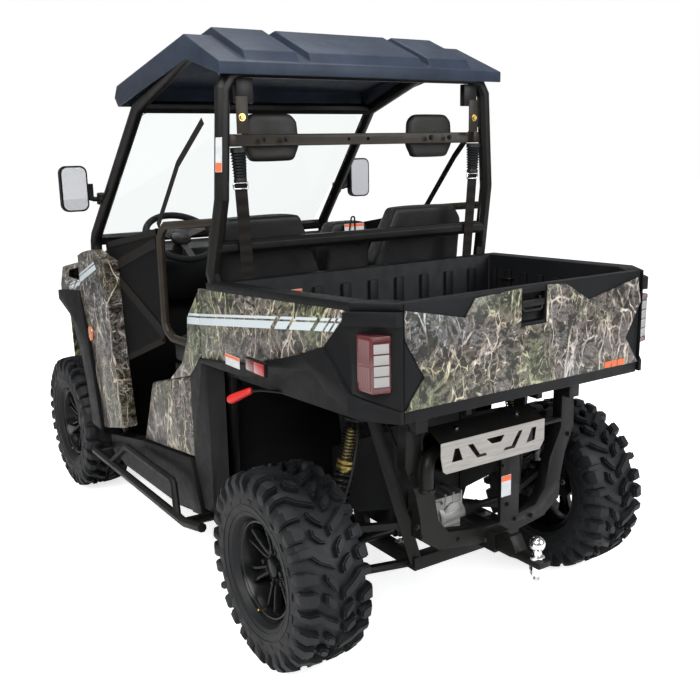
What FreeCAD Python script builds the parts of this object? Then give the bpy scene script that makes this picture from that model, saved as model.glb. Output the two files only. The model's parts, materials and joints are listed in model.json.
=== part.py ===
"""A side by side utility vehicle: an open three-seat cab in a tube cage, a tilting cargo bed
with a tailgate, four driven wheels and a tow ball. Millimetres, +X forward, +Y left, +Z up,
with the origin on the ground below the middle of its length."""
import FreeCAD
import Part
import math
import os

# Driving sizes of the whole vehicle
WHEELBASE = 1955.0
REAR_OVERHANG = 522.5
FRONT_OVERHANG = 472.5
REAR_TRACK = 1214.0
FRONT_TRACK = 1229.0
TYRE_RADIUS = 320.0
REAR_TYRE_WIDTH = 250.0
FRONT_TYRE_WIDTH = 215.0
CAB_HALF_WIDTH = 560.0
FIT = 0.3
MOVING_GAP = 6.0
OVERRUN = 5.0

PIPE_SIDES = 8
SHAFT_SIDES = 16
PIPE_ARC_SHARE = 0.45
CORNER_SHARE = 0.5
BEND_STEP = math.radians(31.0)
FLAT_SHARE = math.cos(math.pi / PIPE_SIDES)

OVERALL_LENGTH = REAR_OVERHANG + WHEELBASE + FRONT_OVERHANG
REAR_X = -OVERALL_LENGTH / 2
FRONT_X = OVERALL_LENGTH / 2
REAR_AXLE_X = REAR_X + REAR_OVERHANG
FRONT_AXLE_X = REAR_AXLE_X + WHEELBASE
AXLE_Z = TYRE_RADIUS
REAR_WHEEL_Y = REAR_TRACK / 2
FRONT_WHEEL_Y = FRONT_TRACK / 2

# Tube cage: the hoop stands behind the seats, the pillars lean back from the cowl
CAGE_RADIUS = 25.0
CAGE_BEND = 90.0
HOOP_AHEAD_OF_AXLE = 447.5
HOOP_BASE_Y = CAB_HALF_WIDTH
HOOP_WAIST_OUT = 40.0
HOOP_KNEE_OUT = 20.0
HOOP_TOP_IN = 5.0
HOOP_WAIST_LEAD = 13.0
HOOP_KNEE_BACK = 40.0
HOOP_BASE_BEND_Z = 1000.0
HOOP_WAIST_Z = 1200.0
HOOP_KNEE_Z = 1446.0
HOOP_TOP_Z = 1857.0
SEAT_TUBE_Z = 1283.0
PILLAR_OUT = 40.0
PILLAR_FOOT_BEHIND_AXLE = 522.5
PILLAR_KNEE_Z = 500.0
PILLAR_BASE_BEHIND_AXLE = 269.5
PILLAR_BASE_Z = 1221.0
PILLAR_LEAN = 521.0
PILLAR_TOP_Z = 1775.0
PILLAR_TOP_IN = 5.0
RIDGE_TUBE_IN = 15.0
RIDGE_AHEAD_OF_HOOP = 160.0

HOOP_WAIST_Y = CAB_HALF_WIDTH + HOOP_WAIST_OUT
HOOP_KNEE_Y = CAB_HALF_WIDTH + HOOP_KNEE_OUT
HOOP_TOP_Y = CAB_HALF_WIDTH - HOOP_TOP_IN
PILLAR_Y = CAB_HALF_WIDTH + PILLAR_OUT
PILLAR_TOP_Y = CAB_HALF_WIDTH - PILLAR_TOP_IN
RIDGE_TUBE_Y = CAB_HALF_WIDTH - RIDGE_TUBE_IN
HOOP_X = REAR_AXLE_X + HOOP_AHEAD_OF_AXLE
HOOP_WAIST_X = HOOP_X + HOOP_WAIST_LEAD
HOOP_TOP_X = HOOP_X - HOOP_KNEE_BACK
PILLAR_BASE_X = FRONT_AXLE_X - PILLAR_BASE_BEHIND_AXLE
PILLAR_TOP_X = PILLAR_BASE_X - PILLAR_LEAN
RIDGE_X = HOOP_X + RIDGE_AHEAD_OF_HOOP


def vec(x, y, z):
    return FreeCAD.Vector(x, y, z)


def box(low, high):
    """A block between two corners."""
    sides = [top - bottom for bottom, top in zip(low, high)]
    return Part.makeBox(*sides, vec(*low))


def face(points):
    return Part.Face(Part.makePolygon(points + points[:1]))


def side_slab(points, y_from, y_to):
    """Extrudes an outline of (x, z) points across the vehicle."""
    return face([vec(x, y_from, z) for x, z in points]).extrude(vec(0, y_to - y_from, 0))


def cross_slab(points, x_from, x_to):
    """Extrudes an outline of (y, z) points along the vehicle."""
    return face([vec(x_from, y, z) for y, z in points]).extrude(vec(x_to - x_from, 0, 0))


def flat_slab(points, z_from, z_to):
    """Extrudes an outline of (x, y) points upwards."""
    return face([vec(x, y, z_from) for x, y in points]).extrude(vec(0, 0, z_to - z_from))


def outline(shares, start, end):
    """Turns shares into points between two opposite corners."""
    return [(start[0] + a * (end[0] - start[0]), start[1] + b * (end[1] - start[1]))
            for a, b in shares]


def beam(start, end, width, height):
    """A square section bar between two points, its width level."""
    along = vec(*end) - vec(*start)
    level = along.cross(vec(0, 0, 1))
    if level.Length < FIT:
        level = vec(1, 0, 0)
    level.normalize()
    rise = level.cross(along).normalize() * (height / 2)
    level = level * (width / 2)
    first = vec(*start)
    corners = [first + level + rise, first - level + rise, first - level - rise, first + level - rise]
    return face(corners).extrude(along)


def bend_points(points, bend):
    """Replaces each corner of a route by the corners of a polygon about its tangent arc."""
    route = [points[0]]
    for before, corner, after in zip(points, points[1:], points[2:]):
        into = (corner - before).normalize()
        out = (after - corner).normalize()
        turn = into.getAngle(out)
        shorter = min((corner - before).Length, (after - corner).Length)
        arc_radius = min(bend, PIPE_ARC_SHARE * shorter / math.tan(turn / 2))
        steps = math.ceil(turn / BEND_STEP)
        step = turn / steps
        reach = arc_radius * math.tan(turn / 2)
        chord = arc_radius * math.tan(step / 2)
        axis = into.cross(out).normalize()
        place = corner - into * reach
        heading = into
        for _ in range(steps):
            place = place + heading * chord
            route.append(place)
            heading = FreeCAD.Rotation(axis, math.degrees(step)).multVec(heading)
            place = place + heading * chord
    return route + [points[-1]]


def pipe(points, radius, bend, sides=PIPE_SIDES):
    """A round tube as a mitred many-sided section along a route with bent corners."""
    route = bend_points([vec(*point) for point in points], bend)
    heading = (route[1] - route[0]).normalize()
    level = heading.cross(vec(0, 0, 1))
    if level.Length < PIPE_ARC_SHARE:
        level = vec(1, 0, 0)
    level = (level - heading * level.dot(heading)).normalize()
    rise = heading.cross(level)
    turns = [2 * math.pi * (side + CORNER_SHARE) / sides for side in range(sides)]
    rings = [[route[0] + level * (radius * math.cos(turn)) + rise * (radius * math.sin(turn))
              for turn in turns]]
    for place, after in zip(route[1:], route[2:] + [None]):
        onward = heading if after is None else (after - place).normalize()
        mitre = heading + onward
        rings.append([point + heading * ((place - point).dot(mitre) / heading.dot(mitre))
                      for point in rings[-1]])
        heading = onward
    return skin(rings)


def rod(start, end, radius, sides=PIPE_SIDES):
    """A straight round bar between two points."""
    return pipe([start, end], radius, radius, sides)


def bore(start, end, radius, sides=PIPE_SIDES):
    """The cutter of a hole: its flats, not its corners, lie at the radius."""
    return rod(start, end, radius / math.cos(math.pi / sides), sides)


def skin(rings):
    """A closed body through rings that have as many corners each."""
    count = len(rings[0])
    faces = [face(rings[0]), face(rings[-1])]
    for first, second in zip(rings, rings[1:]):
        for turn in range(count):
            after = (turn + 1) % count
            faces.append(face([first[turn], first[after], second[after], second[turn]]))
    solid = Part.makeSolid(Part.makeShell(faces))
    if solid.Volume < 0:
        solid.reverse()
    return solid


def fuse(shapes):
    """Joins solids into one."""
    whole = shapes[0].multiFuse(shapes[1:])
    return whole.removeSplitter()


def other_side(shape):
    """The same piece on the right of the vehicle."""
    return shape.mirror(vec(0, 0, 0), vec(0, 1, 0))


def pair(shape):
    return [shape, other_side(shape)]


def save(name, shapes):
    """Writes one sub-part: a single solid, or like solids that stand apart."""
    whole = shapes[0] if len(shapes) == 1 else Part.makeCompound(shapes)
    whole.exportStep("parts/" + name + ".step")


# Frame: two box rails, cross members, sill tubes and the uprights that carry bed and shocks
RAIL_SIZE = 44.0
RAIL_Y = 210.0
RAIL_BOTTOM_Z = 250.0
RAIL_REAR_INSET = 350.0
RAIL_FRONT_INSET = 200.0
SILL_SIZE = 36.0
SILL_OUT = 20.0
SILL_LEAD = 40.0
STEP_FRONT_BEHIND_AXLE = 440.0
CROSS_SHARES = (0.0, 0.28, 0.44, 0.66, 0.80, 1.0)
PLATE_BEHIND_AXLE = 292.5
PLATE_OUT_Y = 360.0
PLATE_BOTTOM_Z = 346.0
PLATE_TOP_Z = 800.0
PLATE_SHARES = (
    (0.833, 1.0), (0.958, 1.0), (0.989, 0.949), (1.0, 0.707), (0.894, 0.511), (0.844, 0.328), (0.831, 0.161),
    (0.622, 0.051), (0.186, 0.0), (-0.003, 0.0), (-0.003, 0.11), (0.167, 0.119), (0.528, 0.163), (0.644, 0.273),
    (0.694, 0.493), (0.833, 0.714))
PLATE_HEAD_IN_Y = 300.0
PLATE_HEAD_OUT_Y = 345.0
PLATE_HEAD_Z = 842.0
PLATE_LINK_Y = 218.0
PLATE_LINK_Z = 390.0
PLATE_LINK_SIZE = 36.0
MIDDLE_PLATE_LEFT_Y = -29.0
MIDDLE_PLATE_RIGHT_Y = -110.0
MIDDLE_PLATE_TOP_Z = 620.0
MIDDLE_PLATE_THICKNESS = 14.0
BED_HINGE_Z = 830.0
BED_HINGE_BEHIND_AXLE = 312.5
BED_PIN_RADIUS = 12.0
UPRIGHT_SIZE = 40.0
TOWER_TOP_Y = 330.0
TOWER_TOP_Z = 790.0
TOWER_LEAN = 150.0
RECEIVER_SIZE = 64.0
RECEIVER_WALL = 6.0
RECEIVER_LENGTH = 170.0
RECEIVER_BEHIND_PLATE = 40.0
RECEIVER_Z = 353.0
RACK_BEHIND_AXLE = 90.0
RACK_Z = 365.0
RACK_RADIUS = 8.0
RACK_EAR = 20.0
RACK_EAR_Y = 130.0

RAIL_REAR_X = REAR_X + RAIL_REAR_INSET
RAIL_FRONT_X = FRONT_X - RAIL_FRONT_INSET
RAIL_TOP_Z = RAIL_BOTTOM_Z + RAIL_SIZE
RAIL_Z = RAIL_BOTTOM_Z + RAIL_SIZE / 2
BED_HINGE_X = REAR_AXLE_X - BED_HINGE_BEHIND_AXLE
PLATE_REAR_X = REAR_AXLE_X - PLATE_BEHIND_AXLE
PLATE_FRONT_X = PLATE_REAR_X + UPRIGHT_SIZE
RECEIVER_REAR_X = PLATE_REAR_X - RECEIVER_BEHIND_PLATE
SILL_Y = CAB_HALF_WIDTH + SILL_OUT
SILL_Z = RAIL_TOP_Z + FIT + SILL_SIZE / 2
SILL_TOP_Z = SILL_Z + SILL_SIZE / 2
CAB_FLOOR_Z = SILL_TOP_Z + FIT
SILL_REAR_X = HOOP_X - SILL_LEAD
PILLAR_FOOT_X = FRONT_AXLE_X - PILLAR_FOOT_BEHIND_AXLE
STEP_FRONT_X = FRONT_AXLE_X - STEP_FRONT_BEHIND_AXLE
SILL_FRONT_X = STEP_FRONT_X + SILL_SIZE / 2
RACK_X = FRONT_AXLE_X - RACK_BEHIND_AXLE


def tower_leg(axle_x, lean, grow):
    """One leaning leg of a shock tower, from the rail to the tower's top."""
    size = UPRIGHT_SIZE + grow + grow
    return beam((axle_x + lean, RAIL_Y, RAIL_Z), (axle_x + lean / 2, TOWER_TOP_Y, TOWER_TOP_Z), size, size)


def rails(grow):
    """Both box rails with their cross members."""
    half = RAIL_SIZE / 2 + grow
    pieces = pair(box((RAIL_REAR_X, RAIL_Y - half, RAIL_BOTTOM_Z - grow),
                      (RAIL_FRONT_X + grow, RAIL_Y + half, RAIL_TOP_Z + grow)))
    for share in CROSS_SHARES:
        x = RAIL_REAR_X + RAIL_SIZE / 2 + share * (RAIL_FRONT_X - RAIL_REAR_X - RAIL_SIZE)
        pieces.append(box((x - half, -RAIL_Y, RAIL_BOTTOM_Z - grow), (x + half, RAIL_Y, RAIL_TOP_Z + grow)))
    return pieces


def frame():
    """The ladder of rails, with the ears that guide the steering rack."""
    pieces = rails(0)
    for side in (-1, 1):
        ear_y = side * RACK_EAR_Y
        pieces.append(box((RACK_X - RACK_EAR, ear_y - RACK_EAR / 2, RAIL_BOTTOM_Z),
                          (RACK_X + RACK_EAR, ear_y + RACK_EAR / 2, RACK_Z + RACK_EAR)))
    pieces.append(box((RACK_X - RAIL_SIZE / 2, -RAIL_Y, RAIL_BOTTOM_Z),
                      (RACK_X + RAIL_SIZE / 2, RAIL_Y, RAIL_TOP_Z - RACK_RADIUS)))
    return fuse(pieces).cut(bore((RACK_X, -RAIL_Y, RACK_Z), (RACK_X, RAIL_Y, RACK_Z), RACK_RADIUS + FIT))


def sill_frame():
    """The sill tubes below the doorways and the tubes that join them across the rails."""
    pieces = pair(beam((SILL_REAR_X, SILL_Y, SILL_Z), (SILL_FRONT_X, SILL_Y, SILL_Z), SILL_SIZE, SILL_SIZE))
    for x in (HOOP_X, PILLAR_FOOT_X):
        pieces.append(beam((x, -SILL_Y, SILL_Z), (x, SILL_Y, SILL_Z), SILL_SIZE, SILL_SIZE))
    return fuse(pieces)


def rear_uprights():
    """The plates behind the gear case with the bed's pivot tube and the hitch receiver."""
    points = outline(PLATE_SHARES, (0, PLATE_BOTTOM_Z), (PLATE_OUT_Y, PLATE_TOP_Z))
    pieces = pair(cross_slab(points, PLATE_REAR_X, PLATE_FRONT_X))
    pieces += pair(box((BED_HINGE_X - BED_PIN_RADIUS, PLATE_HEAD_IN_Y, PLATE_TOP_Z - UPRIGHT_SIZE / 2),
                       (PLATE_FRONT_X, PLATE_HEAD_OUT_Y, PLATE_HEAD_Z)))
    half = PLATE_LINK_SIZE / 2
    pieces += pair(box((PLATE_REAR_X, PLATE_LINK_Y - half, PLATE_LINK_Z - half),
                       (REAR_AXLE_X - TOWER_LEAN, PLATE_LINK_Y + half, PLATE_LINK_Z + half)))
    pieces.append(rod((BED_HINGE_X, -PLATE_HEAD_OUT_Y, BED_HINGE_Z), (BED_HINGE_X, PLATE_HEAD_OUT_Y, BED_HINGE_Z),
                      BED_PIN_RADIUS, SHAFT_SIDES))
    pieces.append(box((PLATE_REAR_X, MIDDLE_PLATE_RIGHT_Y, PLATE_BOTTOM_Z),
                      (PLATE_REAR_X + MIDDLE_PLATE_THICKNESS, MIDDLE_PLATE_LEFT_Y, MIDDLE_PLATE_TOP_Z)))
    half = RECEIVER_SIZE / 2
    receiver_front = RECEIVER_REAR_X + RECEIVER_LENGTH
    pieces.append(box((RECEIVER_REAR_X, -half, RECEIVER_Z - half), (receiver_front, half, RECEIVER_Z + half)))
    hole = half - RECEIVER_WALL
    whole = fuse(pieces).cut(box((RECEIVER_REAR_X - OVERRUN, -hole, RECEIVER_Z - hole),
                                 (receiver_front - RECEIVER_WALL, hole, RECEIVER_Z + hole)))
    for leg in pair(tower_leg(REAR_AXLE_X, -TOWER_LEAN, FIT)):
        whole = whole.cut(leg)
    return max(whole.Solids, key=lambda solid: solid.Volume)


def shock_tower(axle_x):
    """Four leaning legs and the tubes on top that the shocks hang from."""
    pieces = []
    for lean in (-TOWER_LEAN, TOWER_LEAN):
        pieces += pair(tower_leg(axle_x, lean, 0))
    for side in (-1, 1):
        pieces.append(beam((axle_x - TOWER_LEAN / 2, side * TOWER_TOP_Y, TOWER_TOP_Z),
                           (axle_x + TOWER_LEAN / 2, side * TOWER_TOP_Y, TOWER_TOP_Z),
                           UPRIGHT_SIZE, UPRIGHT_SIZE))
    pieces.append(beam((axle_x, -TOWER_TOP_Y, TOWER_TOP_Z), (axle_x, TOWER_TOP_Y, TOWER_TOP_Z),
                       UPRIGHT_SIZE, UPRIGHT_SIZE))
    whole = fuse(pieces).cut(fuse(rails(FIT)))
    return max(whole.Solids, key=lambda solid: solid.Volume)


def hoop_points(side):
    """The rear hoop's centre line on one side, from the sill tube to the top corner."""
    return [(HOOP_X, side * HOOP_BASE_Y, SILL_TOP_Z + FIT),
            (HOOP_X, side * HOOP_BASE_Y, HOOP_BASE_BEND_Z),
            (HOOP_WAIST_X, side * HOOP_WAIST_Y, HOOP_WAIST_Z),
            (HOOP_TOP_X, side * HOOP_KNEE_Y, HOOP_KNEE_Z),
            (HOOP_TOP_X, side * HOOP_TOP_Y, HOOP_TOP_Z)]


def hoop_place(z):
    """Where the left post's centre line is at a height above the bed's rim, as (x, y)."""
    if z > HOOP_KNEE_Z:
        share = (z - HOOP_KNEE_Z) / (HOOP_TOP_Z - HOOP_KNEE_Z)
        return HOOP_TOP_X, HOOP_KNEE_Y + share * (HOOP_TOP_Y - HOOP_KNEE_Y)
    share = (z - HOOP_WAIST_Z) / (HOOP_KNEE_Z - HOOP_WAIST_Z)
    return HOOP_WAIST_X + share * (HOOP_TOP_X - HOOP_WAIST_X), HOOP_WAIST_Y + share * (HOOP_KNEE_Y - HOOP_WAIST_Y)


def hoop_tube(radius):
    return pipe(hoop_points(-1) + hoop_points(1)[::-1], radius, CAGE_BEND)


def back_rear_x(z):
    """The sloping rear plane of the seat backs at a height."""
    return BACK_REAR_X + BACK_RAKE * (BACK_TOP_Z - z) / (BACK_TOP_Z - BACK_BOTTOM_Z)


def roll_cage_rear():
    """The hoop, the tube behind the seats and the tabs that the seat backs bolt to."""
    tube_x, tube_y = hoop_place(SEAT_TUBE_Z)
    seat_tube = rod((tube_x, -tube_y, SEAT_TUBE_Z), (tube_x, tube_y, SEAT_TUBE_Z), CAGE_RADIUS)
    low = SEAT_TUBE_Z - SEAT_TAB_HEIGHT / 2
    high = SEAT_TUBE_Z + SEAT_TAB_HEIGHT / 2
    points = [(tube_x, low), (back_rear_x(low) - FIT, low), (back_rear_x(high) - FIT, high), (tube_x, high)]
    tabs = [side_slab(points, y - SEAT_TAB_WIDTH / 2, y + SEAT_TAB_WIDTH / 2)
            for y in SEAT_TAB_Y + tuple(-y for y in SEAT_TAB_Y)]
    tabs.append(side_slab(points, -SEAT_TAB_WIDTH, SEAT_TAB_WIDTH))
    return fuse([hoop_tube(CAGE_RADIUS), seat_tube] + tabs)


def pillar_points():
    """Pillar and roof rail in one tube: up from the sill, back along the roof, to the hoop."""
    return [(PILLAR_FOOT_X, PILLAR_Y, SILL_TOP_Z + FIT),
            (PILLAR_FOOT_X, PILLAR_Y, PILLAR_KNEE_Z),
            (PILLAR_BASE_X, PILLAR_Y, PILLAR_BASE_Z),
            (PILLAR_TOP_X, PILLAR_TOP_Y, PILLAR_TOP_Z),
            (RIDGE_X, RIDGE_TUBE_Y, RIDGE_TUBE_Z),
            (HOOP_TOP_X, RIDGE_TUBE_Y, HOOP_TOP_Z)]


def roll_cage_front():
    tube = pipe(pillar_points(), CAGE_RADIUS, CAGE_BEND)
    head = rod((PILLAR_TOP_X, -PILLAR_TOP_Y, PILLAR_TOP_Z), (PILLAR_TOP_X, PILLAR_TOP_Y, PILLAR_TOP_Z),
               CAGE_RADIUS)
    ridge = rod((RIDGE_X, -RIDGE_TUBE_Y, RIDGE_TUBE_Z), (RIDGE_X, RIDGE_TUBE_Y, RIDGE_TUBE_Z),
                CAGE_RADIUS)
    foot = rod((PILLAR_BASE_X, -PILLAR_Y, PILLAR_BASE_Z), (PILLAR_BASE_X, PILLAR_Y, PILLAR_BASE_Z),
               CAGE_RADIUS)
    whole = fuse(pair(tube) + [head, ridge, foot])
    return whole.cut(hoop_tube(CAGE_RADIUS + FIT))


# Roof: a moulded sheet that falls both ways from a ridge near the hoop
ROOF_OUT = 35.0
ROOF_WALL = 10.0
ROOF_RIDGE_Z = 1986.0
ROOF_REAR_BEHIND_HOOP = 101.0
ROOF_REAR_Z = 1877.0
ROOF_REAR_LIP = 39.0
ROOF_FRONT_AHEAD = 116.0
ROOF_FRONT_Z = 1861.0
ROOF_NOSE_AHEAD = 150.0
ROOF_NOSE_DROP = 44.0
ROOF_FRONT_LIP = 81.0
ROOF_PANEL_RISE = 27.0
ROOF_PANEL_REAR = 14.0
ROOF_PANEL_FRONT = 60.0
ROOF_PANEL_SLOPE = 22.0
ROOF_PANEL_SHARES = ((-0.763, -0.442), (-0.383, 0.415), (0.494, 0.829))

ROOF_HALF_WIDTH = CAB_HALF_WIDTH + ROOF_OUT
ROOF_REAR_X = HOOP_X - ROOF_REAR_BEHIND_HOOP
ROOF_FRONT_X = PILLAR_TOP_X + ROOF_FRONT_AHEAD


ROOF_SLOPE_SHARE = (ROOF_RIDGE_Z - ROOF_REAR_Z) / (RIDGE_X - ROOF_REAR_X)
ROOF_FALL_SHARE = (ROOF_RIDGE_Z - ROOF_FRONT_Z) / (ROOF_FRONT_X - RIDGE_X)
RIDGE_TUBE_Z = ROOF_RIDGE_Z - ROOF_WALL - (CAGE_RADIUS + FIT) / math.cos(math.atan(ROOF_SLOPE_SHARE))


def roof_slopes(drop, rear, front):
    """The roof's top line as (x, z) points, lowered and pulled in from its rear and front ends."""
    return [(ROOF_REAR_X + rear, ROOF_REAR_Z - drop + rear * ROOF_SLOPE_SHARE),
            (RIDGE_X, ROOF_RIDGE_Z - drop),
            (ROOF_FRONT_X - front, ROOF_FRONT_Z - drop + front * ROOF_FALL_SHARE)]


def roof():
    nose = (ROOF_FRONT_X + (ROOF_NOSE_AHEAD - ROOF_FRONT_AHEAD), ROOF_FRONT_Z - ROOF_NOSE_DROP)
    outside = roof_slopes(0, 0, 0) + [nose, (ROOF_FRONT_X, ROOF_FRONT_Z - ROOF_FRONT_LIP),
                                   (RIDGE_X, ROOF_RIDGE_Z - ROOF_FRONT_LIP),
                                   (ROOF_REAR_X, ROOF_REAR_Z - ROOF_REAR_LIP)]
    inside = roof_slopes(ROOF_WALL, ROOF_WALL, ROOF_WALL)
    below = ROOF_FRONT_LIP + ROOF_FRONT_LIP
    inside += [(x, z - below) for x, z in reversed(inside)]
    shell = side_slab(outside, -ROOF_HALF_WIDTH, ROOF_HALF_WIDTH)
    inner_y = ROOF_HALF_WIDTH - ROOF_WALL
    shell = shell.cut(side_slab(inside, -inner_y, inner_y))
    top = roof_slopes(-ROOF_PANEL_RISE, ROOF_PANEL_REAR + ROOF_PANEL_SLOPE, ROOF_PANEL_FRONT + ROOF_PANEL_SLOPE)
    bottom = roof_slopes(FIT, ROOF_PANEL_REAR, ROOF_PANEL_FRONT)
    panels = [side_slab(top + bottom[::-1], low * ROOF_HALF_WIDTH, high * ROOF_HALF_WIDTH)
              for low, high in ROOF_PANEL_SHARES]
    return fuse([shell] + panels)


# Windshield: one clear sheet that lies on the front of the pillars
GLASS_THICKNESS = 6.0
GLASS_SHARES = ((-1.0, 0.0), (1.0, 0.0), (1.0, 0.86), (0.80, 1.0), (-0.80, 1.0), (-1.0, 0.86))


def windshield():
    start = vec(PILLAR_BASE_X, 0, PILLAR_BASE_Z)
    up_glass = vec(PILLAR_TOP_X, 0, PILLAR_TOP_Z) - start
    out = vec(up_glass.z, 0, -up_glass.x).normalize()
    start = start + out * (CAGE_RADIUS * FLAT_SHARE + FIT)
    corners = [start + vec(0, CAB_HALF_WIDTH * across, 0) + up_glass * along
               for across, along in GLASS_SHARES]
    return face(corners).extrude(out * GLASS_THICKNESS)


# Front body: camouflage side panels with the wheel arch, hood, black nose and lamps
SIDE_OUT = 130.0
SIDE_DEPTH = 250.0
SIDE_WALL = 30.0
SIDE_RETURN = 60.0
SIDE_REAR_BEHIND_AXLE = 728.5
NOSE_BEHIND_GUARD = 79.0
SIDE_BOTTOM_Z = 403.0
SIDE_TOP_Z = 1197.0
SIDE_TOP_SHARES = (
    (0.0, 0.087), (0.057, 0.55), (0.078, 0.958), (0.254, 1.0), (0.334, 0.98), (0.455, 0.93),
    (0.76, 0.84), (0.935, 0.76), (1.0, 0.62), (1.0, 0.20))
SIDE_ARCH_SHARES = (
    (0.96, 0.20), (0.93, 0.50), (0.82, 0.635), (0.66, 0.665), (0.52, 0.615), (0.41, 0.50),
    (0.33, 0.34), (0.258, 0.0))
FENDER_FLARE = 16.0
FENDER_FLARE_SHARES = (
    (0.226, 0.0), (0.304, 0.463), (0.399, 0.758), (0.64, 0.722), (0.80, 0.69), (0.93, 0.60), (0.93, 0.50),
    (0.82, 0.635), (0.66, 0.665), (0.52, 0.60), (0.415, 0.407), (0.37, 0.25), (0.332, 0.0))
FENDER_SLOPE_Z = 995.0
FENDER_SLOPE_HEIGHT = 160.0
FENDER_SLOPE_WIDTH = 130.0
NOSE_CHAMFER_X = 383.0
NOSE_CHAMFER_Y = 150.0
HOOD_SIDE_GAP = 10.0
HOOD_WALL = 14.0
HOOD_REAR_AHEAD = 20.0
HOOD_REAR_Z = 1185.0
HOOD_FRONT_Z = 960.0
HOOD_OUTLINE_SHARES = ((0.0, 0.30), (0.0, 1.0), (0.45, 0.86), (0.86, 0.56), (1.0, 0.30), (1.0, 0.0),
                       (0.97, 0.0))
HOOD_HINGE_INSET = 10.0
HOOD_HINGE_RISE = 25.0
HOOD_PIN_RADIUS = 6.0
HOOD_PIN_REACH = 18.0
NOSE_DEPTH = 60.0
NOSE_BOTTOM_Z = 560.0
GRILLE_SLOTS = 6
GRILLE_SLOT = 18.0
GRILLE_HALF_WIDTH = 250.0
GRILLE_BOTTOM_Z = 640.0
GRILLE_PITCH = 40.0
LAMP_WIDTH = 120.0
LAMP_HEIGHT = 95.0
LAMP_PROUD = 8.0
LAMP_DEPTH = 60.0
LAMP_BOTTOM_Z = 820.0

SIDE_OUT_Y = CAB_HALF_WIDTH + SIDE_OUT
SIDE_IN_Y = SIDE_OUT_Y - SIDE_DEPTH
HOOD_HALF_WIDTH = SIDE_IN_Y - HOOD_SIDE_GAP
NOSE_HALF_WIDTH = SIDE_IN_Y - FIT
SIDE_REAR_X = FRONT_AXLE_X - SIDE_REAR_BEHIND_AXLE
SIDE_NOSE_X = FRONT_X - NOSE_BEHIND_GUARD
FENDER_SLOPE_X = PILLAR_BASE_X - FENDER_FLARE
COWL_REAR_X = PILLAR_BASE_X - CAGE_RADIUS
HOOD_REAR_X = PILLAR_BASE_X + CAGE_RADIUS + HOOD_REAR_AHEAD
HOOD_FRONT_X = SIDE_NOSE_X - NOSE_DEPTH
HOOD_HINGE_X = HOOD_FRONT_X - HOOD_HINGE_INSET
HOOD_HINGE_Z = HOOD_FRONT_Z + HOOD_HINGE_RISE


def front_plan(inset):
    """Plan of the front corner, pulled in by a wall."""
    out = SIDE_OUT_Y - inset
    nose = SIDE_NOSE_X - inset
    return [(SIDE_REAR_X - OVERRUN, 0), (nose, 0), (nose, out - NOSE_CHAMFER_Y),
            (nose - NOSE_CHAMFER_X, out), (SIDE_REAR_X - OVERRUN, out)]


def front_side_panel():
    """Fender and cab side in one moulding: an outer wall with a deck over the wheel."""
    low = (SIDE_REAR_X, SIDE_BOTTOM_Z)
    high = (SIDE_NOSE_X, SIDE_TOP_Z)
    outside = side_slab(outline(SIDE_TOP_SHARES + SIDE_ARCH_SHARES, low, high), SIDE_IN_Y, SIDE_OUT_Y)
    outside = outside.common(flat_slab(front_plan(0), 0, SIDE_TOP_Z + OVERRUN))
    line = outline(SIDE_TOP_SHARES, (SIDE_REAR_X + SIDE_WALL, SIDE_BOTTOM_Z),
                   (SIDE_NOSE_X - SIDE_WALL, SIDE_TOP_Z - SIDE_WALL))
    hollow = side_slab(line + [(SIDE_NOSE_X - SIDE_WALL, 0), (SIDE_REAR_X + SIDE_WALL, 0)],
                       0, SIDE_OUT_Y - SIDE_WALL)
    hollow = hollow.common(flat_slab(front_plan(SIDE_WALL), 0, SIDE_TOP_Z))
    slope = cross_slab([(SIDE_OUT_Y + OVERRUN, FENDER_SLOPE_Z),
                        (SIDE_OUT_Y - FENDER_SLOPE_WIDTH, FENDER_SLOPE_Z + FENDER_SLOPE_HEIGHT),
                        (SIDE_OUT_Y - FENDER_SLOPE_WIDTH, SIDE_TOP_Z + OVERRUN),
                        (SIDE_OUT_Y + OVERRUN, SIDE_TOP_Z + OVERRUN)], FENDER_SLOPE_X, FRONT_X)
    doorway = box((SIDE_REAR_X - OVERRUN, 0, 0),
                  (COWL_REAR_X, SIDE_OUT_Y - SIDE_RETURN, SIDE_TOP_Z + OVERRUN))
    pillar = pipe(pillar_points(), CAGE_RADIUS + FIT, CAGE_BEND)
    pin_hole = bore((HOOD_HINGE_X, SIDE_IN_Y - OVERRUN, HOOD_HINGE_Z),
                    (HOOD_HINGE_X, SIDE_IN_Y + HOOD_PIN_REACH + FIT, HOOD_HINGE_Z), HOOD_PIN_RADIUS + FIT)
    shell = outside.cut(slope).cut(hollow).cut(doorway).cut(pillar).cut(pin_hole)
    return max(shell.Solids, key=lambda solid: solid.Volume)


def fender_flare():
    """The black band along the wheel arch, which stands proud of the side panel's edge."""
    low = (SIDE_REAR_X, SIDE_BOTTOM_Z)
    high = (SIDE_NOSE_X, SIDE_TOP_Z)
    band = side_slab(outline(FENDER_FLARE_SHARES, low, high), SIDE_OUT_Y + FIT, SIDE_OUT_Y + FENDER_FLARE)
    cut = flat_slab([(x, y + FENDER_FLARE if y > 0 else y) for x, y in front_plan(0)], 0, SIDE_TOP_Z)
    return band.common(cut)


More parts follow.
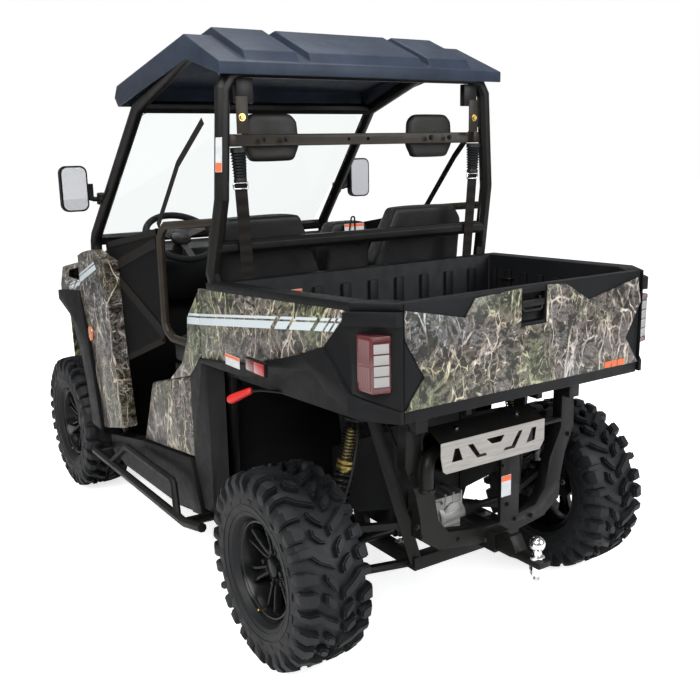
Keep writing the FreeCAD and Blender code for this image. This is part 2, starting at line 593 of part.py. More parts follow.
def hood():
    start = (HOOD_REAR_X, HOOD_FRONT_Z)
    end = (HOOD_FRONT_X, HOOD_REAR_Z)
    points = outline(HOOD_OUTLINE_SHARES, start, end)
    outside = side_slab(points, -HOOD_HALF_WIDTH, HOOD_HALF_WIDTH)
    inner_y = HOOD_HALF_WIDTH - HOOD_WALL
    inside = outline(HOOD_OUTLINE_SHARES, (start[0] + HOOD_WALL, start[1] - HOOD_WALL),
                     (end[0] - HOOD_WALL, end[1] - HOOD_WALL))
    hollow = side_slab(inside, -inner_y, inner_y)
    hollow = hollow.fuse(hollow.translated(vec(0, 0, -HOOD_WALL - HOOD_WALL - HOOD_WALL)))
    pins = pair(rod((HOOD_HINGE_X, inner_y, HOOD_HINGE_Z), (HOOD_HINGE_X, SIDE_IN_Y + HOOD_PIN_REACH, HOOD_HINGE_Z),
                    HOOD_PIN_RADIUS))
    return fuse([outside.cut(hollow)] + pins)


def nose_panel():
    low = (HOOD_FRONT_X + MOVING_GAP, -NOSE_HALF_WIDTH, NOSE_BOTTOM_Z)
    high = (SIDE_NOSE_X, NOSE_HALF_WIDTH, HOOD_FRONT_Z - MOVING_GAP)
    panel = box(low, high)
    slots = []
    for row in range(GRILLE_SLOTS):
        z = GRILLE_BOTTOM_Z + row * GRILLE_PITCH
        slots.append(box((low[0] - OVERRUN, -GRILLE_HALF_WIDTH, z),
                         (SIDE_NOSE_X + OVERRUN, GRILLE_HALF_WIDTH, z + GRILLE_SLOT)))
    panel = panel.cut(Part.makeCompound(slots))
    return panel.cut(Part.makeCompound(pair(lamp(FIT))))


def lamp(grow):
    """A headlamp block let into the nose panel."""
    high_y = NOSE_HALF_WIDTH - SIDE_WALL
    return box((SIDE_NOSE_X - LAMP_DEPTH / 2 - grow, high_y - LAMP_WIDTH - grow, LAMP_BOTTOM_Z - grow),
               (SIDE_NOSE_X + LAMP_PROUD + grow, high_y + grow, LAMP_BOTTOM_Z + LAMP_HEIGHT + grow))


# Front guard: a bent tube in front of the nose on two struts
GUARD_RADIUS = 20.0
GUARD_HALF_WIDTH = 340.0
GUARD_LOW_Z = 430.0
GUARD_HIGH_Z = 760.0
GUARD_BEND = 70.0


def front_guard():
    x = FRONT_X - GUARD_RADIUS * FLAT_SHARE
    corners = [(x, -RAIL_Y, GUARD_LOW_Z), (x, -GUARD_HALF_WIDTH, GUARD_LOW_Z),
               (x, -GUARD_HALF_WIDTH, GUARD_HIGH_Z), (x, GUARD_HALF_WIDTH, GUARD_HIGH_Z),
               (x, GUARD_HALF_WIDTH, GUARD_LOW_Z), (x, RAIL_Y, GUARD_LOW_Z)]
    loop = pipe(corners, GUARD_RADIUS, GUARD_BEND)
    low_bar = rod((x, -RAIL_Y, GUARD_LOW_Z), (x, RAIL_Y, GUARD_LOW_Z), GUARD_RADIUS)
    struts = []
    for side in (-1, 1):
        foot = (RAIL_FRONT_X + FIT, side * RAIL_Y, RAIL_Z)
        knee = (x - GUARD_RADIUS, side * RAIL_Y, RAIL_Z)
        struts.append(pipe([foot, knee, (x, side * RAIL_Y, GUARD_LOW_Z)], GUARD_RADIUS, GUARD_BEND))
    return fuse([loop, low_bar] + struts)


# Cab: floor pan and firewall, dashboard, steering column, seat base, seats
PAN_THICKNESS = 12.0
PAN_REAR_AHEAD_OF_HOOP = 55.0
FIREWALL_BEHIND_AXLE = 395.0
FIREWALL_TOP_Z = 960.0
DASH_DEPTH = 190.0
DASH_TOP_Z = 1190.0
DASH_BOTTOM_Z = 960.0
COWL_HEIGHT = 30.0
DASH_SHARES = ((0.10, 0.0), (0.0, 0.35), (0.0, 0.75), (0.12, 0.95), (0.35, 1.0), (1.0, 1.0),
               (1.0, 0.0))
SEAT_BASE_LENGTH = 440.0
SEAT_BASE_TOP_Z = 790.0
BACK_WALL = 14.0
BACK_WALL_TOP_Z = 1010.0
CUSHION_HEIGHT = 112.0
CUSHION_IN = 8.0
CUSHION_SPLIT_Y = 112.0
CUSHION_GAP = 12.0
CUSHION_OVERHANG = 30.0
BACK_BOTTOM_Z = 900.0
BACK_TOP_Z = 1375.0
CENTRE_BACK_TOP_Z = 1335.0
BACK_THICKNESS = 95.0
BACK_REAR_AHEAD_OF_HOOP = 59.0
BACK_RAKE = 55.0
BACK_TAPER = 55.0
BACK_CORNER_SHARES = ((0.0, 0.0), (1.0, 0.0), (1.0, 0.88), (0.90, 1.0), (0.22, 1.0), (0.0, 0.55))
SEAT_TAB_WIDTH = 26.0
SEAT_TAB_HEIGHT = 34.0
SEAT_TAB_Y = (205.0, 470.0)

CUSHION_OUT_Y = CAB_HALF_WIDTH - CUSHION_IN
PAN_REAR_X = HOOP_X + PAN_REAR_AHEAD_OF_HOOP
FIREWALL_X = FRONT_AXLE_X - FIREWALL_BEHIND_AXLE
SEAT_BASE_FRONT_X = PAN_REAR_X + SEAT_BASE_LENGTH
BACK_REAR_X = HOOP_X + BACK_REAR_AHEAD_OF_HOOP


def cab_floor():
    pan = box((PAN_REAR_X, -CAB_HALF_WIDTH, CAB_FLOOR_Z),
              (FIREWALL_X, CAB_HALF_WIDTH, CAB_FLOOR_Z + PAN_THICKNESS))
    firewall = box((FIREWALL_X - PAN_THICKNESS, -CAB_HALF_WIDTH, CAB_FLOOR_Z),
                   (FIREWALL_X, CAB_HALF_WIDTH, FIREWALL_TOP_Z - FIT))
    whole = fuse([pan, firewall])
    pillars = pair(pipe(pillar_points(), CAGE_RADIUS + FIT, CAGE_BEND))
    return whole.cut(Part.makeCompound(pillars))


def dashboard():
    rear = FIREWALL_X - DASH_DEPTH + PAN_THICKNESS
    points = outline(DASH_SHARES, (rear, DASH_BOTTOM_Z), (COWL_REAR_X - FIT, DASH_TOP_Z))
    body = side_slab(points, -CAB_HALF_WIDTH, CAB_HALF_WIDTH)
    cowl = box((COWL_REAR_X - FIT - OVERRUN, -SIDE_IN_Y + FIT, DASH_TOP_Z - COWL_HEIGHT),
               (HOOD_REAR_X - MOVING_GAP, SIDE_IN_Y - FIT, DASH_TOP_Z))
    body = body.fuse(cowl)
    for side in (-1, 1):
        body = body.cut(pipe([(x, side * y, z) for x, y, z in pillar_points()],
                             CAGE_RADIUS + FIT, CAGE_BEND))
    start, end = column_ends()
    body = body.cut(rod(start, end, COLUMN_RADIUS + FIT))
    foot_bar = rod((PILLAR_BASE_X, -PILLAR_Y, PILLAR_BASE_Z), (PILLAR_BASE_X, PILLAR_Y, PILLAR_BASE_Z),
                   CAGE_RADIUS + FIT)
    return max(body.cut(foot_bar).Solids, key=lambda solid: solid.Volume)


# Steering: rim with three spokes on a raked column
WHEEL_TILT = math.radians(55.0)
STEER_X_BEHIND_PILLAR = 333.0
STEER_Y = 330.0
STEER_Z = 1240.0
STEER_RADIUS = 165.0
STEER_GRIP = 14.0
STEER_SIDES = 18
GRIP_SIDES = 6
STEER_HUB_RADIUS = 42.0
STEER_HUB_DEPTH = 36.0
STEER_SPOKE_WIDTH = 34.0
STEER_SPOKE_DEPTH = 12.0
COLUMN_RADIUS = 24.0
COLUMN_LENGTH = 190.0
SPOKE_TURNS = (90.0, 210.0, 330.0)

STEER_X = PILLAR_BASE_X - STEER_X_BEHIND_PILLAR


def column_direction():
    """Down the column, away from the driver."""
    return vec(math.cos(WHEEL_TILT), 0, -math.sin(WHEEL_TILT))


def column_ends():
    centre = vec(STEER_X, STEER_Y, STEER_Z)
    down = column_direction()
    start = centre + down * (STEER_HUB_DEPTH / 2 + MOVING_GAP)
    return tuple(start), tuple(start + down * COLUMN_LENGTH)


def steering_column():
    start, end = column_ends()
    return rod(start, end, COLUMN_RADIUS)


def grip_ring():
    """The grip: a many-sided section swept round as straight mitred lengths."""
    radius = STEER_RADIUS - STEER_GRIP
    faces = []
    rings = []
    for turn in range(STEER_SIDES):
        angle = 2 * math.pi * turn / STEER_SIDES
        out = vec(math.cos(angle), math.sin(angle), 0)
        rings.append([out * (radius + STEER_GRIP * math.cos(side)) + vec(0, 0, STEER_GRIP * math.sin(side))
                      for side in (2 * math.pi * step / GRIP_SIDES for step in range(GRIP_SIDES))])
    for first, second in zip(rings, rings[1:] + rings[:1]):
        for step in range(GRIP_SIDES):
            after = (step + 1) % GRIP_SIDES
            faces.append(face([first[step], first[after], second[after], second[step]]))
    solid = Part.makeSolid(Part.makeShell(faces))
    if solid.Volume < 0:
        solid.reverse()
    return solid


def steering_wheel():
    """Built flat about +Z and then tipped onto the column."""
    rim = grip_ring()
    hub = rod((0, 0, -STEER_HUB_DEPTH / 2), (0, 0, STEER_HUB_DEPTH / 2), STEER_HUB_RADIUS)
    pieces = [rim, hub]
    for turn in SPOKE_TURNS:
        spoke = box((0, -STEER_SPOKE_WIDTH / 2, -STEER_SPOKE_DEPTH / 2),
                    (STEER_RADIUS - STEER_GRIP, STEER_SPOKE_WIDTH / 2, STEER_SPOKE_DEPTH / 2))
        spoke.rotate(vec(0, 0, 0), vec(0, 0, 1), turn)
        pieces.append(spoke)
    shaft = rod((0, 0, -STEER_HUB_DEPTH / 2 - MOVING_GAP + FIT), (0, 0, 0), COLUMN_RADIUS / 2)
    wheel = fuse(pieces + [shaft])
    wheel.Placement = FreeCAD.Placement(vec(STEER_X, STEER_Y, STEER_Z),
                                        FreeCAD.Rotation(vec(0, 0, 1), column_direction() * -1))
    return wheel


def seat_base():
    main = box((PAN_REAR_X + BACK_WALL + FIT, -CAB_HALF_WIDTH, CAB_FLOOR_Z + PAN_THICKNESS + FIT),
               (SEAT_BASE_FRONT_X, CAB_HALF_WIDTH, SEAT_BASE_TOP_Z))
    return main


def cab_back_panel():
    wall = box((PAN_REAR_X, -CAB_HALF_WIDTH, CAB_FLOOR_Z + PAN_THICKNESS + FIT),
               (PAN_REAR_X + BACK_WALL, CAB_HALF_WIDTH, SEAT_BASE_TOP_Z))
    upper = box((BACK_REAR_X - BACK_WALL, -CUSHION_OUT_Y + BACK_TAPER, SEAT_BASE_TOP_Z - BACK_WALL),
                (BACK_REAR_X, CUSHION_OUT_Y - BACK_TAPER, BACK_WALL_TOP_Z))
    return fuse([wall, upper])


def seat_cushions():
    top = SEAT_BASE_TOP_Z + FIT + CUSHION_HEIGHT
    rear = BACK_REAR_X + BACK_THICKNESS / 2
    front = SEAT_BASE_FRONT_X + CUSHION_OVERHANG
    bottom = SEAT_BASE_TOP_Z + FIT
    side = box((rear, CUSHION_SPLIT_Y, bottom), (front, CUSHION_OUT_Y, top))
    side = side.makeChamfer(CUSHION_HEIGHT / 4, [edge for edge in side.Edges if edge.BoundBox.ZMin > bottom])
    inner = CUSHION_SPLIT_Y - CUSHION_GAP
    centre = box((rear, -inner, bottom), (front, inner, top - CUSHION_GAP))
    return pair(side) + [centre]


def seat_back(low_y, high_y, top_z, shares):
    """A back pad: its outline stands across the vehicle and leans back."""
    across = outline(shares, (low_y, BACK_BOTTOM_Z + CUSHION_GAP), (high_y, top_z))
    slab = cross_slab(across, BACK_REAR_X - BACK_RAKE, SEAT_BASE_FRONT_X)
    lean = side_slab([(BACK_REAR_X + BACK_RAKE, BACK_BOTTOM_Z), (BACK_REAR_X, BACK_TOP_Z),
                      (BACK_REAR_X + BACK_THICKNESS, BACK_TOP_Z),
                      (BACK_REAR_X + BACK_RAKE + BACK_THICKNESS, BACK_BOTTOM_Z)],
                     -CUSHION_OUT_Y - OVERRUN, CUSHION_OUT_Y + OVERRUN)
    return slab.common(lean)


CENTRE_BACK_SHARES = ((0.0, 0.0), (1.0, 0.0), (1.0, 0.85), (0.85, 1.0), (0.15, 1.0), (0.0, 0.85))


def seat_backs():
    side = seat_back(CUSHION_SPLIT_Y + CUSHION_GAP, CUSHION_OUT_Y, BACK_TOP_Z, BACK_CORNER_SHARES)
    inner = CUSHION_SPLIT_Y - CUSHION_GAP
    return pair(side) + [seat_back(-inner, inner, CENTRE_BACK_TOP_Z, CENTRE_BACK_SHARES)]


# Headrests on their bar, and the belt straps
BAR_DEPTH = 30.0
BAR_HEIGHT = 40.0
BAR_Z = 1635.0
BAR_HOLE_RADIUS = 6.5
BAR_HOLE_SPACING = 83.0
BAR_HOLE_CENTRE_Y = 12.5
HEADREST_BOTTOM_Z = 1560.0
HEADREST_TOP_Z = 1727.0
HEADREST_IN_Y = 233.0
HEADREST_OUT_Y = 463.0
HEADREST_THICKNESS = 42.0
HEADREST_SHARES = ((0.11, 0.0), (0.87, 0.0), (1.0, 0.33), (0.96, 0.85), (0.85, 1.0), (0.15, 1.0),
                   (0.04, 0.85), (0.0, 0.33))
STRAP_WIDTH = 46.0
STRAP_THICKNESS = 3.0
REEL_SIZE = 70.0
REEL_THICKNESS = 30.0
REEL_Z = 1710.0
REEL_Y = 450.0


def headrest_bar():
    """The bar ahead of the hoop, with an end block that wraps each post."""
    post_x, post_y = hoop_place(BAR_Z)
    front = HOOP_X + BAR_DEPTH / 2
    low = BAR_Z - BAR_HEIGHT / 2
    bar = box((HOOP_X - BAR_DEPTH / 2, -post_y, low), (front, post_y, low + BAR_HEIGHT))
    for block in pair(box((post_x, post_y - CAGE_RADIUS - BAR_DEPTH, low), (front, post_y, low + BAR_HEIGHT))):
        bar = bar.fuse(block)
    bar = bar.cut(hoop_tube(CAGE_RADIUS + FIT))
    bar = max(bar.Solids, key=lambda solid: solid.Volume).removeSplitter()
    for side in (-1, 1):
        y = BAR_HOLE_CENTRE_Y + side * BAR_HOLE_SPACING / 2
        bar = bar.cut(Part.makeCylinder(BAR_HOLE_RADIUS, BAR_DEPTH + BAR_DEPTH, vec(HOOP_X - BAR_DEPTH, y, BAR_Z),
                                        vec(1, 0, 0)))
    return bar


def headrest():
    points = outline(HEADREST_SHARES, (HEADREST_IN_Y, HEADREST_BOTTOM_Z), (HEADREST_OUT_Y, HEADREST_TOP_Z))
    start = HOOP_X + BAR_DEPTH / 2 + FIT
    return cross_slab(points, start, start + HEADREST_THICKNESS)


def seat_belt():
    """Reel housing below the hoop's top tube with the strap that hangs to the seat."""
    rear = HOOP_TOP_X - REEL_THICKNESS / 2
    housing = box((rear, REEL_Y, REEL_Z), (rear + REEL_THICKNESS, REEL_Y + REEL_SIZE, HOOP_TOP_Z - CAGE_RADIUS - FIT))
    strap_y = REEL_Y + (REEL_SIZE - STRAP_WIDTH) / 2
    strap = box((rear, strap_y, BAR_Z + BAR_HEIGHT / 2 + FIT),
                (rear + STRAP_THICKNESS, strap_y + STRAP_WIDTH, REEL_Z + OVERRUN))
    return fuse([housing, strap]).cut(hoop_tube(CAGE_RADIUS + FIT))


# Hip bars beside the seats, and the nets between them and the pillars
HIP_RADIUS = 16.0
HIP_BEND = 70.0
HIP_OUT = 67.0
HIP_TOP_Z = 1371.0
HIP_CORNER_Z = 1336.0
HIP_LOW_Z = 922.0
HIP_BASE_Z = 900.0
HIP_REACH = 395.0
NET_THICKNESS = 3.0
NET_SHARES = ((0.0, 0.30), (0.88, 0.0), (1.0, 0.84), (0.0, 1.0))
NET_BOTTOM_Z = 711.0
NET_TOP_Z = 1326.0
NET_LENGTH = 596.0


HIP_Y = CAB_HALF_WIDTH + HIP_OUT


def hip_bar():
    post_x, post_y = hoop_place(HIP_TOP_Z)
    low = [(post_x, post_y, HIP_TOP_Z),
           (HOOP_X + HIP_REACH, HIP_Y, HIP_CORNER_Z),
           (HOOP_X + HIP_REACH, HIP_Y, HIP_LOW_Z),
           (HOOP_X, HOOP_BASE_Y, HIP_BASE_Z)]
    return pipe(low, HIP_RADIUS, HIP_BEND).cut(hoop_tube(CAGE_RADIUS + FIT))


def side_net():
    start_x = HOOP_X + HIP_REACH + HIP_RADIUS * FLAT_SHARE + FIT
    points = outline(NET_SHARES, (start_x, NET_BOTTOM_Z), (start_x + NET_LENGTH, NET_TOP_Z))
    return side_slab(points, HIP_Y - NET_THICKNESS / 2, HIP_Y + NET_THICKNESS / 2)


# Panels below the seats: camouflage boxes, rocker panels with a step, black inner panels
BOX_DEPTH = 90.0
BOX_BOTTOM_Z = 450.0
BOX_TOP_Z = 820.0
BOX_REAR_AHEAD_OF_HOOP = 144.0
BOX_LENGTH = 504.0
BOX_SHARES = ((0.0, 0.173), (0.121, 0.151), (1.0, 0.0), (0.75, 0.727), (0.0, 1.0))
COLUMN_TOP_Z = 1140.0
COLUMN_BOTTOM_Z = 770.0
COLUMN_REAR_AHEAD_OF_HOOP = 36.0
COLUMN_WIDTH = 297.0
COLUMN_OUT = 52.0
COLUMN_TAB = 36.0
COLUMN_SHARES = ((0.0, 1.0), (0.35, 0.716), (0.391, 0.489), (0.586, 0.232), (1.0, 0.0), (0.3636, 0.138),
                 (0.010, 0.389), (0.0, 0.389))
ROCKER_OUT = 100.0
ROCKER_IN = 40.0
ROCKER_BOTTOM_Z = 262.0
ROCKER_TOP_Z = 507.0
ROCKER_REAR_INSET = 84.0
ROCKER_FRONT_AHEAD = 60.0
ROCKER_SHARES = ((0.0, 0.196), (0.24, 0.037), (0.86, 0.0), (1.0, 0.16), (1.0, 0.45), (0.587, 0.75),
                 (0.081, 1.0))
INNER_PANEL_DEPTH = 52.0
INNER_PANEL_TOP_Z = 860.0
INNER_BOTTOM_Z = 340.0
INNER_PEAK_Z = 905.0
INNER_REAR = 60.0
INNER_FACET = 40.0
INNER_SHARES = ((0.0, 0.055), (0.286, 0.0), (0.69, 0.0), (1.0, 0.285), (1.0, 0.842), (0.498, 1.0), (0.473, 1.0),
                (0.473, 0.966), (0.0, 0.966))
ROCKER_STEP = 9.0
ROCKER_GROOVE_SHARE = 0.045
ROCKER_STEP_SHARES = ((0.06, -0.10), (0.10, 0.22), (0.45, 0.42), (0.92, 0.25), (0.92, -0.10))
ROCKER_GROOVE_SHARES = (0.62, 0.70, 0.78, 0.86)
STEP_BAR_RADIUS = 17.0
STEP_BAR_OUT = 182.0
STEP_BAR_Z = 316.0
STEP_BAR_BEND = 60.0
STEP_REAR_AHEAD = 55.0
STEP_TAIL = 98.0
STEP_TAIL_RISE = 34.0
STEP_LOOP_OUT = 150.0
STEP_LOOP_Z = 415.0
STEP_LOOP_RADIUS = 14.0
STEP_LOOP_SHARES = (0.06, 0.16, 0.64, 0.76)


BOX_OUT_Y = CAB_HALF_WIDTH + BOX_DEPTH
BOX_REAR_X = HOOP_X + BOX_REAR_AHEAD_OF_HOOP
COLUMN_IN_Y = CAB_HALF_WIDTH + COLUMN_OUT
ROCKER_OUT_Y = CAB_HALF_WIDTH + ROCKER_OUT
ROCKER_IN_Y = CAB_HALF_WIDTH + ROCKER_IN
INNER_PANEL_OUT_Y = CAB_HALF_WIDTH + INNER_PANEL_DEPTH
STEP_BAR_Y = CAB_HALF_WIDTH + STEP_BAR_OUT
STEP_LOOP_Y = CAB_HALF_WIDTH + STEP_LOOP_OUT


def camouflage_box():
    points = outline(BOX_SHARES, (BOX_REAR_X, BOX_BOTTOM_Z), (BOX_REAR_X + BOX_LENGTH, BOX_TOP_Z))
    return side_slab(points, CAB_HALF_WIDTH + FIT, BOX_OUT_Y)


def rear_column():
    start = HOOP_X + COLUMN_REAR_AHEAD_OF_HOOP
    points = outline(COLUMN_SHARES, (start, COLUMN_BOTTOM_Z + FIT), (start + COLUMN_WIDTH, COLUMN_TOP_Z))
    column = side_slab(points, COLUMN_IN_Y, BOX_OUT_Y)
    tab_y = BED_HALF_WIDTH - MOVING_GAP
    tab_front = start + COLUMN_TAB
    tab = flat_slab([(HOOP_X, HOOP_BASE_Y), (tab_front, HOOP_BASE_Y), (tab_front, COLUMN_IN_Y + OVERRUN),
                     (start, COLUMN_IN_Y + OVERRUN), (start, tab_y), (HOOP_X, tab_y)],
                    HOOP_BASE_BEND_Z, HOOP_BASE_BEND_Z + COLUMN_TAB)
    return fuse([column, tab]).cut(hoop_tube(CAGE_RADIUS + FIT)).Solids[0]


def rocker_top_share(share):
    """How high the sloping top of the rocker panel is, both as shares of its outline."""
    (front, low), (rear, high) = ROCKER_SHARES[4:6]
    return low + (high - low) * (front - share) / (front - rear)


def rocker_panel():
    """The step moulding: grooved on top and stepped inwards below its shoulder."""
    low = (HOOP_X + ROCKER_REAR_INSET, ROCKER_BOTTOM_Z)
    high = (PILLAR_FOOT_X + ROCKER_FRONT_AHEAD, ROCKER_TOP_Z)
    panel = side_slab(outline(ROCKER_SHARES, low, high), ROCKER_IN_Y, ROCKER_OUT_Y)
    shade = side_slab(outline(ROCKER_STEP_SHARES, low, high), ROCKER_OUT_Y - ROCKER_STEP, ROCKER_OUT_Y + OVERRUN)
    panel = panel.cut(shade)
    for share in ROCKER_GROOVE_SHARES:
        ends = [(share, rocker_top_share(share)),
                (share + ROCKER_GROOVE_SHARE, rocker_top_share(share + ROCKER_GROOVE_SHARE))]
        (x_rear, z_rear), (x_front, z_front) = outline(ends, low, high)
        groove = [(x_rear, z_rear - ROCKER_STEP), (x_front, z_front - ROCKER_STEP),
                  (x_front, z_front + ROCKER_STEP), (x_rear, z_rear + ROCKER_STEP)]
        panel = panel.cut(side_slab(groove, ROCKER_IN_Y + ROCKER_STEP, ROCKER_OUT_Y - ROCKER_STEP))
    return panel.cut(pipe(pillar_points(), CAGE_RADIUS + FIT, CAGE_BEND))


def inner_panel():
    """The faceted black panel that climbs from the rocker to the bed behind the camouflage box."""
    rear = HOOP_X - INNER_REAR
    points = outline(INNER_SHARES, (rear, INNER_BOTTOM_Z), (BOX_REAR_X - FIT, INNER_PEAK_Z))
    whole = side_slab(points, CAB_HALF_WIDTH + FIT, BOX_OUT_Y)
    beside_hoop = box((rear - OVERRUN, 0, 0), (HOOP_X + CAGE_RADIUS + FIT, INNER_PANEL_OUT_Y, INNER_PEAK_Z + OVERRUN))
    below_bar = box((rear - OVERRUN, 0, INNER_PANEL_TOP_Z), (BOX_REAR_X, INNER_PANEL_OUT_Y, INNER_PEAK_Z + OVERRUN))
    facet = flat_slab([(rear - OVERRUN, BOX_OUT_Y - INNER_FACET), (HOOP_X, BOX_OUT_Y + FIT),
                       (HOOP_X, BOX_OUT_Y + INNER_FACET), (rear - OVERRUN, BOX_OUT_Y + INNER_FACET)],
                      0, INNER_PEAK_Z + OVERRUN)
    rocker = side_slab(outline(ROCKER_SHARES, (HOOP_X + ROCKER_REAR_INSET - FIT, ROCKER_BOTTOM_Z - FIT),
                               (PILLAR_FOOT_X + ROCKER_FRONT_AHEAD + FIT, ROCKER_TOP_Z + FIT)),
                       ROCKER_IN_Y - FIT, ROCKER_OUT_Y + FIT)
    for cutter in (beside_hoop, below_bar, facet, rocker):
        whole = whole.cut(cutter)
    return max(whole.Solids, key=lambda solid: solid.Volume)


def side_step_bar():
    """The outer tube on two stays, with the step loop that rises from it towards the seat."""
    inner = SILL_Y + SILL_SIZE / 2 + FIT + FIT
    rear = HOOP_X + STEP_REAR_AHEAD
    tube = pipe([(STEP_FRONT_X, inner, SILL_Z), (STEP_FRONT_X, STEP_BAR_Y, STEP_BAR_Z), (rear, STEP_BAR_Y, STEP_BAR_Z),
                 (HOOP_X - STEP_TAIL, STEP_BAR_Y, STEP_BAR_Z + STEP_TAIL_RISE)], STEP_BAR_RADIUS, STEP_BAR_BEND)
    stay = rod((rear, inner, SILL_Z), (rear, STEP_BAR_Y, STEP_BAR_Z), STEP_BAR_RADIUS)
    span = STEP_FRONT_X - rear
    loop = pipe([(rear + STEP_LOOP_SHARES[0] * span, STEP_BAR_Y, STEP_BAR_Z),
                 (rear + STEP_LOOP_SHARES[1] * span, STEP_LOOP_Y, STEP_LOOP_Z),
                 (rear + STEP_LOOP_SHARES[2] * span, STEP_LOOP_Y, STEP_LOOP_Z),
                 (rear + STEP_LOOP_SHARES[3] * span, STEP_BAR_Y, STEP_BAR_Z)], STEP_LOOP_RADIUS, STEP_BAR_BEND)
    return fuse([tube, stay, loop])


# Power and drive line
ENGINE_LENGTH = 310.0
ENGINE_HALF_WIDTH = 165.0
ENGINE_HEIGHT = 380.0
GEARCASE_LENGTH = 110.0
GEARCASE_HALF_WIDTH = 90.0
GEARCASE_HEIGHT = 190.0
GEARCASE_FOOT = 24.0
GEARCASE_RIB = 8.0
GEARCASE_RIB_SHARES = (-0.8, -0.4, 0.0, 0.4, 0.8)
MUFFLER_RADIUS = 66.0
MUFFLER_Z = 700.0
MUFFLER_LEFT_Y = 240.0
MUFFLER_RIGHT_Y = -110.0
MUFFLER_AHEAD_OF_SHIELD = 84.0
SHIELD_THICKNESS = 3.0
SHIELD_BEHIND_HINGE = 60.0
SHIELD_LEFT_Y = 289.0
SHIELD_RIGHT_Y = -137.0
SHIELD_BOTTOM_Z = 654.0
SHIELD_TOP_Z = 785.0
SHIELD_BEND_Z = 752.0
SHIELD_LEAN = 70.0
SHIELD_SHARES = ((0.05, 0.12), (0.12, 0.0), (0.96, 0.0), (1.0, 0.12), (1.0, 1.0), (0.0, 1.0), (0.0, 0.45))
SHIELD_SLOT_SHARES = (0.13, 0.27, 0.60, 0.74, 0.88)
SHIELD_SLOT_WIDTH = 26.0
SHIELD_SLOT_SLANT = 22.0
SHIELD_SLOT_INSET = 24.0
SHIELD_BOSS_Y = (-40.0, 190.0)
SHIELD_BOSS_RADIUS = 9.0
HANGER_RADIUS = 10.0

SHIELD_X = BED_HINGE_X - SHIELD_BEHIND_HINGE


def engine():
    rear = REAR_AXLE_X + GEARCASE_LENGTH / 2 + FIT
    return box((rear, -ENGINE_HALF_WIDTH, RAIL_TOP_Z + FIT),
               (rear + ENGINE_LENGTH, ENGINE_HALF_WIDTH, RAIL_TOP_Z + ENGINE_HEIGHT))


def gearcase(axle_x):
    """A ribbed housing with four feet that stand on the frame's rails."""
    pieces = [box((axle_x - GEARCASE_LENGTH / 2, -GEARCASE_HALF_WIDTH, AXLE_Z - GEARCASE_HEIGHT / 2),
                  (axle_x + GEARCASE_LENGTH / 2, GEARCASE_HALF_WIDTH, AXLE_Z + GEARCASE_HEIGHT / 2))]
    for side in (-1, 1):
        outer = axle_x + side * GEARCASE_LENGTH / 2
        inner = outer - side * GEARCASE_FOOT
        pieces.append(box((min(outer, inner), -RAIL_Y, RAIL_TOP_Z + FIT),
                          (max(outer, inner), RAIL_Y, RAIL_TOP_Z + FIT + GEARCASE_RIB)))
    for share in GEARCASE_RIB_SHARES:
        y = share * GEARCASE_HALF_WIDTH
        pieces.append(box((axle_x - GEARCASE_LENGTH / 2, y - GEARCASE_RIB / 2, AXLE_Z + GEARCASE_HEIGHT / 2),
                          (axle_x + GEARCASE_LENGTH / 2, y + GEARCASE_RIB / 2,
                           AXLE_Z + GEARCASE_HEIGHT / 2 + GEARCASE_RIB)))
    return fuse(pieces)


def muffler_can(grow):
    x = SHIELD_X + MUFFLER_AHEAD_OF_SHIELD
    return rod((x, MUFFLER_RIGHT_Y, MUFFLER_Z), (x, MUFFLER_LEFT_Y, MUFFLER_Z), MUFFLER_RADIUS + grow)


def muffler():
    """The can on a hanger bar that ends at the heads of the frame's two rear plates."""
    x = SHIELD_X + MUFFLER_AHEAD_OF_SHIELD
    reach = PLATE_HEAD_IN_Y - FIT
    return fuse([muffler_can(0), rod((x, -reach, MUFFLER_Z), (x, reach, MUFFLER_Z), HANGER_RADIUS)])


def exhaust_shield():
    """A slotted plate whose top edge is bent forwards, on two bosses that reach to the muffler."""
    sheet = cross_slab(outline(SHIELD_SHARES, (SHIELD_RIGHT_Y, SHIELD_BOTTOM_Z), (SHIELD_LEFT_Y, SHIELD_BEND_Z)),
                       SHIELD_X, SHIELD_X + SHIELD_THICKNESS)
    top = side_slab([(SHIELD_X, SHIELD_BEND_Z), (SHIELD_X + SHIELD_LEAN, SHIELD_TOP_Z),
                     (SHIELD_X + SHIELD_LEAN, SHIELD_TOP_Z - SHIELD_THICKNESS),
                     (SHIELD_X + SHIELD_THICKNESS, SHIELD_BEND_Z - SHIELD_THICKNESS), (SHIELD_X, SHIELD_BEND_Z - SHIELD_THICKNESS)],
                    SHIELD_RIGHT_Y, SHIELD_LEFT_Y)
    sheet = sheet.fuse(top)
    for share in SHIELD_SLOT_SHARES:
        y = SHIELD_RIGHT_Y + share * (SHIELD_LEFT_Y - SHIELD_RIGHT_Y)
        slant = SHIELD_SLOT_SLANT if share < CORNER_SHARE else -SHIELD_SLOT_SLANT
        low = SHIELD_BOTTOM_Z + SHIELD_SLOT_INSET
        high = SHIELD_BEND_Z - SHIELD_SLOT_INSET
        sheet = sheet.cut(cross_slab([(y, low), (y + SHIELD_SLOT_WIDTH, low), (y + SHIELD_SLOT_WIDTH + slant, high),
                                      (y + slant, high)], SHIELD_X - OVERRUN, SHIELD_X + SHIELD_THICKNESS + OVERRUN))
    x = SHIELD_X + MUFFLER_AHEAD_OF_SHIELD
    pieces = [sheet]
    for y in SHIELD_BOSS_Y:
        pieces.append(rod((SHIELD_X, y, MUFFLER_Z), (x, y, MUFFLER_Z), SHIELD_BOSS_RADIUS))
    whole = fuse(pieces).cut(muffler_can(FIT))
    return max(whole.Solids, key=lambda solid: solid.Volume)


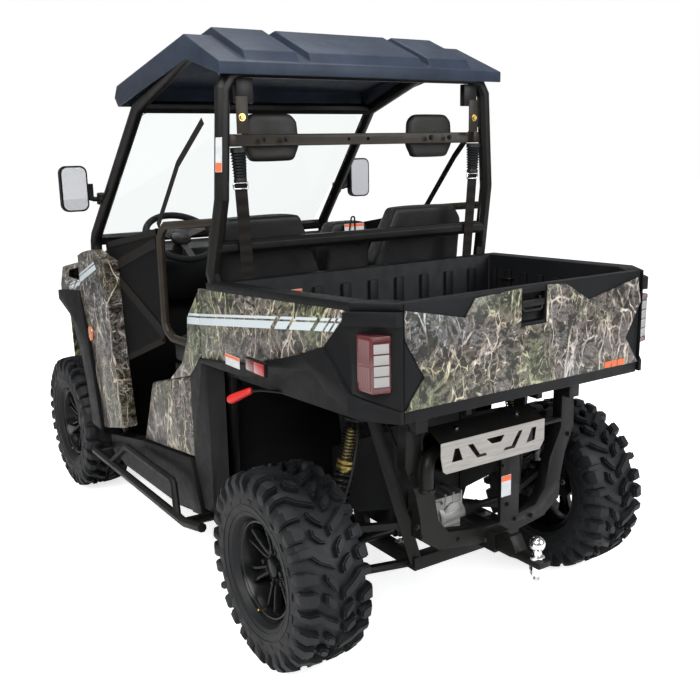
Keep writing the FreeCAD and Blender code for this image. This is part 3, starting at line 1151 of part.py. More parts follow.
# Wheels: faceted tyres with two rows of lugs, spoked rims
WHEEL_SIDES = 20
LUG_COUNT = 10
LUG_HEIGHT = 20.0
LUG_LENGTH = 30.0
LUG_SWEEP = 34.0
LUG_MIDDLE_OVERLAP = 8.0
SHOULDER_DROP = 26.0
SHOULDER_WIDTH = 26.0
SIDEWALL_SHARE = 0.5
SIDEWALL_INSET = 6.0
RIM_RADIUS = 165.0
RIM_FLANGE = 13.0
RIM_WALL = 8.0
RIM_WIDTH_SHARE = 0.72
DISC_THICKNESS = 22.0
DISC_INSET = 30.0
HUB_RADIUS = 48.0
SPOKES = 6
SPOKE_WINDOW_SHARES = (0.38, 0.80)
SPOKE_WINDOW_SPREAD_SHARE = 0.72


def polygon_ring(radius, y, sides):
    """Corner points of a regular polygon around the wheel's axle."""
    step = 2 * math.pi / sides
    return [vec(radius * math.sin(turn * step), y, radius * math.cos(turn * step))
            for turn in range(sides)]


def turned(profile, sides):
    """A faceted body of (radius, y) stations around the axle, closed at both ends."""
    return skin([polygon_ring(radius, y, sides) for radius, y in profile])


def tyre(width):
    """Carcass and lugs about an axle on the origin, its outer face towards +Y."""
    half = width / 2
    tread = TYRE_RADIUS - LUG_HEIGHT
    bead = RIM_RADIUS + FIT
    wall = half - SIDEWALL_INSET
    flat = half - SHOULDER_WIDTH
    carcass = turned([(bead, -half * RIM_WIDTH_SHARE), (bead + SIDEWALL_SHARE * (tread - bead), -wall),
                      (tread - SHOULDER_DROP, -wall), (tread, -flat), (tread, flat),
                      (tread - SHOULDER_DROP, wall), (bead + SIDEWALL_SHARE * (tread - bead), wall),
                      (bead, half * RIM_WIDTH_SHARE)], WHEEL_SIDES)
    carcass = carcass.cut(turned([(bead, -half), (bead, half)], WHEEL_SIDES))
    reach = (LUG_LENGTH + LUG_SWEEP) / 2
    top = math.sqrt(TYRE_RADIUS ** 2 - reach ** 2)
    rest_turn = math.degrees(math.atan2(reach, top)) - 180.0 * (1 - CORNER_SHARE / LUG_COUNT)
    lugs = []
    for row in (-1, 1):
        start = -row * LUG_MIDDLE_OVERLAP
        points = [(reach - LUG_LENGTH, start), (reach, start),
                  (LUG_LENGTH - reach, row * half), (-reach, row * half)]
        lug = flat_slab(points, tread - SHOULDER_DROP - LUG_HEIGHT, top)
        for turn in range(LUG_COUNT):
            angle = 360.0 * (turn + row * CORNER_SHARE / 2) / LUG_COUNT
            lugs.append(lug.rotated(vec(0, 0, 0), vec(0, 1, 0), angle - rest_turn))
    return carcass.multiFuse(lugs).removeSplitter()


def rim(width):
    """Barrel, disc with six double spokes and hub, its outer face towards +Y."""
    half = width / 2 * RIM_WIDTH_SHARE
    barrel = turned([(RIM_RADIUS, -half), (RIM_RADIUS, half)], WHEEL_SIDES)
    inner = RIM_RADIUS - RIM_FLANGE
    disc_y = half - DISC_INSET
    barrel = barrel.cut(turned([(inner, -half - OVERRUN), (inner, disc_y - DISC_THICKNESS)], WHEEL_SIDES))
    barrel = barrel.cut(turned([(inner, disc_y), (inner, half + OVERRUN)], WHEEL_SIDES))
    for spoke in range(SPOKES):
        low = inner * SPOKE_WINDOW_SHARES[0]
        high = inner * SPOKE_WINDOW_SHARES[1]
        spread = math.pi / SPOKES * SPOKE_WINDOW_SPREAD_SHARE
        corners = [vec(radius * math.sin(turn), disc_y - DISC_THICKNESS - OVERRUN, radius * math.cos(turn))
                   for radius, turn in ((low, -spread / 2), (high, -spread), (high, spread), (low, spread / 2))]
        window = face(corners).extrude(vec(0, DISC_THICKNESS + OVERRUN + OVERRUN, 0))
        window.rotate(vec(0, 0, 0), vec(0, 1, 0), 360.0 * spoke / SPOKES)
        barrel = barrel.cut(window)
    return barrel


def place_wheel(shape, x, y):
    """Puts a left-hand wheel piece in place, or its mirror image for a right-hand one."""
    if y < 0:
        shape = other_side(shape)
    return shape.translated(vec(x, y, AXLE_Z))


# Suspension: two arms a wheel, hub carriers, shocks; the front ones turn about their kingpins
KINGPIN_Y = 540.0
PIN_RADIUS = 9.0
EYE_RADIUS = 20.0
EYE_HEIGHT = 22.0
ARM_RISE = 72.0
ARM_SIZE = 22.0
KNUCKLE_LENGTH = 64.0
KNUCKLE_DEPTH = 34.0
STUB_RADIUS = 17.0
STEER_ARM_SIZE = 20.0
SHAFT_RADIUS = 14.0
SHOCK_RADIUS = 34.0
SHOCK_ROD_RADIUS = 12.0
SHOCK_FOOT_Y = 430.0
SHOCK_COILS = 3
SHOCK_SIDES = 6
SHOCK_SPRING_SHARES = (0.15, 0.90)
COIL_THICKNESS = 9.0

UPPER_ARM_Z = AXLE_Z + ARM_RISE + EYE_HEIGHT / 2


def arm(axle_x, side_z):
    """One A-arm of the left side, above or below: two legs from the frame to a kingpin eye."""
    eye_low = AXLE_Z + side_z * (ARM_RISE + EYE_HEIGHT / 2) - EYE_HEIGHT / 2
    middle_z = eye_low + EYE_HEIGHT / 2
    foot_z = middle_z if side_z > 0 else RAIL_Z
    share = (foot_z - RAIL_Z) / (TOWER_TOP_Z - RAIL_Z)
    foot_y = RAIL_Y + share * (TOWER_TOP_Y - RAIL_Y)
    spread = TOWER_LEAN * (1 - share / 2)
    eye = rod((axle_x, KINGPIN_Y, eye_low), (axle_x, KINGPIN_Y, eye_low + EYE_HEIGHT), EYE_RADIUS)
    pieces = [eye]
    for lean in (-spread, spread):
        pieces.append(beam((axle_x + lean, foot_y, foot_z), (axle_x, KINGPIN_Y, middle_z),
                           ARM_SIZE, ARM_SIZE - FIT))
    if side_z > 0:
        half = spread * (KINGPIN_Y - SHOCK_FOOT_Y) / (KINGPIN_Y - foot_y)
        pieces.append(beam((axle_x - half, SHOCK_FOOT_Y, middle_z), (axle_x + half, SHOCK_FOOT_Y, middle_z),
                           ARM_SIZE, ARM_SIZE))
    whole = fuse(pieces)
    for lean in (-TOWER_LEAN, TOWER_LEAN):
        whole = whole.cut(tower_leg(axle_x, lean, FIT))
    whole = whole.cut(box((axle_x - WHEELBASE / 2, 0, RAIL_BOTTOM_Z - FIT),
                          (axle_x + WHEELBASE / 2, RAIL_Y + RAIL_SIZE / 2 + FIT, RAIL_TOP_Z + FIT)))
    whole = whole.cut(bore((axle_x, KINGPIN_Y, eye_low - OVERRUN),
                           (axle_x, KINGPIN_Y, eye_low + EYE_HEIGHT + OVERRUN), PIN_RADIUS + FIT))
    return max(whole.Solids, key=lambda solid: solid.Volume)


def knuckle(side_arm):
    """Hub carrier of the left side about the kingpin, with pins up and down."""
    height = ARM_RISE - MOVING_GAP
    body = box((-KNUCKLE_LENGTH / 2, KINGPIN_Y - KNUCKLE_DEPTH / 2, AXLE_Z - height),
               (KNUCKLE_LENGTH / 2, KINGPIN_Y + KNUCKLE_DEPTH / 2, AXLE_Z + height))
    reach = ARM_RISE + EYE_HEIGHT
    pin = rod((0, KINGPIN_Y, AXLE_Z - reach), (0, KINGPIN_Y, AXLE_Z + reach), PIN_RADIUS)
    pieces = [body, pin]
    if side_arm:
        pieces.append(box((-RACK_BEHIND_AXLE - STEER_ARM_SIZE / 2, KINGPIN_Y - KNUCKLE_DEPTH / 2, RACK_Z - STEER_ARM_SIZE),
                          (0, KINGPIN_Y + KNUCKLE_DEPTH / 2 - OVERRUN, RACK_Z - RACK_RADIUS - FIT)))
    whole = fuse(pieces)
    return whole.cut(bore((0, KINGPIN_Y - KNUCKLE_DEPTH, AXLE_Z), (0, KINGPIN_Y + KNUCKLE_DEPTH, AXLE_Z),
                          STUB_RADIUS + FIT, SHAFT_SIDES))


def axle_stub(width, wheel_y, inner_y):
    """The stub that turns in the knuckle, with the hub that fills the rim's disc."""
    half = width / 2 * RIM_WIDTH_SHARE
    disc_rear = half - DISC_INSET - DISC_THICKNESS
    hub = turned([(HUB_RADIUS, KINGPIN_Y + KNUCKLE_DEPTH / 2 + MOVING_GAP - wheel_y), (HUB_RADIUS, disc_rear + OVERRUN)],
                 WHEEL_SIDES // 2)
    stub = rod((0, inner_y - wheel_y, 0), (0, disc_rear, 0), STUB_RADIUS, SHAFT_SIDES)
    return hub.fuse(stub)


def wheel(width, wheel_y, inner_y):
    return rim(width).fuse(axle_stub(width, wheel_y, inner_y)).removeSplitter()


def shock(axle_x):
    """A coil-over shock from the upper arm to the tower, its coils as rings."""
    foot = vec(axle_x, SHOCK_FOOT_Y, UPPER_ARM_Z)
    head = vec(axle_x, TOWER_TOP_Y, TOWER_TOP_Z)
    along = head - foot
    pieces = [rod(tuple(foot), tuple(head), SHOCK_ROD_RADIUS, SHOCK_SIDES)]
    first, last = SHOCK_SPRING_SHARES
    thickness = vec(*along).normalize() * COIL_THICKNESS
    for coil in range(SHOCK_COILS):
        start = foot + along * (first + (last - first) * coil / SHOCK_COILS)
        pieces.append(rod(tuple(start), tuple(start + thickness), SHOCK_RADIUS, SHOCK_SIDES))
    whole = fuse(pieces)
    for y, z, size in ((SHOCK_FOOT_Y, UPPER_ARM_Z, ARM_SIZE), (TOWER_TOP_Y, TOWER_TOP_Z, UPRIGHT_SIZE)):
        reach = size + FIT + FIT
        whole = whole.cut(beam((axle_x - WHEELBASE / 2, y, z), (axle_x + WHEELBASE / 2, y, z), reach, reach))
    return max(whole.Solids, key=lambda solid: solid.Volume)


def front_shaft():
    """The fixed part of a front half-shaft, up to the joint in the knuckle."""
    return rod((FRONT_AXLE_X, GEARCASE_HALF_WIDTH + FIT, AXLE_Z),
               (FRONT_AXLE_X, KINGPIN_Y - KNUCKLE_DEPTH - OVERRUN, AXLE_Z), SHAFT_RADIUS)


def tie_rods():
    reach = KINGPIN_Y - KNUCKLE_DEPTH / 2 + STEER_ARM_SIZE / 2
    return rod((RACK_X, -reach, RACK_Z), (RACK_X, reach, RACK_Z), RACK_RADIUS)


# Cargo bed: a tub that narrows to the rear, its chamfered corners, rim, side panels and lamps
BED_FRONT_BEHIND_HOOP = 45.0
BED_OUT = 44.0
BED_TAPER_SHARE = 0.092
BED_WALL = 26.0
BED_FLOOR_Z = 856.0
BED_FLOOR = 20.0
BED_FRONT_TOP_Z = 1172.0
BED_REAR_TOP_Z = 1204.0
BED_RIM = 24.0
BED_RIM_AHEAD = 23.0
BED_GATE_BEHIND_AXLE = 413.5
BED_CHAMFER = 80.0
BED_CHAMFER_WIDTH = 59.0
GATE_THICKNESS = 38.0
GATE_BOTTOM_Z = 866.0
GATE_TOP_Z = 1202.0
GATE_HINGE_RISE = 14.0
GATE_SKIN = 6.0
GATE_GAP = 8.0
PANEL_DEPTH = 40.0
PANEL_SKIN = 10.0
PANEL_FRONT_AHEAD_OF_HOOP = 30.0
PANEL_SHARES = ((1.0, 1.0), (1.0, 0.103), (0.653, 0.204), (0.363, 0.424), (0.288, 0.449), (0.129, 0.853),
                (0.129, 1.0))
FLARE_PROUD = 12.0
BROW_PROUD = 24.0
BROW_BOTTOM_Z = 1140.0
FLARE_BOTTOM_Z = 870.0
CORNER_SHARES = (
    (0.0, 1.0), (0.129, 1.0), (0.129, 0.853), (0.288, 0.449), (0.363, 0.424), (0.653, 0.204), (1.0, 0.103),
    (1.0, 0.066), (0.708, 0.066), (0.543, 0.165), (0.363, 0.287), (0.304, 0.317), (0.221, 0.165), (0.126, 0.081),
    (0.073, 0.009), (0.0, 0.0))
FLARE_SHARES = (
    (1.0, 0.103), (0.653, 0.204), (0.363, 0.424), (0.255, 0.527), (0.119, 0.21), (0.079, 0.165), (0.0, 0.099),
    (0.0, 0.0), (0.073, 0.009), (0.126, 0.081), (0.221, 0.165), (0.304, 0.317), (0.363, 0.287), (0.543, 0.165),
    (0.708, 0.066), (1.0, 0.066))
TAIL_LAMP_BOTTOM_Z = 957.0
TAIL_LAMP_TOP_Z = 1115.0
TAIL_LAMP_PROUD = 36.0
TAIL_LAMP_SHARES = (0.13, 0.475, 0.77)

BED_HALF_WIDTH = CAB_HALF_WIDTH + BED_OUT
BED_FRONT_X = HOOP_X - BED_FRONT_BEHIND_HOOP
BED_REAR_X = REAR_AXLE_X - BED_GATE_BEHIND_AXLE
TUB_REAR_X = BED_REAR_X + GATE_GAP
TUB_CORNER_X = TUB_REAR_X + BED_CHAMFER
CORNER_X = BED_REAR_X + BED_CHAMFER
PANEL_FRONT_X = HOOP_X + PANEL_FRONT_AHEAD_OF_HOOP
GATE_REAR_X = BED_REAR_X - GATE_THICKNESS
GATE_HINGE_X = BED_REAR_X - GATE_THICKNESS / 2
GATE_HINGE_Z = GATE_BOTTOM_Z + GATE_HINGE_RISE
GATE_HALF_WIDTH = BED_HALF_WIDTH - BED_TAPER_SHARE * (BED_FRONT_X - TUB_CORNER_X) - BED_CHAMFER_WIDTH
GATE_SLOT_Y = GATE_HALF_WIDTH + MOVING_GAP
PANEL_OUT_Y = BED_HALF_WIDTH + PANEL_DEPTH


def bed_side_y(x):
    """Half the tub's width, which grows evenly towards the front."""
    return BED_HALF_WIDTH - BED_TAPER_SHARE * (BED_FRONT_X - x)


def bed_plan(inset):
    """Plan of the tub, open line at the tailgate, pulled in by a wall."""
    front = BED_FRONT_X - inset
    front_out = bed_side_y(front) - inset
    corner_out = bed_side_y(TUB_CORNER_X) - inset
    gate = GATE_HALF_WIDTH - inset
    return [(front, -front_out), (front, front_out), (TUB_CORNER_X, corner_out), (TUB_REAR_X, gate),
            (TUB_REAR_X, -gate), (TUB_CORNER_X, -corner_out)]


def bed_surround(front, grow):
    """The left half of the plan around the tub, out to a depth beyond its walls."""
    gate = GATE_SLOT_Y + grow - PANEL_DEPTH
    return flat_slab([(front, 0), (front, bed_side_y(front) + grow), (CORNER_X, bed_side_y(CORNER_X) + grow),
                      (GATE_REAR_X, gate), (GATE_REAR_X, 0)], 0, BED_REAR_TOP_Z)


def rim_line(drop):
    """The rim's sloping top as (x, z) points from front to rear, lowered."""
    rise_share = (BED_REAR_TOP_Z - BED_FRONT_TOP_Z) / (PANEL_FRONT_X - GATE_REAR_X)
    return [(PANEL_FRONT_X, BED_FRONT_TOP_Z - drop),
            (GATE_REAR_X, BED_FRONT_TOP_Z - drop + rise_share * (PANEL_FRONT_X - GATE_REAR_X))]


def below_rim(drop):
    """Everything under the rim's top, or under its bottom, as a block across the vehicle."""
    line = rim_line(drop) + [(GATE_REAR_X, 0), (PANEL_FRONT_X, 0)]
    return side_slab(line, -PANEL_OUT_Y - FLARE_PROUD - BROW_PROUD, PANEL_OUT_Y + FLARE_PROUD + BROW_PROUD)


def gate_slot():
    """The room of the closed tailgate behind the tub."""
    return box((GATE_REAR_X - OVERRUN, -GATE_SLOT_Y, 0), (TUB_REAR_X, GATE_SLOT_Y, BED_REAR_TOP_Z + OVERRUN))


def cargo_bed():
    outside = flat_slab(bed_plan(0), BED_FLOOR_Z, BED_REAR_TOP_Z)
    rim = bed_surround(BED_FRONT_X + BED_RIM_AHEAD, PANEL_DEPTH)
    rim = rim.fuse(other_side(rim)).cut(below_rim(BED_RIM)).cut(gate_slot())
    hollow = flat_slab(bed_plan(BED_WALL), BED_FLOOR_Z + BED_FLOOR, BED_REAR_TOP_Z + OVERRUN)
    opening = box((TUB_REAR_X - OVERRUN, -GATE_HALF_WIDTH + BED_WALL, BED_FLOOR_Z + BED_FLOOR),
                  (TUB_REAR_X + BED_WALL + OVERRUN, GATE_HALF_WIDTH - BED_WALL, BED_REAR_TOP_Z + OVERRUN))
    tub = fuse([outside, rim]).cut(hollow).cut(opening).common(below_rim(0))
    ears = []
    for side in (-1, 1):
        y = side * PLATE_HEAD_IN_Y / 2
        ear = box((BED_HINGE_X - BED_PIN_RADIUS * 2, y - BED_PIN_RADIUS, BED_HINGE_Z - BED_PIN_RADIUS * 2),
                  (BED_HINGE_X + BED_PIN_RADIUS * 2, y + BED_PIN_RADIUS, BED_FLOOR_Z + OVERRUN))
        ears.append(ear)
    tub = fuse([tub] + ears)
    return tub.cut(bore((BED_HINGE_X, -PLATE_HEAD_IN_Y, BED_HINGE_Z),
                        (BED_HINGE_X, PLATE_HEAD_IN_Y, BED_HINGE_Z), BED_PIN_RADIUS + FIT, SHAFT_SIDES))


def bed_shell(grow):
    """The room of the side panel and flare: around the tub and thin where it passes the hoop."""
    shell = bed_surround(PANEL_FRONT_X, grow).common(below_rim(BED_RIM))
    thin = PANEL_DEPTH - PANEL_SKIN
    shell = shell.cut(flat_slab([(BED_FRONT_X, 0), (BED_FRONT_X, bed_side_y(BED_FRONT_X) + thin),
                                 (PANEL_FRONT_X + OVERRUN, bed_side_y(PANEL_FRONT_X + OVERRUN) + thin),
                                 (PANEL_FRONT_X + OVERRUN, 0)], 0, BED_REAR_TOP_Z))
    return shell.cut(flat_slab(bed_plan(-FIT), 0, BED_REAR_TOP_Z)).cut(gate_slot())


def bed_outline(shares):
    """A side view outline of the bed's panels, as a slab over the left half."""
    points = outline(shares, (GATE_REAR_X, FLARE_BOTTOM_Z), (PANEL_FRONT_X, BED_REAR_TOP_Z + BED_RIM))
    return side_slab(points, 0, PANEL_OUT_Y + FLARE_PROUD + BROW_PROUD)


def bed_side_panel():
    return bed_shell(PANEL_DEPTH).common(bed_outline(PANEL_SHARES))


def bed_flare():
    """The black rear corner that holds the lamp, the brow above it and the band over the wheel."""
    corner = bed_shell(PANEL_DEPTH).common(bed_outline(CORNER_SHARES))
    band = bed_shell(PANEL_DEPTH + FLARE_PROUD).common(bed_outline(FLARE_SHARES))
    brow = bed_shell(PANEL_DEPTH + BROW_PROUD).common(box((GATE_REAR_X, 0, BROW_BOTTOM_Z),
                                                          (CORNER_X, PANEL_OUT_Y, BED_REAR_TOP_Z)))
    whole = fuse([corner, band, brow]).cut(bed_side_panel())
    whole = whole.cut(bore((GATE_HINGE_X, GATE_HALF_WIDTH, GATE_HINGE_Z),
                           (GATE_HINGE_X, GATE_SLOT_Y + GATE_PIN_REACH + FIT, GATE_HINGE_Z), GATE_PIN_RADIUS + FIT))
    whole = whole.cut(tail_lamp(FIT))
    return max(whole.Solids, key=lambda solid: solid.Volume)


def tail_lamp(grow):
    """A lamp let into the chamfered corner, its two outer faces meeting in an upright ridge."""
    start = vec(CORNER_X, bed_side_y(CORNER_X) + PANEL_DEPTH, 0)
    end = vec(GATE_REAR_X, GATE_SLOT_Y, 0)
    line = end - start
    along = vec(*line).normalize() * grow
    out = vec(line.y, -line.x, 0).normalize()
    first, ridge, last = [start + line * share for share in TAIL_LAMP_SHARES]
    inner = out * (-LAMP_PROUD - grow)
    outer = out * (LAMP_PROUD / 2)
    corners = [first - along + inner, last + along + inner, last + along + outer, ridge + out * TAIL_LAMP_PROUD,
               first - along + outer]
    return flat_slab([(corner.x, corner.y) for corner in corners], TAIL_LAMP_BOTTOM_Z - grow, TAIL_LAMP_TOP_Z + grow)


# Tailgate: a panel with a handle pocket, and the camouflage skin on its back
POCKET_HALF_WIDTH = 52.0
POCKET_BOTTOM_Z = 1094.0
POCKET_TOP_Z = 1181.0
POCKET_DEPTH = 24.0
GATE_PIN_RADIUS = 6.0
GATE_PIN_REACH = 8.0
SKIN_SHARES = (
    (-1.0, 0.107), (1.0, 0.107), (0.86, 0.37), (1.0, 0.70), (1.0, 0.94), (0.56, 0.81), (0.48, 0.96),
    (0.11, 0.99), (0.11, 0.65), (-0.11, 0.65), (-0.11, 0.99), (-0.27, 0.98), (-0.49, 0.80),
    (-0.96, 0.94), (-1.0, 0.70), (-0.86, 0.37))


def tailgate():
    rear = GATE_REAR_X + GATE_SKIN
    panel = box((rear, -GATE_HALF_WIDTH, GATE_BOTTOM_Z), (BED_REAR_X, GATE_HALF_WIDTH, GATE_TOP_Z))
    pocket = box((rear - OVERRUN, -POCKET_HALF_WIDTH, POCKET_BOTTOM_Z),
                 (rear + POCKET_DEPTH, POCKET_HALF_WIDTH, POCKET_TOP_Z))
    pins = pair(rod((GATE_HINGE_X, GATE_HALF_WIDTH - GATE_PIN_REACH, GATE_HINGE_Z),
                    (GATE_HINGE_X, GATE_SLOT_Y + GATE_PIN_REACH, GATE_HINGE_Z), GATE_PIN_RADIUS))
    return fuse([panel.cut(pocket)] + pins)


def tailgate_skin():
    points = outline(SKIN_SHARES, (0, GATE_BOTTOM_Z), (GATE_HALF_WIDTH, GATE_TOP_Z))
    return cross_slab(points, GATE_REAR_X, GATE_REAR_X + GATE_SKIN - FIT)


# Hitch: a dropped drawbar in the receiver, and the ball with its shank and nut
DRAWBAR_SIZE = 50.0
DRAWBAR_THICKNESS = 20.0
DRAWBAR_REAR_INSET = 142.0
DRAWBAR_PLATE_RISE = 20.0
DRAWBAR_PLATE = 14.0
DRAWBAR_LEAN = 30.0
BALL_RADIUS = 25.0
BALL_INSET = 34.0
BALL_Z = 402.0
BALL_NECK_RADIUS = 14.0
BALL_COLLAR_RADIUS = 24.0
BALL_COLLAR = 14.0
BALL_NUT_RADIUS = 22.0
BALL_NUT_HEIGHT = 20.0
BALL_SHANK_BOTTOM_Z = 282.0
BALL_ROWS = 8
BALL_SIDES = 14
NUT_SIDES = 6

BALL_X = REAR_X + BALL_INSET
BALL_NECK_TOP_Z = BALL_Z - math.sqrt(BALL_RADIUS ** 2 - BALL_NECK_RADIUS ** 2)
TONGUE_TOP_Z = RECEIVER_Z


def hitch_drawbar():
    """The shank in the receiver, a leaning end plate and the tongue that carries the ball."""
    shank_front = RECEIVER_REAR_X + RECEIVER_LENGTH - RECEIVER_WALL - FIT
    half = DRAWBAR_SIZE / 2
    low = RECEIVER_Z - half
    high = RECEIVER_Z + half
    rear = REAR_X + DRAWBAR_REAR_INSET - DRAWBAR_PLATE
    line = [(shank_front, low), (shank_front, high), (rear + DRAWBAR_PLATE, high),
            (rear + DRAWBAR_PLATE, high + DRAWBAR_PLATE_RISE), (rear, high + DRAWBAR_PLATE_RISE),
            (rear - DRAWBAR_LEAN, TONGUE_TOP_Z), (REAR_X, TONGUE_TOP_Z), (REAR_X, TONGUE_TOP_Z - DRAWBAR_THICKNESS),
            (rear - DRAWBAR_LEAN, TONGUE_TOP_Z - DRAWBAR_THICKNESS), (rear, low)]
    whole = side_slab(line, -half, half)
    return whole.cut(bore((BALL_X, 0, 0), (BALL_X, 0, BALL_Z), BALL_NECK_RADIUS + FIT))


def hitch_ball():
    """Shank, nut, collar and ball, turned about the ball's own upright axis."""
    collar_z = TONGUE_TOP_Z + FIT
    stations = [(BALL_NECK_RADIUS, collar_z + BALL_COLLAR), (BALL_NECK_RADIUS, BALL_NECK_TOP_Z)]
    lathe = [(BALL_NECK_RADIUS, BALL_SHANK_BOTTOM_Z), (BALL_NECK_RADIUS, collar_z),
             (BALL_COLLAR_RADIUS, collar_z), (BALL_COLLAR_RADIUS, collar_z + BALL_COLLAR)] + stations
    for row in range(1, BALL_ROWS):
        turn = math.pi * (row / BALL_ROWS - CORNER_SHARE)
        if BALL_RADIUS * math.cos(turn) > BALL_NECK_RADIUS or turn > 0:
            lathe.append((BALL_RADIUS * math.cos(turn), BALL_Z + BALL_RADIUS * math.sin(turn)))
    corners = [[vec(BALL_X + radius * math.cos(step), radius * math.sin(step), z)
                for step in (2 * math.pi * side / BALL_SIDES for side in range(BALL_SIDES))]
               for radius, z in lathe if z != collar_z + BALL_COLLAR or radius == BALL_COLLAR_RADIUS]
    body = skin(corners)
    nut_z = TONGUE_TOP_Z - DRAWBAR_THICKNESS - FIT - BALL_NUT_HEIGHT
    nut = rod((BALL_X, 0, nut_z), (BALL_X, 0, nut_z + BALL_NUT_HEIGHT), BALL_NUT_RADIUS, NUT_SIDES)
    return fuse([body, nut])


# Mirrors on the pillars
MIRROR_OUT = 168.0
MIRROR_WIDTH = 110.0
MIRROR_HEIGHT = 190.0
MIRROR_DEPTH = 34.0
MIRROR_Z = 1457.0
MIRROR_BEHIND_PILLAR_BASE = 148.0
MIRROR_CORNER = 24.0
MIRROR_ARM_RADIUS = 8.0


MIRROR_Y = CAB_HALF_WIDTH + MIRROR_OUT


def pillar_x(z):
    """Where the leaning pillar's centre line is at a height."""
    return PILLAR_BASE_X - PILLAR_LEAN * (z - PILLAR_BASE_Z) / (PILLAR_TOP_Z - PILLAR_BASE_Z)


def mirror():
    x = PILLAR_BASE_X - MIRROR_BEHIND_PILLAR_BASE
    low = (x - MIRROR_DEPTH / 2, MIRROR_Y - MIRROR_WIDTH / 2, MIRROR_Z - MIRROR_HEIGHT / 2)
    high = (x + MIRROR_DEPTH / 2, MIRROR_Y + MIRROR_WIDTH / 2, MIRROR_Z + MIRROR_HEIGHT / 2)
    shell = box(low, high)
    shell = shell.makeChamfer(MIRROR_CORNER, [edge for edge in shell.Edges if edge.BoundBox.XLength > MIRROR_DEPTH / 2])
    clamp_z = MIRROR_Z - MIRROR_HEIGHT / 4
    clamp = (pillar_x(clamp_z), PILLAR_Y, clamp_z)
    stalk = rod(clamp, (x, MIRROR_Y, clamp_z), MIRROR_ARM_RADIUS)
    whole = fuse([shell, stalk])
    return whole.cut(pipe(pillar_points(), CAGE_RADIUS + FIT, CAGE_BEND))


def build():
    os.makedirs("parts", exist_ok=True)
    save("frame", [frame()])
    save("sill_frame", [sill_frame()])
    save("rear_uprights", [rear_uprights()])
    save("shock_towers", [shock_tower(REAR_AXLE_X), shock_tower(FRONT_AXLE_X)])
    save("roll_cage_rear", [roll_cage_rear()])
    save("roll_cage_front", [roll_cage_front()])
    save("roof", [roof()])
    save("windshield", [windshield()])
    save("front_side_panels", pair(front_side_panel()))
    save("fender_flares", pair(fender_flare()))
    save("hood", [hood()])
    save("nose_panel", [nose_panel()])
    save("headlamps", pair(lamp(0)))
    save("front_guard", [front_guard()])
    save("cab_floor", [cab_floor()])
    save("dashboard", [dashboard()])
    save("steering_column", [steering_column()])
    save("steering_wheel", [steering_wheel()])
    save("seat_base", [seat_base()])
    save("cab_back_panel", [cab_back_panel()])
    save("seat_cushions", seat_cushions())
    save("seat_backs", seat_backs())
    save("headrest_bar", [headrest_bar()])
    save("headrests", pair(headrest()))
    save("seat_belts", pair(seat_belt()))
    save("hip_bars", pair(hip_bar()))
    save("side_nets", pair(side_net()))
    save("under_seat_boxes", pair(camouflage_box()))
    save("rear_columns", pair(rear_column()))
    save("rocker_panels", pair(rocker_panel()))
    save("inner_panels", pair(inner_panel()))
    save("side_step_bars", pair(side_step_bar()))
    save("engine", [engine()])
    save("gearcases", [gearcase(REAR_AXLE_X), gearcase(FRONT_AXLE_X)])
    save("muffler", [muffler()])
    save("exhaust_shield", [exhaust_shield()])
    arms = []
    for axle_x in (REAR_AXLE_X, FRONT_AXLE_X):
        arms += pair(arm(axle_x, -1)) + pair(arm(axle_x, 1))
    save("suspension_arms", arms)
    save("shock_absorbers", pair(shock(REAR_AXLE_X)) + pair(shock(FRONT_AXLE_X)))
    save("front_half_shafts", pair(front_shaft()))
    rear_hub = knuckle(False).translated(vec(REAR_AXLE_X, 0, 0))
    save("rear_hub_carriers", pair(rear_hub))
    front_hub = knuckle(True).translated(vec(FRONT_AXLE_X, 0, 0))
    save("knuckle_left", [front_hub])
    save("knuckle_right", [other_side(front_hub)])
    save("tie_rods", [tie_rods()])
    rear_tyre = tyre(REAR_TYRE_WIDTH)
    front_tyre = tyre(FRONT_TYRE_WIDTH)
    rear_wheel = wheel(REAR_TYRE_WIDTH, REAR_WHEEL_Y, GEARCASE_HALF_WIDTH + FIT)
    front_wheel = wheel(FRONT_TYRE_WIDTH, FRONT_WHEEL_Y, KINGPIN_Y - KNUCKLE_DEPTH / 2)
    for name, side in (("left", 1), ("right", -1)):
        save("tyre_rear_" + name, [place_wheel(rear_tyre, REAR_AXLE_X, side * REAR_WHEEL_Y)])
        save("tyre_front_" + name, [place_wheel(front_tyre, FRONT_AXLE_X, side * FRONT_WHEEL_Y)])
        save("rim_rear_" + name, [place_wheel(rear_wheel, REAR_AXLE_X, side * REAR_WHEEL_Y)])
        save("rim_front_" + name, [place_wheel(front_wheel, FRONT_AXLE_X, side * FRONT_WHEEL_Y)])
    save("cargo_bed", [cargo_bed()])
    save("bed_side_panels", pair(bed_side_panel()))
    save("bed_flares", pair(bed_flare()))
    save("tail_lamps", pair(tail_lamp(0)))
    save("tailgate", [tailgate()])
    save("tailgate_skin", [tailgate_skin()])
    save("hitch_drawbar", [hitch_drawbar()])
    save("hitch_ball", [hitch_ball()])
    save("mirrors", pair(mirror()))


build()
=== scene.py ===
"""A side-by-side utility vehicle, parked on its wheels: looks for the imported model.

The file is laid out as an add-on. Each operator makes one group of pieces in metres, in the
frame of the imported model: X forward, Y to the left, Z up, with the floor at zero.
"""

import json
import math

import bmesh
import bpy
from mathutils import Matrix, Vector


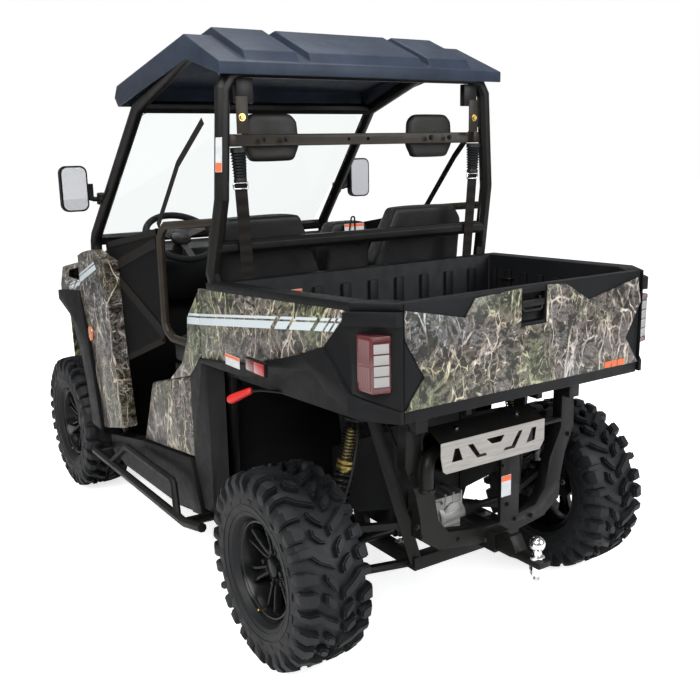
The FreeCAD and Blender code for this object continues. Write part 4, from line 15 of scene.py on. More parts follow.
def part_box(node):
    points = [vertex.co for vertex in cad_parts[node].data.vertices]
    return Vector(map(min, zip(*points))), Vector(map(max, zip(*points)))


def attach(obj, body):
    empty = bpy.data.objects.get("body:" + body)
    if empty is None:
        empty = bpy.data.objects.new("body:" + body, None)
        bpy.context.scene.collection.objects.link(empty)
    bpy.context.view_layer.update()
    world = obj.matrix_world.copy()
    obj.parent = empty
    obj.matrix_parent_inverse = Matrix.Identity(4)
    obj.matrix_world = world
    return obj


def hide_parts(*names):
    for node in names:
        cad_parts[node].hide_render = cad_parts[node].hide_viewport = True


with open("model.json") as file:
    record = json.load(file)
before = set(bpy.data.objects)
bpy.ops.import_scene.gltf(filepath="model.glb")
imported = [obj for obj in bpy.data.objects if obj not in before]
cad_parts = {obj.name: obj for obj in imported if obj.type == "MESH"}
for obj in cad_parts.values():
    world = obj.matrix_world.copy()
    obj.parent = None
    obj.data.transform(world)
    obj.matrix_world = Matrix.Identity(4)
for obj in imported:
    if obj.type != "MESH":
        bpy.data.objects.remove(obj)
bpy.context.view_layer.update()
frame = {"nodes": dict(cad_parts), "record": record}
NODES = frame["nodes"]
BODY_OF = {node: body for body, nodes in frame["record"]["behaviour"]["bodies"].items() for node in nodes}

bl_info = {
    "name": "Side-by-side utility vehicle",
    "version": (1, 0, 0),
    "blender": (4, 5, 0),
    "location": "View3D > Sidebar > Utility vehicle",
    "description": "Tyres, nets, seats, finishes and a studio stage for the packed vehicle",
    "category": "Object",
}

MERGE_DISTANCE = 0.00005
FULL_TURN = 2 * math.pi
SIDES = (1, -1)
WHEELS = ("rear_left", "rear_right", "front_left", "front_right")


# Sizes and colours that a user would change

class TyreSettings(bpy.types.PropertyGroup):
    """Tyre carcass and tread lugs."""

    pitches: bpy.props.IntProperty(
        name="Pitches around", description="Repeats of the tread pattern around the tyre",
        default=10, min=6, max=24)
    steps: bpy.props.IntProperty(
        name="Steps around", description="Steps of the carcass around the axle", default=100, min=24)


class RimSettings(bpy.types.PropertyGroup):
    """Wheel rims."""

    radius: bpy.props.FloatProperty(
        name="Rim radius", description="Radius of the rim's outer lip", default=0.163, unit="LENGTH")
    spoke_pairs: bpy.props.IntProperty(
        name="Spoke pairs", description="Pairs of spokes around the hub", default=6, min=3)
    bolt_circle: bpy.props.FloatProperty(
        name="Bolt circle", description="Radius of the wheel nuts' circle", default=0.055, unit="LENGTH")


class FabricSettings(bpy.types.PropertyGroup):
    """Belts and the straps of the side nets."""

    webbing_width: bpy.props.FloatProperty(
        name="Webbing width", description="Width of the belts' webbing", default=0.046, unit="LENGTH")


class ColourSettings(bpy.types.PropertyGroup):
    """Colours of the finishes."""

    roof: bpy.props.FloatVectorProperty(
        name="Roof", description="Moulded roof", subtype="COLOR", size=4,
        default=(0.020, 0.028, 0.045, 1.0))
    plastic: bpy.props.FloatVectorProperty(
        name="Black plastic", description="Moulded black panels", subtype="COLOR", size=4,
        default=(0.0036, 0.0039, 0.0046, 1.0))
    tube: bpy.props.FloatVectorProperty(
        name="Cage tube", description="Coated cage tubes", subtype="COLOR", size=4,
        default=(0.0060, 0.0056, 0.0052, 1.0))
    rubber: bpy.props.FloatVectorProperty(
        name="Rubber", description="Tyre rubber", subtype="COLOR", size=4,
        default=(0.0042, 0.0048, 0.0062, 1.0))
    lens_red: bpy.props.FloatVectorProperty(
        name="Red lens", description="Tail lamp lenses", subtype="COLOR", size=4,
        default=(0.085, 0.004, 0.005, 1.0))


class StageSettings(bpy.types.PropertyGroup):
    """Camera and floor."""

    camera_place: bpy.props.FloatVectorProperty(
        name="Camera place", description="Place of the camera", subtype="XYZ", unit="LENGTH",
        default=(-3.26218, 1.88764, 1.60530))
    yaw: bpy.props.FloatProperty(
        name="Yaw", description="Camera's turn about Z, from +X", default=-0.5858, subtype="ANGLE")
    pitch: bpy.props.FloatProperty(
        name="Pitch", description="Camera's tilt above the horizon", default=-0.2223, subtype="ANGLE")
    roll: bpy.props.FloatProperty(
        name="Roll", description="Camera's turn about its own axis", default=-0.0194, subtype="ANGLE")
    lens: bpy.props.FloatProperty(
        name="Lens", description="Focal length in millimetres", default=46.08)
    floor_size: bpy.props.FloatProperty(
        name="Floor size", description="Half the side of the floor", default=30.0, unit="LENGTH")
    floor_glow: bpy.props.FloatProperty(
        name="Floor glow", description="Light that the camera sees on the floor", default=0.74)


# Finishes

def node_in(tree, kind, sockets, **settings):
    """Adds a shader node to the tree with its settings and fills its sockets."""
    node = tree.nodes.new("ShaderNode" + kind)
    for name, value in settings.items():
        setattr(node, name, value)
    return filled(tree, node, sockets)


def filled(tree, node, sockets):
    """Sets each socket to its value, or links it where the value is another node's output."""
    for key, value in sockets.items():
        if isinstance(value, bpy.types.NodeSocket):
            tree.links.new(value, node.inputs[key])
        else:
            node.inputs[key].default_value = value
    return node


class Finish:
    """A material with its shader, its Object coordinates and short ways to add nodes."""

    def __init__(self, name):
        self.material = bpy.data.materials.new(name)
        self.material.use_nodes = True
        self.tree = self.material.node_tree
        self.place = self.tree.nodes.new("ShaderNodeTexCoord").outputs["Object"]

    def done(self, sockets):
        """Fills the sockets of the surface and gives back the material."""
        filled(self.tree, self.tree.nodes["Principled BSDF"], sockets)
        return self.material

    def node(self, kind, sockets, **settings):
        """Adds a shader node of a kind."""
        return node_in(self.tree, kind, sockets, **settings)

    def mapped(self, scale=(1, 1, 1), turn=(0, 0, 0), place=None):
        """The coordinates scaled and turned."""
        sockets = {"Scale": scale, "Rotation": turn, "Vector": place or self.place}
        return self.node("Mapping", sockets).outputs["Vector"]

    def noise(self, scale, detail=4.0, roughness=0.5, distortion=0.0, place=None):
        """Cloudy noise."""
        sockets = {"Scale": scale, "Detail": detail, "Roughness": roughness, "Distortion": distortion,
                   "Vector": place or self.place}
        return self.node("TexNoise", sockets).outputs["Fac"]

    def warp(self, scale, amount, place=None):
        """The coordinates moved about by a noise."""
        place = place or self.place
        colour = self.node("TexNoise", {"Scale": scale, "Vector": place}).outputs["Color"]
        return self.node("Mix", {0: amount, 4: place, 5: colour}, data_type="VECTOR").outputs[1]

    def cells(self, scale, feature="F1", place=None, output="Distance"):
        """Scattered cells."""
        sockets = {"Scale": scale, "Vector": place or self.place}
        return self.node("TexVoronoi", sockets, feature=feature).outputs[output]

    def waves(self, scale, distortion=0.0, direction="X"):
        """Bands along a direction."""
        sockets = {"Scale": scale, "Distortion": distortion, "Detail": 2.0, "Vector": self.place}
        return self.node("TexWave", sockets, bands_direction=direction).outputs["Fac"]

    def ramp(self, factor, stops, constant=False):
        """Colours by (place, colour) stops."""
        node = self.node("ValToRGB", {"Fac": factor})
        node.color_ramp.interpolation = "CONSTANT" if constant else "LINEAR"
        points = node.color_ramp.elements
        while len(points) < len(stops):
            points.new(0.5)
        for point, (position, colour) in zip(points, stops):
            point.position = position
            point.color = tuple(colour[:3]) + (1.0,)
        return node.outputs["Color"]

    def shades(self, factor, colour, *stops):
        """One colour, lighter or darker by (place, factor) stops."""
        return self.ramp(factor, [(position, shade(colour, share)) for position, share in stops])

    def span(self, factor, low, high, start=0.3, end=0.7):
        """The factor's range from start to end, stretched to low and high."""
        sockets = {"Value": factor, "From Min": start, "From Max": end, "To Min": low, "To Max": high}
        return self.node("MapRange", sockets).outputs["Result"]

    def mix(self, factor, first, second):
        """Two colours mixed."""
        return self.node("Mix", {0: factor, 6: first, 7: second}, data_type="RGBA").outputs[2]

    def math(self, operation, *values):
        """An operation on numbers."""
        return self.node("Math", dict(enumerate(values)), operation=operation).outputs[0]

    def line(self, along, up, shift):
        """X times along, plus Z times up, plus a shift in metres."""
        node = self.node("SeparateXYZ", {0: self.place})
        flat = self.math("MULTIPLY_ADD", node.outputs[0], along, shift)
        return self.math("MULTIPLY_ADD", node.outputs[2], up, flat)

    def bump(self, height, distance, strength=1.0, normal=None):
        """Relief, over another relief if there is one."""
        sockets = {"Strength": strength, "Distance": distance, "Height": height}
        if normal is not None:
            sockets["Normal"] = normal
        return self.node("Bump", sockets).outputs["Normal"]


def shade(colour, factor):
    """The colour made lighter or darker."""
    return tuple(min(channel * factor, 1.0) for channel in colour[:3]) + (1.0,)


def plastic_finish(name, colour, roughness, grain):
    """Moulded plastic: cloudy colour, dusty patches in the gloss and a fine leather grain."""
    finish = Finish(name)
    fine = finish.bump(finish.cells(620.0), grain)
    return finish.done({
        "Base Color": finish.shades(finish.noise(7.0, 6.0, 0.6), colour, (0.3, 0.78), (0.72, 1.35)),
        "Roughness": finish.span(finish.noise(23.0, 8.0, 0.65), roughness - 0.07, roughness + 0.09),
        "Specular IOR Level": 0.15,
        "Normal": finish.bump(finish.noise(95.0, 5.0), grain * 0.8, 0.6, fine)})


def coated_finish(name, colour, roughness):
    """Powder-coated steel with a faint orange peel."""
    finish = Finish(name)
    return finish.done({
        "Base Color": finish.shades(finish.noise(11.0, 5.0, 0.6), colour, (0.3, 0.8), (0.7, 1.4)),
        "Roughness": finish.span(finish.noise(31.0, 6.0, 0.6), roughness - 0.06, roughness + 0.1),
        "Specular IOR Level": 0.17, "Coat Weight": 0.04, "Coat Roughness": 0.25,
        "Normal": finish.bump(finish.noise(420.0, 3.0), 0.00012)})


def metal_finish(name, colour, roughness, scratch=0.00004, brushed=(1, 1, 1)):
    """Bare metal, brushed along one direction where its scales differ."""
    finish = Finish(name)
    lines = finish.noise(180.0, 6.0, 0.7, place=finish.mapped(brushed))
    return finish.done({
        "Metallic": 1.0,
        "Base Color": finish.shades(lines, colour, (0.3, 0.78), (0.7, 1.15)),
        "Roughness": finish.span(finish.noise(14.0, 7.0, 0.7), roughness - 0.08, roughness + 0.12),
        "Normal": finish.bump(lines, scratch)})


def rubber_finish(name, colour):
    """Dark rubber, dusty in patches."""
    finish = Finish(name)
    dust = finish.noise(9.0, 9.0, 0.7)
    fine = finish.bump(finish.noise(260.0, 4.0), 0.0003)
    return finish.done({
        "Base Color": finish.shades(dust, colour, (0.35, 0.8), (0.62, 1.3), (0.8, 2.0)),
        "Roughness": finish.span(dust, 0.46, 0.72, 0.3, 0.75),
        "Specular IOR Level": 0.3,
        "Normal": finish.bump(finish.noise(40.0, 3.0), 0.0006, 0.5, fine)})


# Tones of the woodland print by (place, colour): the ground, the leaves, the bark and a tint over all
GROUND = ((0.38, (0.003, 0.003, 0.003)), (0.47, (0.014, 0.012, 0.010)), (0.53, (0.17, 0.155, 0.13)),
          (0.57, (0.012, 0.011, 0.009)), (0.66, (0.34, 0.33, 0.30)))
LEAVES = ((0.0, (0.020, 0.025, 0.009)), (0.30, (0.050, 0.034, 0.020)), (0.46, (0.008, 0.010, 0.005)),
          (0.62, (0.085, 0.070, 0.050)), (0.80, (0.004, 0.004, 0.0035)))
BARK = ((0.34, (0.06, 0.05, 0.035)), (0.50, (0.36, 0.33, 0.25)), (0.66, (0.70, 0.67, 0.56)))
TINT = ((0.36, (0.86, 1.0, 0.74)), (0.48, (1.0, 0.97, 0.90)), (0.60, (0.98, 0.92, 1.05)),
        (0.72, (0.84, 0.93, 1.12)))
# Layers of leaves: scale, turn, strength
LEAF_LAYERS = ((34.0, (0.4, 0.8, 0.2), 1.0), (52.0, (1.1, 0.2, 0.7), 0.8))
# Layers of branches: scale, turn, stretch along Z, half width in cells, strength
BRANCHES = (
    (7.0, (0.5, 0.35, 0.3), 0.34, 0.013, 1.0), (12.0, (0.2, -0.75, 0.1), 0.36, 0.016, 0.95),
    (20.0, (0.9, 1.15, 0.4), 0.4, 0.020, 0.85), (38.0, (0.3, 0.4, 1.2), 0.6, 0.030, 0.7),
)
STRIPE_COLOUR = (0.46, 0.52, 0.55, 1.0)
WHITE = (1.0, 1.0, 1.0)
BLACK = (0.0, 0.0, 0.0)
# Across the pair of stripes: the wide one below, a gap, the thin one above
STRIPE_PAIR = ((0.0, BLACK), (0.12, WHITE), (0.52, BLACK), (0.62, WHITE), (0.76, BLACK))
STRIPE_REACH = 0.03
SLANT = 0.9
SIDE_RANGE = (-0.75, 0.35)
SIDE_EDGES = ((0.000, 0.822), (-0.919, 1.096), (-0.943, 1.099), (-1.002, 1.105), (-1.016, 1.107),
              (-1.125, 1.119), (-1.141, 1.121), (-1.182, 1.126), (-1.190, 1.127), (-1.208, 1.129),
              (-1.217, 1.129), (-1.232, 1.131))
FENDER_RANGE = (-0.55, 0.45)
FENDER_EDGES = (-0.54, -0.16, -0.14, -0.09, -0.075, -0.045, -0.035, -0.015)


def woodland_finish(name, stripe=None):
    """A woodland print: leaves, bark and a tangle of pale branches over a dark ground."""
    finish = Finish(name)
    bent = finish.warp(4.0, 0.10)
    fine = finish.warp(22.0, 0.022, bent)
    colour = finish.ramp(finish.noise(30.0, 9.0, 0.74, place=bent), GROUND)
    for scale, turn, tone in LEAF_LAYERS:
        spot = finish.mapped((1.0, 1.0, 1.7), turn, fine)
        picked = finish.node("SeparateColor", {0: finish.cells(scale, place=spot, output="Color")}).outputs[0]
        edge = finish.span(finish.cells(scale, place=spot), tone, 0.0, 0.28, 0.44)
        colour = finish.mix(edge, colour, finish.ramp(picked, LEAVES, True))
    for scale, turn, stretch, width, tone in BRANCHES:
        spot = finish.mapped((1.0, 1.0, stretch), turn, fine)
        mask = finish.span(finish.cells(scale, "DISTANCE_TO_EDGE", spot), 1.0, 0.0, width, width * 1.7)
        broken = finish.span(finish.noise(scale * 0.9, 2.0, 0.5, 0.0, spot), 0.0, tone, 0.50, 0.58)
        bark = finish.ramp(finish.noise(90.0, 6.0, 0.7, place=spot), BARK)
        colour = finish.mix(finish.math("MULTIPLY", mask, broken), colour, bark)
    tint = finish.ramp(finish.noise(3.4, 3.0, 0.5, 0.4), TINT)
    colour = finish.node("Mix", {0: 1.0, 6: colour, 7: tint}, data_type="RGBA",
                         blend_type="MULTIPLY").outputs[2]
    if stripe:
        colour = finish.mix(stripe(finish), colour, STRIPE_COLOUR)
    return finish.done({
        "Base Color": colour,
        "Roughness": finish.span(finish.noise(30.0, 6.0), 0.30, 0.46),
        "Specular IOR Level": 0.4, "Coat Weight": 0.15, "Coat Roughness": 0.2,
        "Normal": finish.bump(finish.noise(400.0, 3.0), 0.00006)})


def stripe_mask(finish, across, along, edges, limits):
    """White on the pair of stripes between each pair of slanted edges."""
    low, high = limits
    stops = [(0.0, BLACK)]
    for index, edge in enumerate(edges):
        stops.append(((edge - low) / (high - low), BLACK if index % 2 else WHITE))
    pair = finish.ramp(finish.span(across, 0.0, 1.0, -STRIPE_REACH, STRIPE_REACH), STRIPE_PAIR, True)
    dashes = finish.ramp(finish.span(along, 0.0, 1.0, low, high), stops, True)
    return finish.math("MULTIPLY", pair, dashes)


def side_stripe(finish):
    """The stripes of the bed side, which end in slanted dashes towards the rear."""
    edges = [-x - SLANT * z for x, z in SIDE_EDGES]
    return stripe_mask(finish, finish.line(0.115, 1.0, -0.992), finish.line(-1.0, -SLANT, 0.0), edges,
                       SIDE_RANGE)


def fender_stripe(finish):
    """The smaller stripes on the fender's top."""
    return stripe_mask(finish, finish.line(0.345, 1.0, -1.309), finish.line(1.0, -SLANT, 0.0),
                       FENDER_EDGES, FENDER_RANGE)


def fabric_finish(name, colour, thread):
    """Woven cloth: two crossed sets of threads."""
    finish = Finish(name)
    both = finish.mix(0.5, finish.waves(thread, 0.6, "X"), finish.waves(thread, 0.6, "Z"))
    return finish.done({
        "Base Color": finish.shades(both, colour, (0.2, 0.6), (0.8, 1.5)),
        "Roughness": 0.85, "Specular IOR Level": 0.12, "Normal": finish.bump(both, 0.0004)})


def vinyl_finish(name, colour):
    """Seat vinyl with a leather grain and soft creases."""
    finish = Finish(name)
    grain = finish.bump(finish.cells(340.0), 0.0005)
    return finish.done({
        "Base Color": finish.shades(finish.noise(6.0, 6.0, 0.6), colour, (0.3, 0.8), (0.75, 1.5)),
        "Roughness": finish.span(finish.noise(18.0, 5.0), 0.38, 0.55),
        "Specular IOR Level": 0.3,
        "Normal": finish.bump(finish.noise(14.0, 4.0, 0.5, 0.8), 0.004, 0.35, grain)})


def lens_finish(name, colour, ribs=420.0):
    """Tinted lens plastic with fine vertical ribs behind its surface."""
    finish = Finish(name)
    waves = finish.waves(ribs, 0.0, "Y")
    return finish.done({
        "Base Color": finish.shades(waves, colour, (0.2, 0.7), (0.8, 1.15)),
        "Roughness": 0.12, "Coat Weight": 1.0, "Coat Roughness": 0.04, "Normal": finish.bump(waves, 0.0004)})


def clear_finish(name):
    """Clear hard-coated sheet with a breath of haze."""
    finish = Finish(name)
    return finish.done({
        "Base Color": (0.93, 0.96, 0.955, 1.0), "Transmission Weight": 1.0, "IOR": 1.12,
        "Roughness": finish.span(finish.noise(4.0, 5.0), 0.02, 0.07)})


def mirror_finish(name):
    """Silvered mirror glass, very slightly dusty; partly real metal, partly a pale diffuse grey that is a
    painted reflection of the bright surroundings.
    """
    finish = Finish(name)
    return finish.done({
        # Metallic below one leaves a pale diffuse grey: a painted reflection of the bright surroundings.
        "Metallic": 0.45, "Base Color": (0.74, 0.75, 0.79, 1.0),
        "Roughness": finish.span(finish.noise(12.0, 6.0), 0.01, 0.05, 0.4, 0.8)})


def painted_finish(name, colour, roughness=0.4):
    """Glossy paint or a printed label, faintly dirty."""
    finish = Finish(name)
    dirt = finish.noise(40.0, 6.0, 0.65)
    return finish.done({
        "Base Color": finish.shades(dirt, colour, (0.3, 0.8), (0.65, 1.0)),
        "Roughness": finish.span(dirt, roughness + 0.15, roughness - 0.05),
        "Normal": finish.bump(finish.noise(300.0, 3.0), 0.00005)})


MATERIALS = {}


def make_materials(colours):
    """All finishes by name, made once."""
    for make, name, *values in (
            (plastic_finish, "roof_slate", colours.roof, 0.42, 0.00022),
            (plastic_finish, "black_plastic", colours.plastic, 0.48, 0.00022),
            (plastic_finish, "soft_black", shade(colours.plastic, 1.3), 0.66, 0.0003),
            (coated_finish, "frame_black", shade(colours.tube, 0.9), 0.42),
            (coated_finish, "cage_black", colours.tube, 0.36),
            (coated_finish, "bronze_tube", (0.019, 0.0145, 0.0105), 0.4),
            (coated_finish, "rim_black", (0.0040, 0.0043, 0.0048), 0.2),
            (coated_finish, "spring_black", (0.008, 0.008, 0.008), 0.3),
            (coated_finish, "engine_black", (0.010, 0.010, 0.011), 0.5),
            (woodland_finish, "camouflage"),
            (woodland_finish, "camouflage_side", side_stripe),
            (woodland_finish, "camouflage_fender", fender_stripe),
            (rubber_finish, "tyre_rubber", colours.rubber),
            (metal_finish, "cast_alloy", (0.40, 0.40, 0.39), 0.42, 0.0004),
            (metal_finish, "bare_steel", (0.33, 0.315, 0.30), 0.34, 0.00006, (1, 0.05, 1)),
            (metal_finish, "bright_chrome", (0.82, 0.82, 0.82), 0.12, 0.00001),
            (metal_finish, "gold_zinc", (0.62, 0.45, 0.16), 0.3),
            (metal_finish, "spring_gold", (0.42, 0.33, 0.12), 0.38),
            (fabric_finish, "netting", (0.0028, 0.0029, 0.0032), 300.0),
            (fabric_finish, "webbing", (0.012, 0.0105, 0.0095), 260.0),
            (vinyl_finish, "seat_cover", (0.0080, 0.0080, 0.0085)),
            (vinyl_finish, "rest_cover", (0.0085, 0.0072, 0.0060)),
            (lens_finish, "lamp_red", colours.lens_red),
            (lens_finish, "lamp_clear", (0.34, 0.335, 0.33)),
            (lens_finish, "reflector_red", (0.42, 0.006, 0.008)),
            (lens_finish, "reflector_amber", (0.50, 0.12, 0.02), 190.0),
            (painted_finish, "grip_red", (0.55, 0.012, 0.010), 0.35),
            (painted_finish, "label_white", (0.50, 0.52, 0.53)),
            (painted_finish, "label_orange", (0.72, 0.12, 0.03)),
            (clear_finish, "clear_sheet"),
            (mirror_finish, "mirror_glass")):
        MATERIALS[name] = make(name, *values)


# Mesh helpers


def placed(name, data):
    """A new object in the scene."""
    made = bpy.data.objects.new(name, data)
    bpy.context.scene.collection.objects.link(made)
    return made


def settle(name, bm, material, smooth=38.0, nodes=(), body="chassis", slot=None):
    """Turns a bmesh into a piece: merged, smooth below the angle, riding on its body."""
    bmesh.ops.remove_doubles(bm, verts=bm.verts, dist=MERGE_DISTANCE)
    mesh = bpy.data.meshes.new(name)
    bm.to_mesh(mesh)
    bm.free()
    mesh.materials.append(MATERIALS[material])
    mesh.shade_smooth()
    mesh.set_sharp_from_angle(angle=math.radians(smooth))
    piece = placed(name, mesh)
    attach(piece, body)
    if nodes:
        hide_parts(*nodes)
    return piece


def outward(bm):
    """The bmesh merged, with its faces turned outwards."""
    bmesh.ops.remove_doubles(bm, verts=bm.verts, dist=MERGE_DISTANCE)
    bmesh.ops.recalc_face_normals(bm, faces=bm.faces)
    return bm


def node_copy(node):
    """The node's mesh as a bmesh: merged, with flat areas joined into single faces."""
    bm = bmesh.new()
    bm.from_mesh(NODES[node].data)
    bmesh.ops.remove_doubles(bm, verts=bm.verts, dist=MERGE_DISTANCE)
    bmesh.ops.dissolve_limit(bm, angle_limit=math.radians(0.6), verts=bm.verts, edges=bm.edges)
    return bm


def bevel(bm, edges, width, segments, clamp=False):
    """Rounds the edges."""
    bmesh.ops.bevel(bm, geom=edges, offset=width, offset_type="OFFSET", segments=segments, profile=0.5,
                    affect="EDGES", clamp_overlap=clamp, material=-1)


def soften(bm, width, segments=2, angle=30.0, least=4.0):
    """Bevels the edges that are sharper than the angle and long enough for the width."""
    bevel(bm, [edge for edge in bm.edges if edge.is_manifold
               and edge.calc_face_angle(0.0) > math.radians(angle)
               and edge.calc_length() > width * least], width, segments, True)


def dress(node, material, width):
    """A copy of a node with softened edges and its own finish."""
    bm = node_copy(node)
    if width:
        soften(bm, width)
    settle(node + "_skin", bm, material, nodes=[node], body=BODY_OF[node])


def verts_of(geometry):
    """The verts of what an operator made."""
    return [item for item in geometry if isinstance(item, bmesh.types.BMVert)]


def edges_of(geometry):
    """The edges of what an operator made."""
    return [item for item in geometry if isinstance(item, bmesh.types.BMEdge)]


def faces_of(geometry):
    """The faces of what an operator made."""
    return [item for item in geometry if isinstance(item, bmesh.types.BMFace)]


def everything(bm):
    """All verts, edges and faces, as operators take them."""
    return bm.verts[:] + bm.edges[:] + bm.faces[:]


def repeat_around(bm, count):
    """Copies everything around the axle, evenly spaced."""
    geometry = everything(bm)
    for index in range(1, count):
        made = bmesh.ops.duplicate(bm, geom=geometry)["geom"]
        bmesh.ops.rotate(bm, verts=verts_of(made), cent=(0, 0, 0),
                         matrix=Matrix.Rotation(FULL_TURN * index / count, 3, (0, 1, 0)))


def mirrored(bm):
    """Adds the mirror image across the plane Y = 0 and gives back its verts."""
    made = bmesh.ops.duplicate(bm, geom=everything(bm))["geom"]
    bmesh.ops.scale(bm, verts=verts_of(made), vec=(1, -1, 1))
    bmesh.ops.reverse_faces(bm, faces=faces_of(made))
    return verts_of(made)


def flipped(bm):
    """The bmesh as its own mirror image across the plane Y = 0."""
    bmesh.ops.scale(bm, verts=bm.verts, vec=(1, -1, 1))
    bmesh.ops.reverse_faces(bm, faces=bm.faces)


def spin(bm, verts, edges, axis, steps):
    """Turns a profile a full circle about the axis."""
    bmesh.ops.spin(bm, geom=verts + edges, axis=axis, cent=(0, 0, 0), steps=steps, angle=FULL_TURN,
                   use_merge=True, use_duplicate=False)


def spun(profile, steps):
    """A closed profile of (Y, radius) turned about the axle."""
    bm = bmesh.new()
    verts = [bm.verts.new((0.0, y, z)) for y, z in profile]
    spin(bm, verts, [bm.edges.new((verts[index - 1], vert)) for index, vert in enumerate(verts)],
         (0, 1, 0), steps)
    bmesh.ops.recalc_face_normals(bm, faces=bm.faces)
    return bm


def add_mesh(bm, other):
    """Adds another bmesh to this one and frees it."""
    mesh = bpy.data.meshes.new("part")
    other.to_mesh(mesh)
    other.free()
    bm.from_mesh(mesh)
    bpy.data.meshes.remove(mesh)


def moved_in(bm, verts, place=(0, 0, 0), turn=None, scale=None):
    """Scales, turns and moves new verts."""
    if scale:
        bmesh.ops.scale(bm, verts=verts, vec=scale)
    if turn is not None:
        bmesh.ops.rotate(bm, verts=verts, cent=(0, 0, 0), matrix=turn)
    bmesh.ops.translate(bm, verts=verts, vec=place)
    return verts


def box(bm, first, second):
    """A box between two opposite corners."""
    low, high = Vector(map(min, first, second)), Vector(map(max, first, second))
    verts = bmesh.ops.create_cube(bm, size=1.0)["verts"]
    return moved_in(bm, verts, (low + high) / 2, None, high - low)


def rod(bm, start, end, radius, sides=16, end_radius=None):
    """A round rod or a cone between two points."""
    start, end = Vector(start), Vector(end)
    made = bmesh.ops.create_cone(bm, cap_ends=True, segments=sides, radius1=radius,
                                 radius2=radius if end_radius is None else end_radius,
                                 depth=(end - start).length)
    turn = (end - start).to_track_quat("Z", "Y").to_matrix()
    moved_in(bm, made["verts"], (start + end) / 2, turn)


def bolt(bm, place, direction, size):
    """A hexagon head on a washer, standing out along the direction."""
    direction = Vector(direction).normalized()
    place = Vector(place)
    rod(bm, place - direction * size * 0.3, place + direction * size * 0.22, size * 1.05, 16)
    rod(bm, place, place + direction * size * 0.85, size * 0.72, 6, size * 0.66)


def rounded(points, radius, steps=4):
    """The points with their inner corners rounded."""
    points = [Vector(point) for point in points]
    line = [points[0]]
    for before, corner, after in zip(points, points[1:], points[2:]):
        reach = min(radius, (before - corner).length * 0.45, (after - corner).length * 0.45)
        start = corner + (before - corner).normalized() * reach
        end = corner + (after - corner).normalized() * reach
        for step in range(steps + 1):
            share = step / steps
            line.append(start.lerp(corner, share).lerp(corner.lerp(end, share), share))
    return line + [points[-1]]


def curve_mesh(bm, curve, lines, smooth=False, closed=True):
    """Adds the mesh of a curve along the lines to the bmesh."""
    for line in lines:
        spline = curve.splines.new("NURBS" if smooth else "POLY")
        spline.points.add(len(line) - 1)
        for point, place in zip(spline.points, line):
            point.co = (*place, 1.0)
        spline.use_cyclic_u = closed
        if smooth:
            spline.order_u = 4
            spline.use_endpoint_u = not closed
            spline.resolution_u = 5
    holder = bpy.data.objects.new("line", curve)
    mesh = bpy.data.meshes.new_from_object(holder)
    bm.from_mesh(mesh)
    bpy.data.objects.remove(holder)
    bpy.data.curves.remove(curve)
    bpy.data.meshes.remove(mesh)


def tube(bm, points, radius, sides=10, closed=False, smooth=False):
    """A round tube along the points, as straight runs or as one smooth curve."""
    curve = bpy.data.curves.new("line", "CURVE")
    curve.dimensions = "3D"
    curve.bevel_depth = radius
    curve.bevel_resolution = (sides - 4) // 2
    curve.use_fill_caps = True
    curve_mesh(bm, curve, [points], smooth, closed)


def cut_sheet(bm, lines, thickness):
    """A flat sheet in X and Y from its outline and its openings, thickened along Z."""
    curve = bpy.data.curves.new("sheet", "CURVE")
    curve.dimensions = "2D"
    curve.fill_mode = "BOTH"
    curve.extrude = thickness / 2
    curve_mesh(bm, curve, [[(x, y, 0.0) for x, y in line] for line in lines])


def ribbon(bm, points, across, thickness):
    """A flat strap along the points; across is its width as a vector."""
    points = [Vector(point) for point in points]
    across = Vector(across)
    edge = bm.edges.new([bm.verts.new(points[0] - across / 2), bm.verts.new(points[0] + across / 2)])
    faces = []
    for start, end in zip(points, points[1:]):
        made = bmesh.ops.extrude_edge_only(bm, edges=[edge])["geom"]
        bmesh.ops.translate(bm, verts=verts_of(made), vec=end - start)
        edge = edges_of(made)[0]
        faces += faces_of(made)
    bmesh.ops.solidify(bm, geom=faces, thickness=thickness)


def plate(bm, outline, thickness, inset=0.0):
    """A flat plate from its outline, thickened away from its face, with a raised middle."""
    face = bm.faces.new([bm.verts.new(point) for point in outline])
    face.normal_update()
    out = face.normal.copy()
    top = bmesh.ops.extrude_face_region(bm, geom=[face])["geom"]
    bmesh.ops.translate(bm, verts=verts_of(top), vec=out * thickness)
    if inset:
        bmesh.ops.inset_region(bm, faces=faces_of(top), thickness=inset, depth=-thickness * 0.3,
                               use_even_offset=True)


def lathe(bm, profile, start, direction, steps=24):
    """A profile of (radius, height) turned about an axis that leaves the start in a direction."""
    own = bmesh.new()
    verts = [own.verts.new((0.0, radius, height)) for radius, height in profile]
    spin(own, verts, [own.edges.new(pair) for pair in zip(verts, verts[1:])], (0, 0, 1), steps)
    outward(own)
    moved_in(own, own.verts, start, Vector(direction).to_track_quat("Z", "Y").to_matrix())
    add_mesh(bm, own)


def boot(bm, start, end, wide, narrow, folds):
    """A corrugated rubber boot from its wide end to its narrow end."""
    start, end = Vector(start), Vector(end)
    length = (end - start).length
    profile = [(0.0, 0.0), (wide, 0.0), (wide, length * 0.1)]
    for fold in range(folds):
        share = 0.12 + 0.78 * fold / folds
        radius = wide + (narrow - wide) * fold / folds
        profile += [(radius * 1.04, length * (share + 0.02)),
                    (radius * 0.80, length * (share + 0.39 / folds))]
    profile += [(narrow, length * 0.92), (narrow, length), (0.0, length)]
    lathe(bm, profile, start, end - start, 28)


LABELS = []
LABEL_THICKNESS = 0.0008
BAND_THICKNESS = 0.0014
BAND_SHARE = 0.26


def label(body, centre, along, up, width, height, band=1):
    """Notes a blank label: a white plate with an orange band, at the top if band is 1, else below."""
    LABELS.append((body, Vector(centre), Vector(along).normalized(), Vector(up).normalized(), width,
                   height, band))


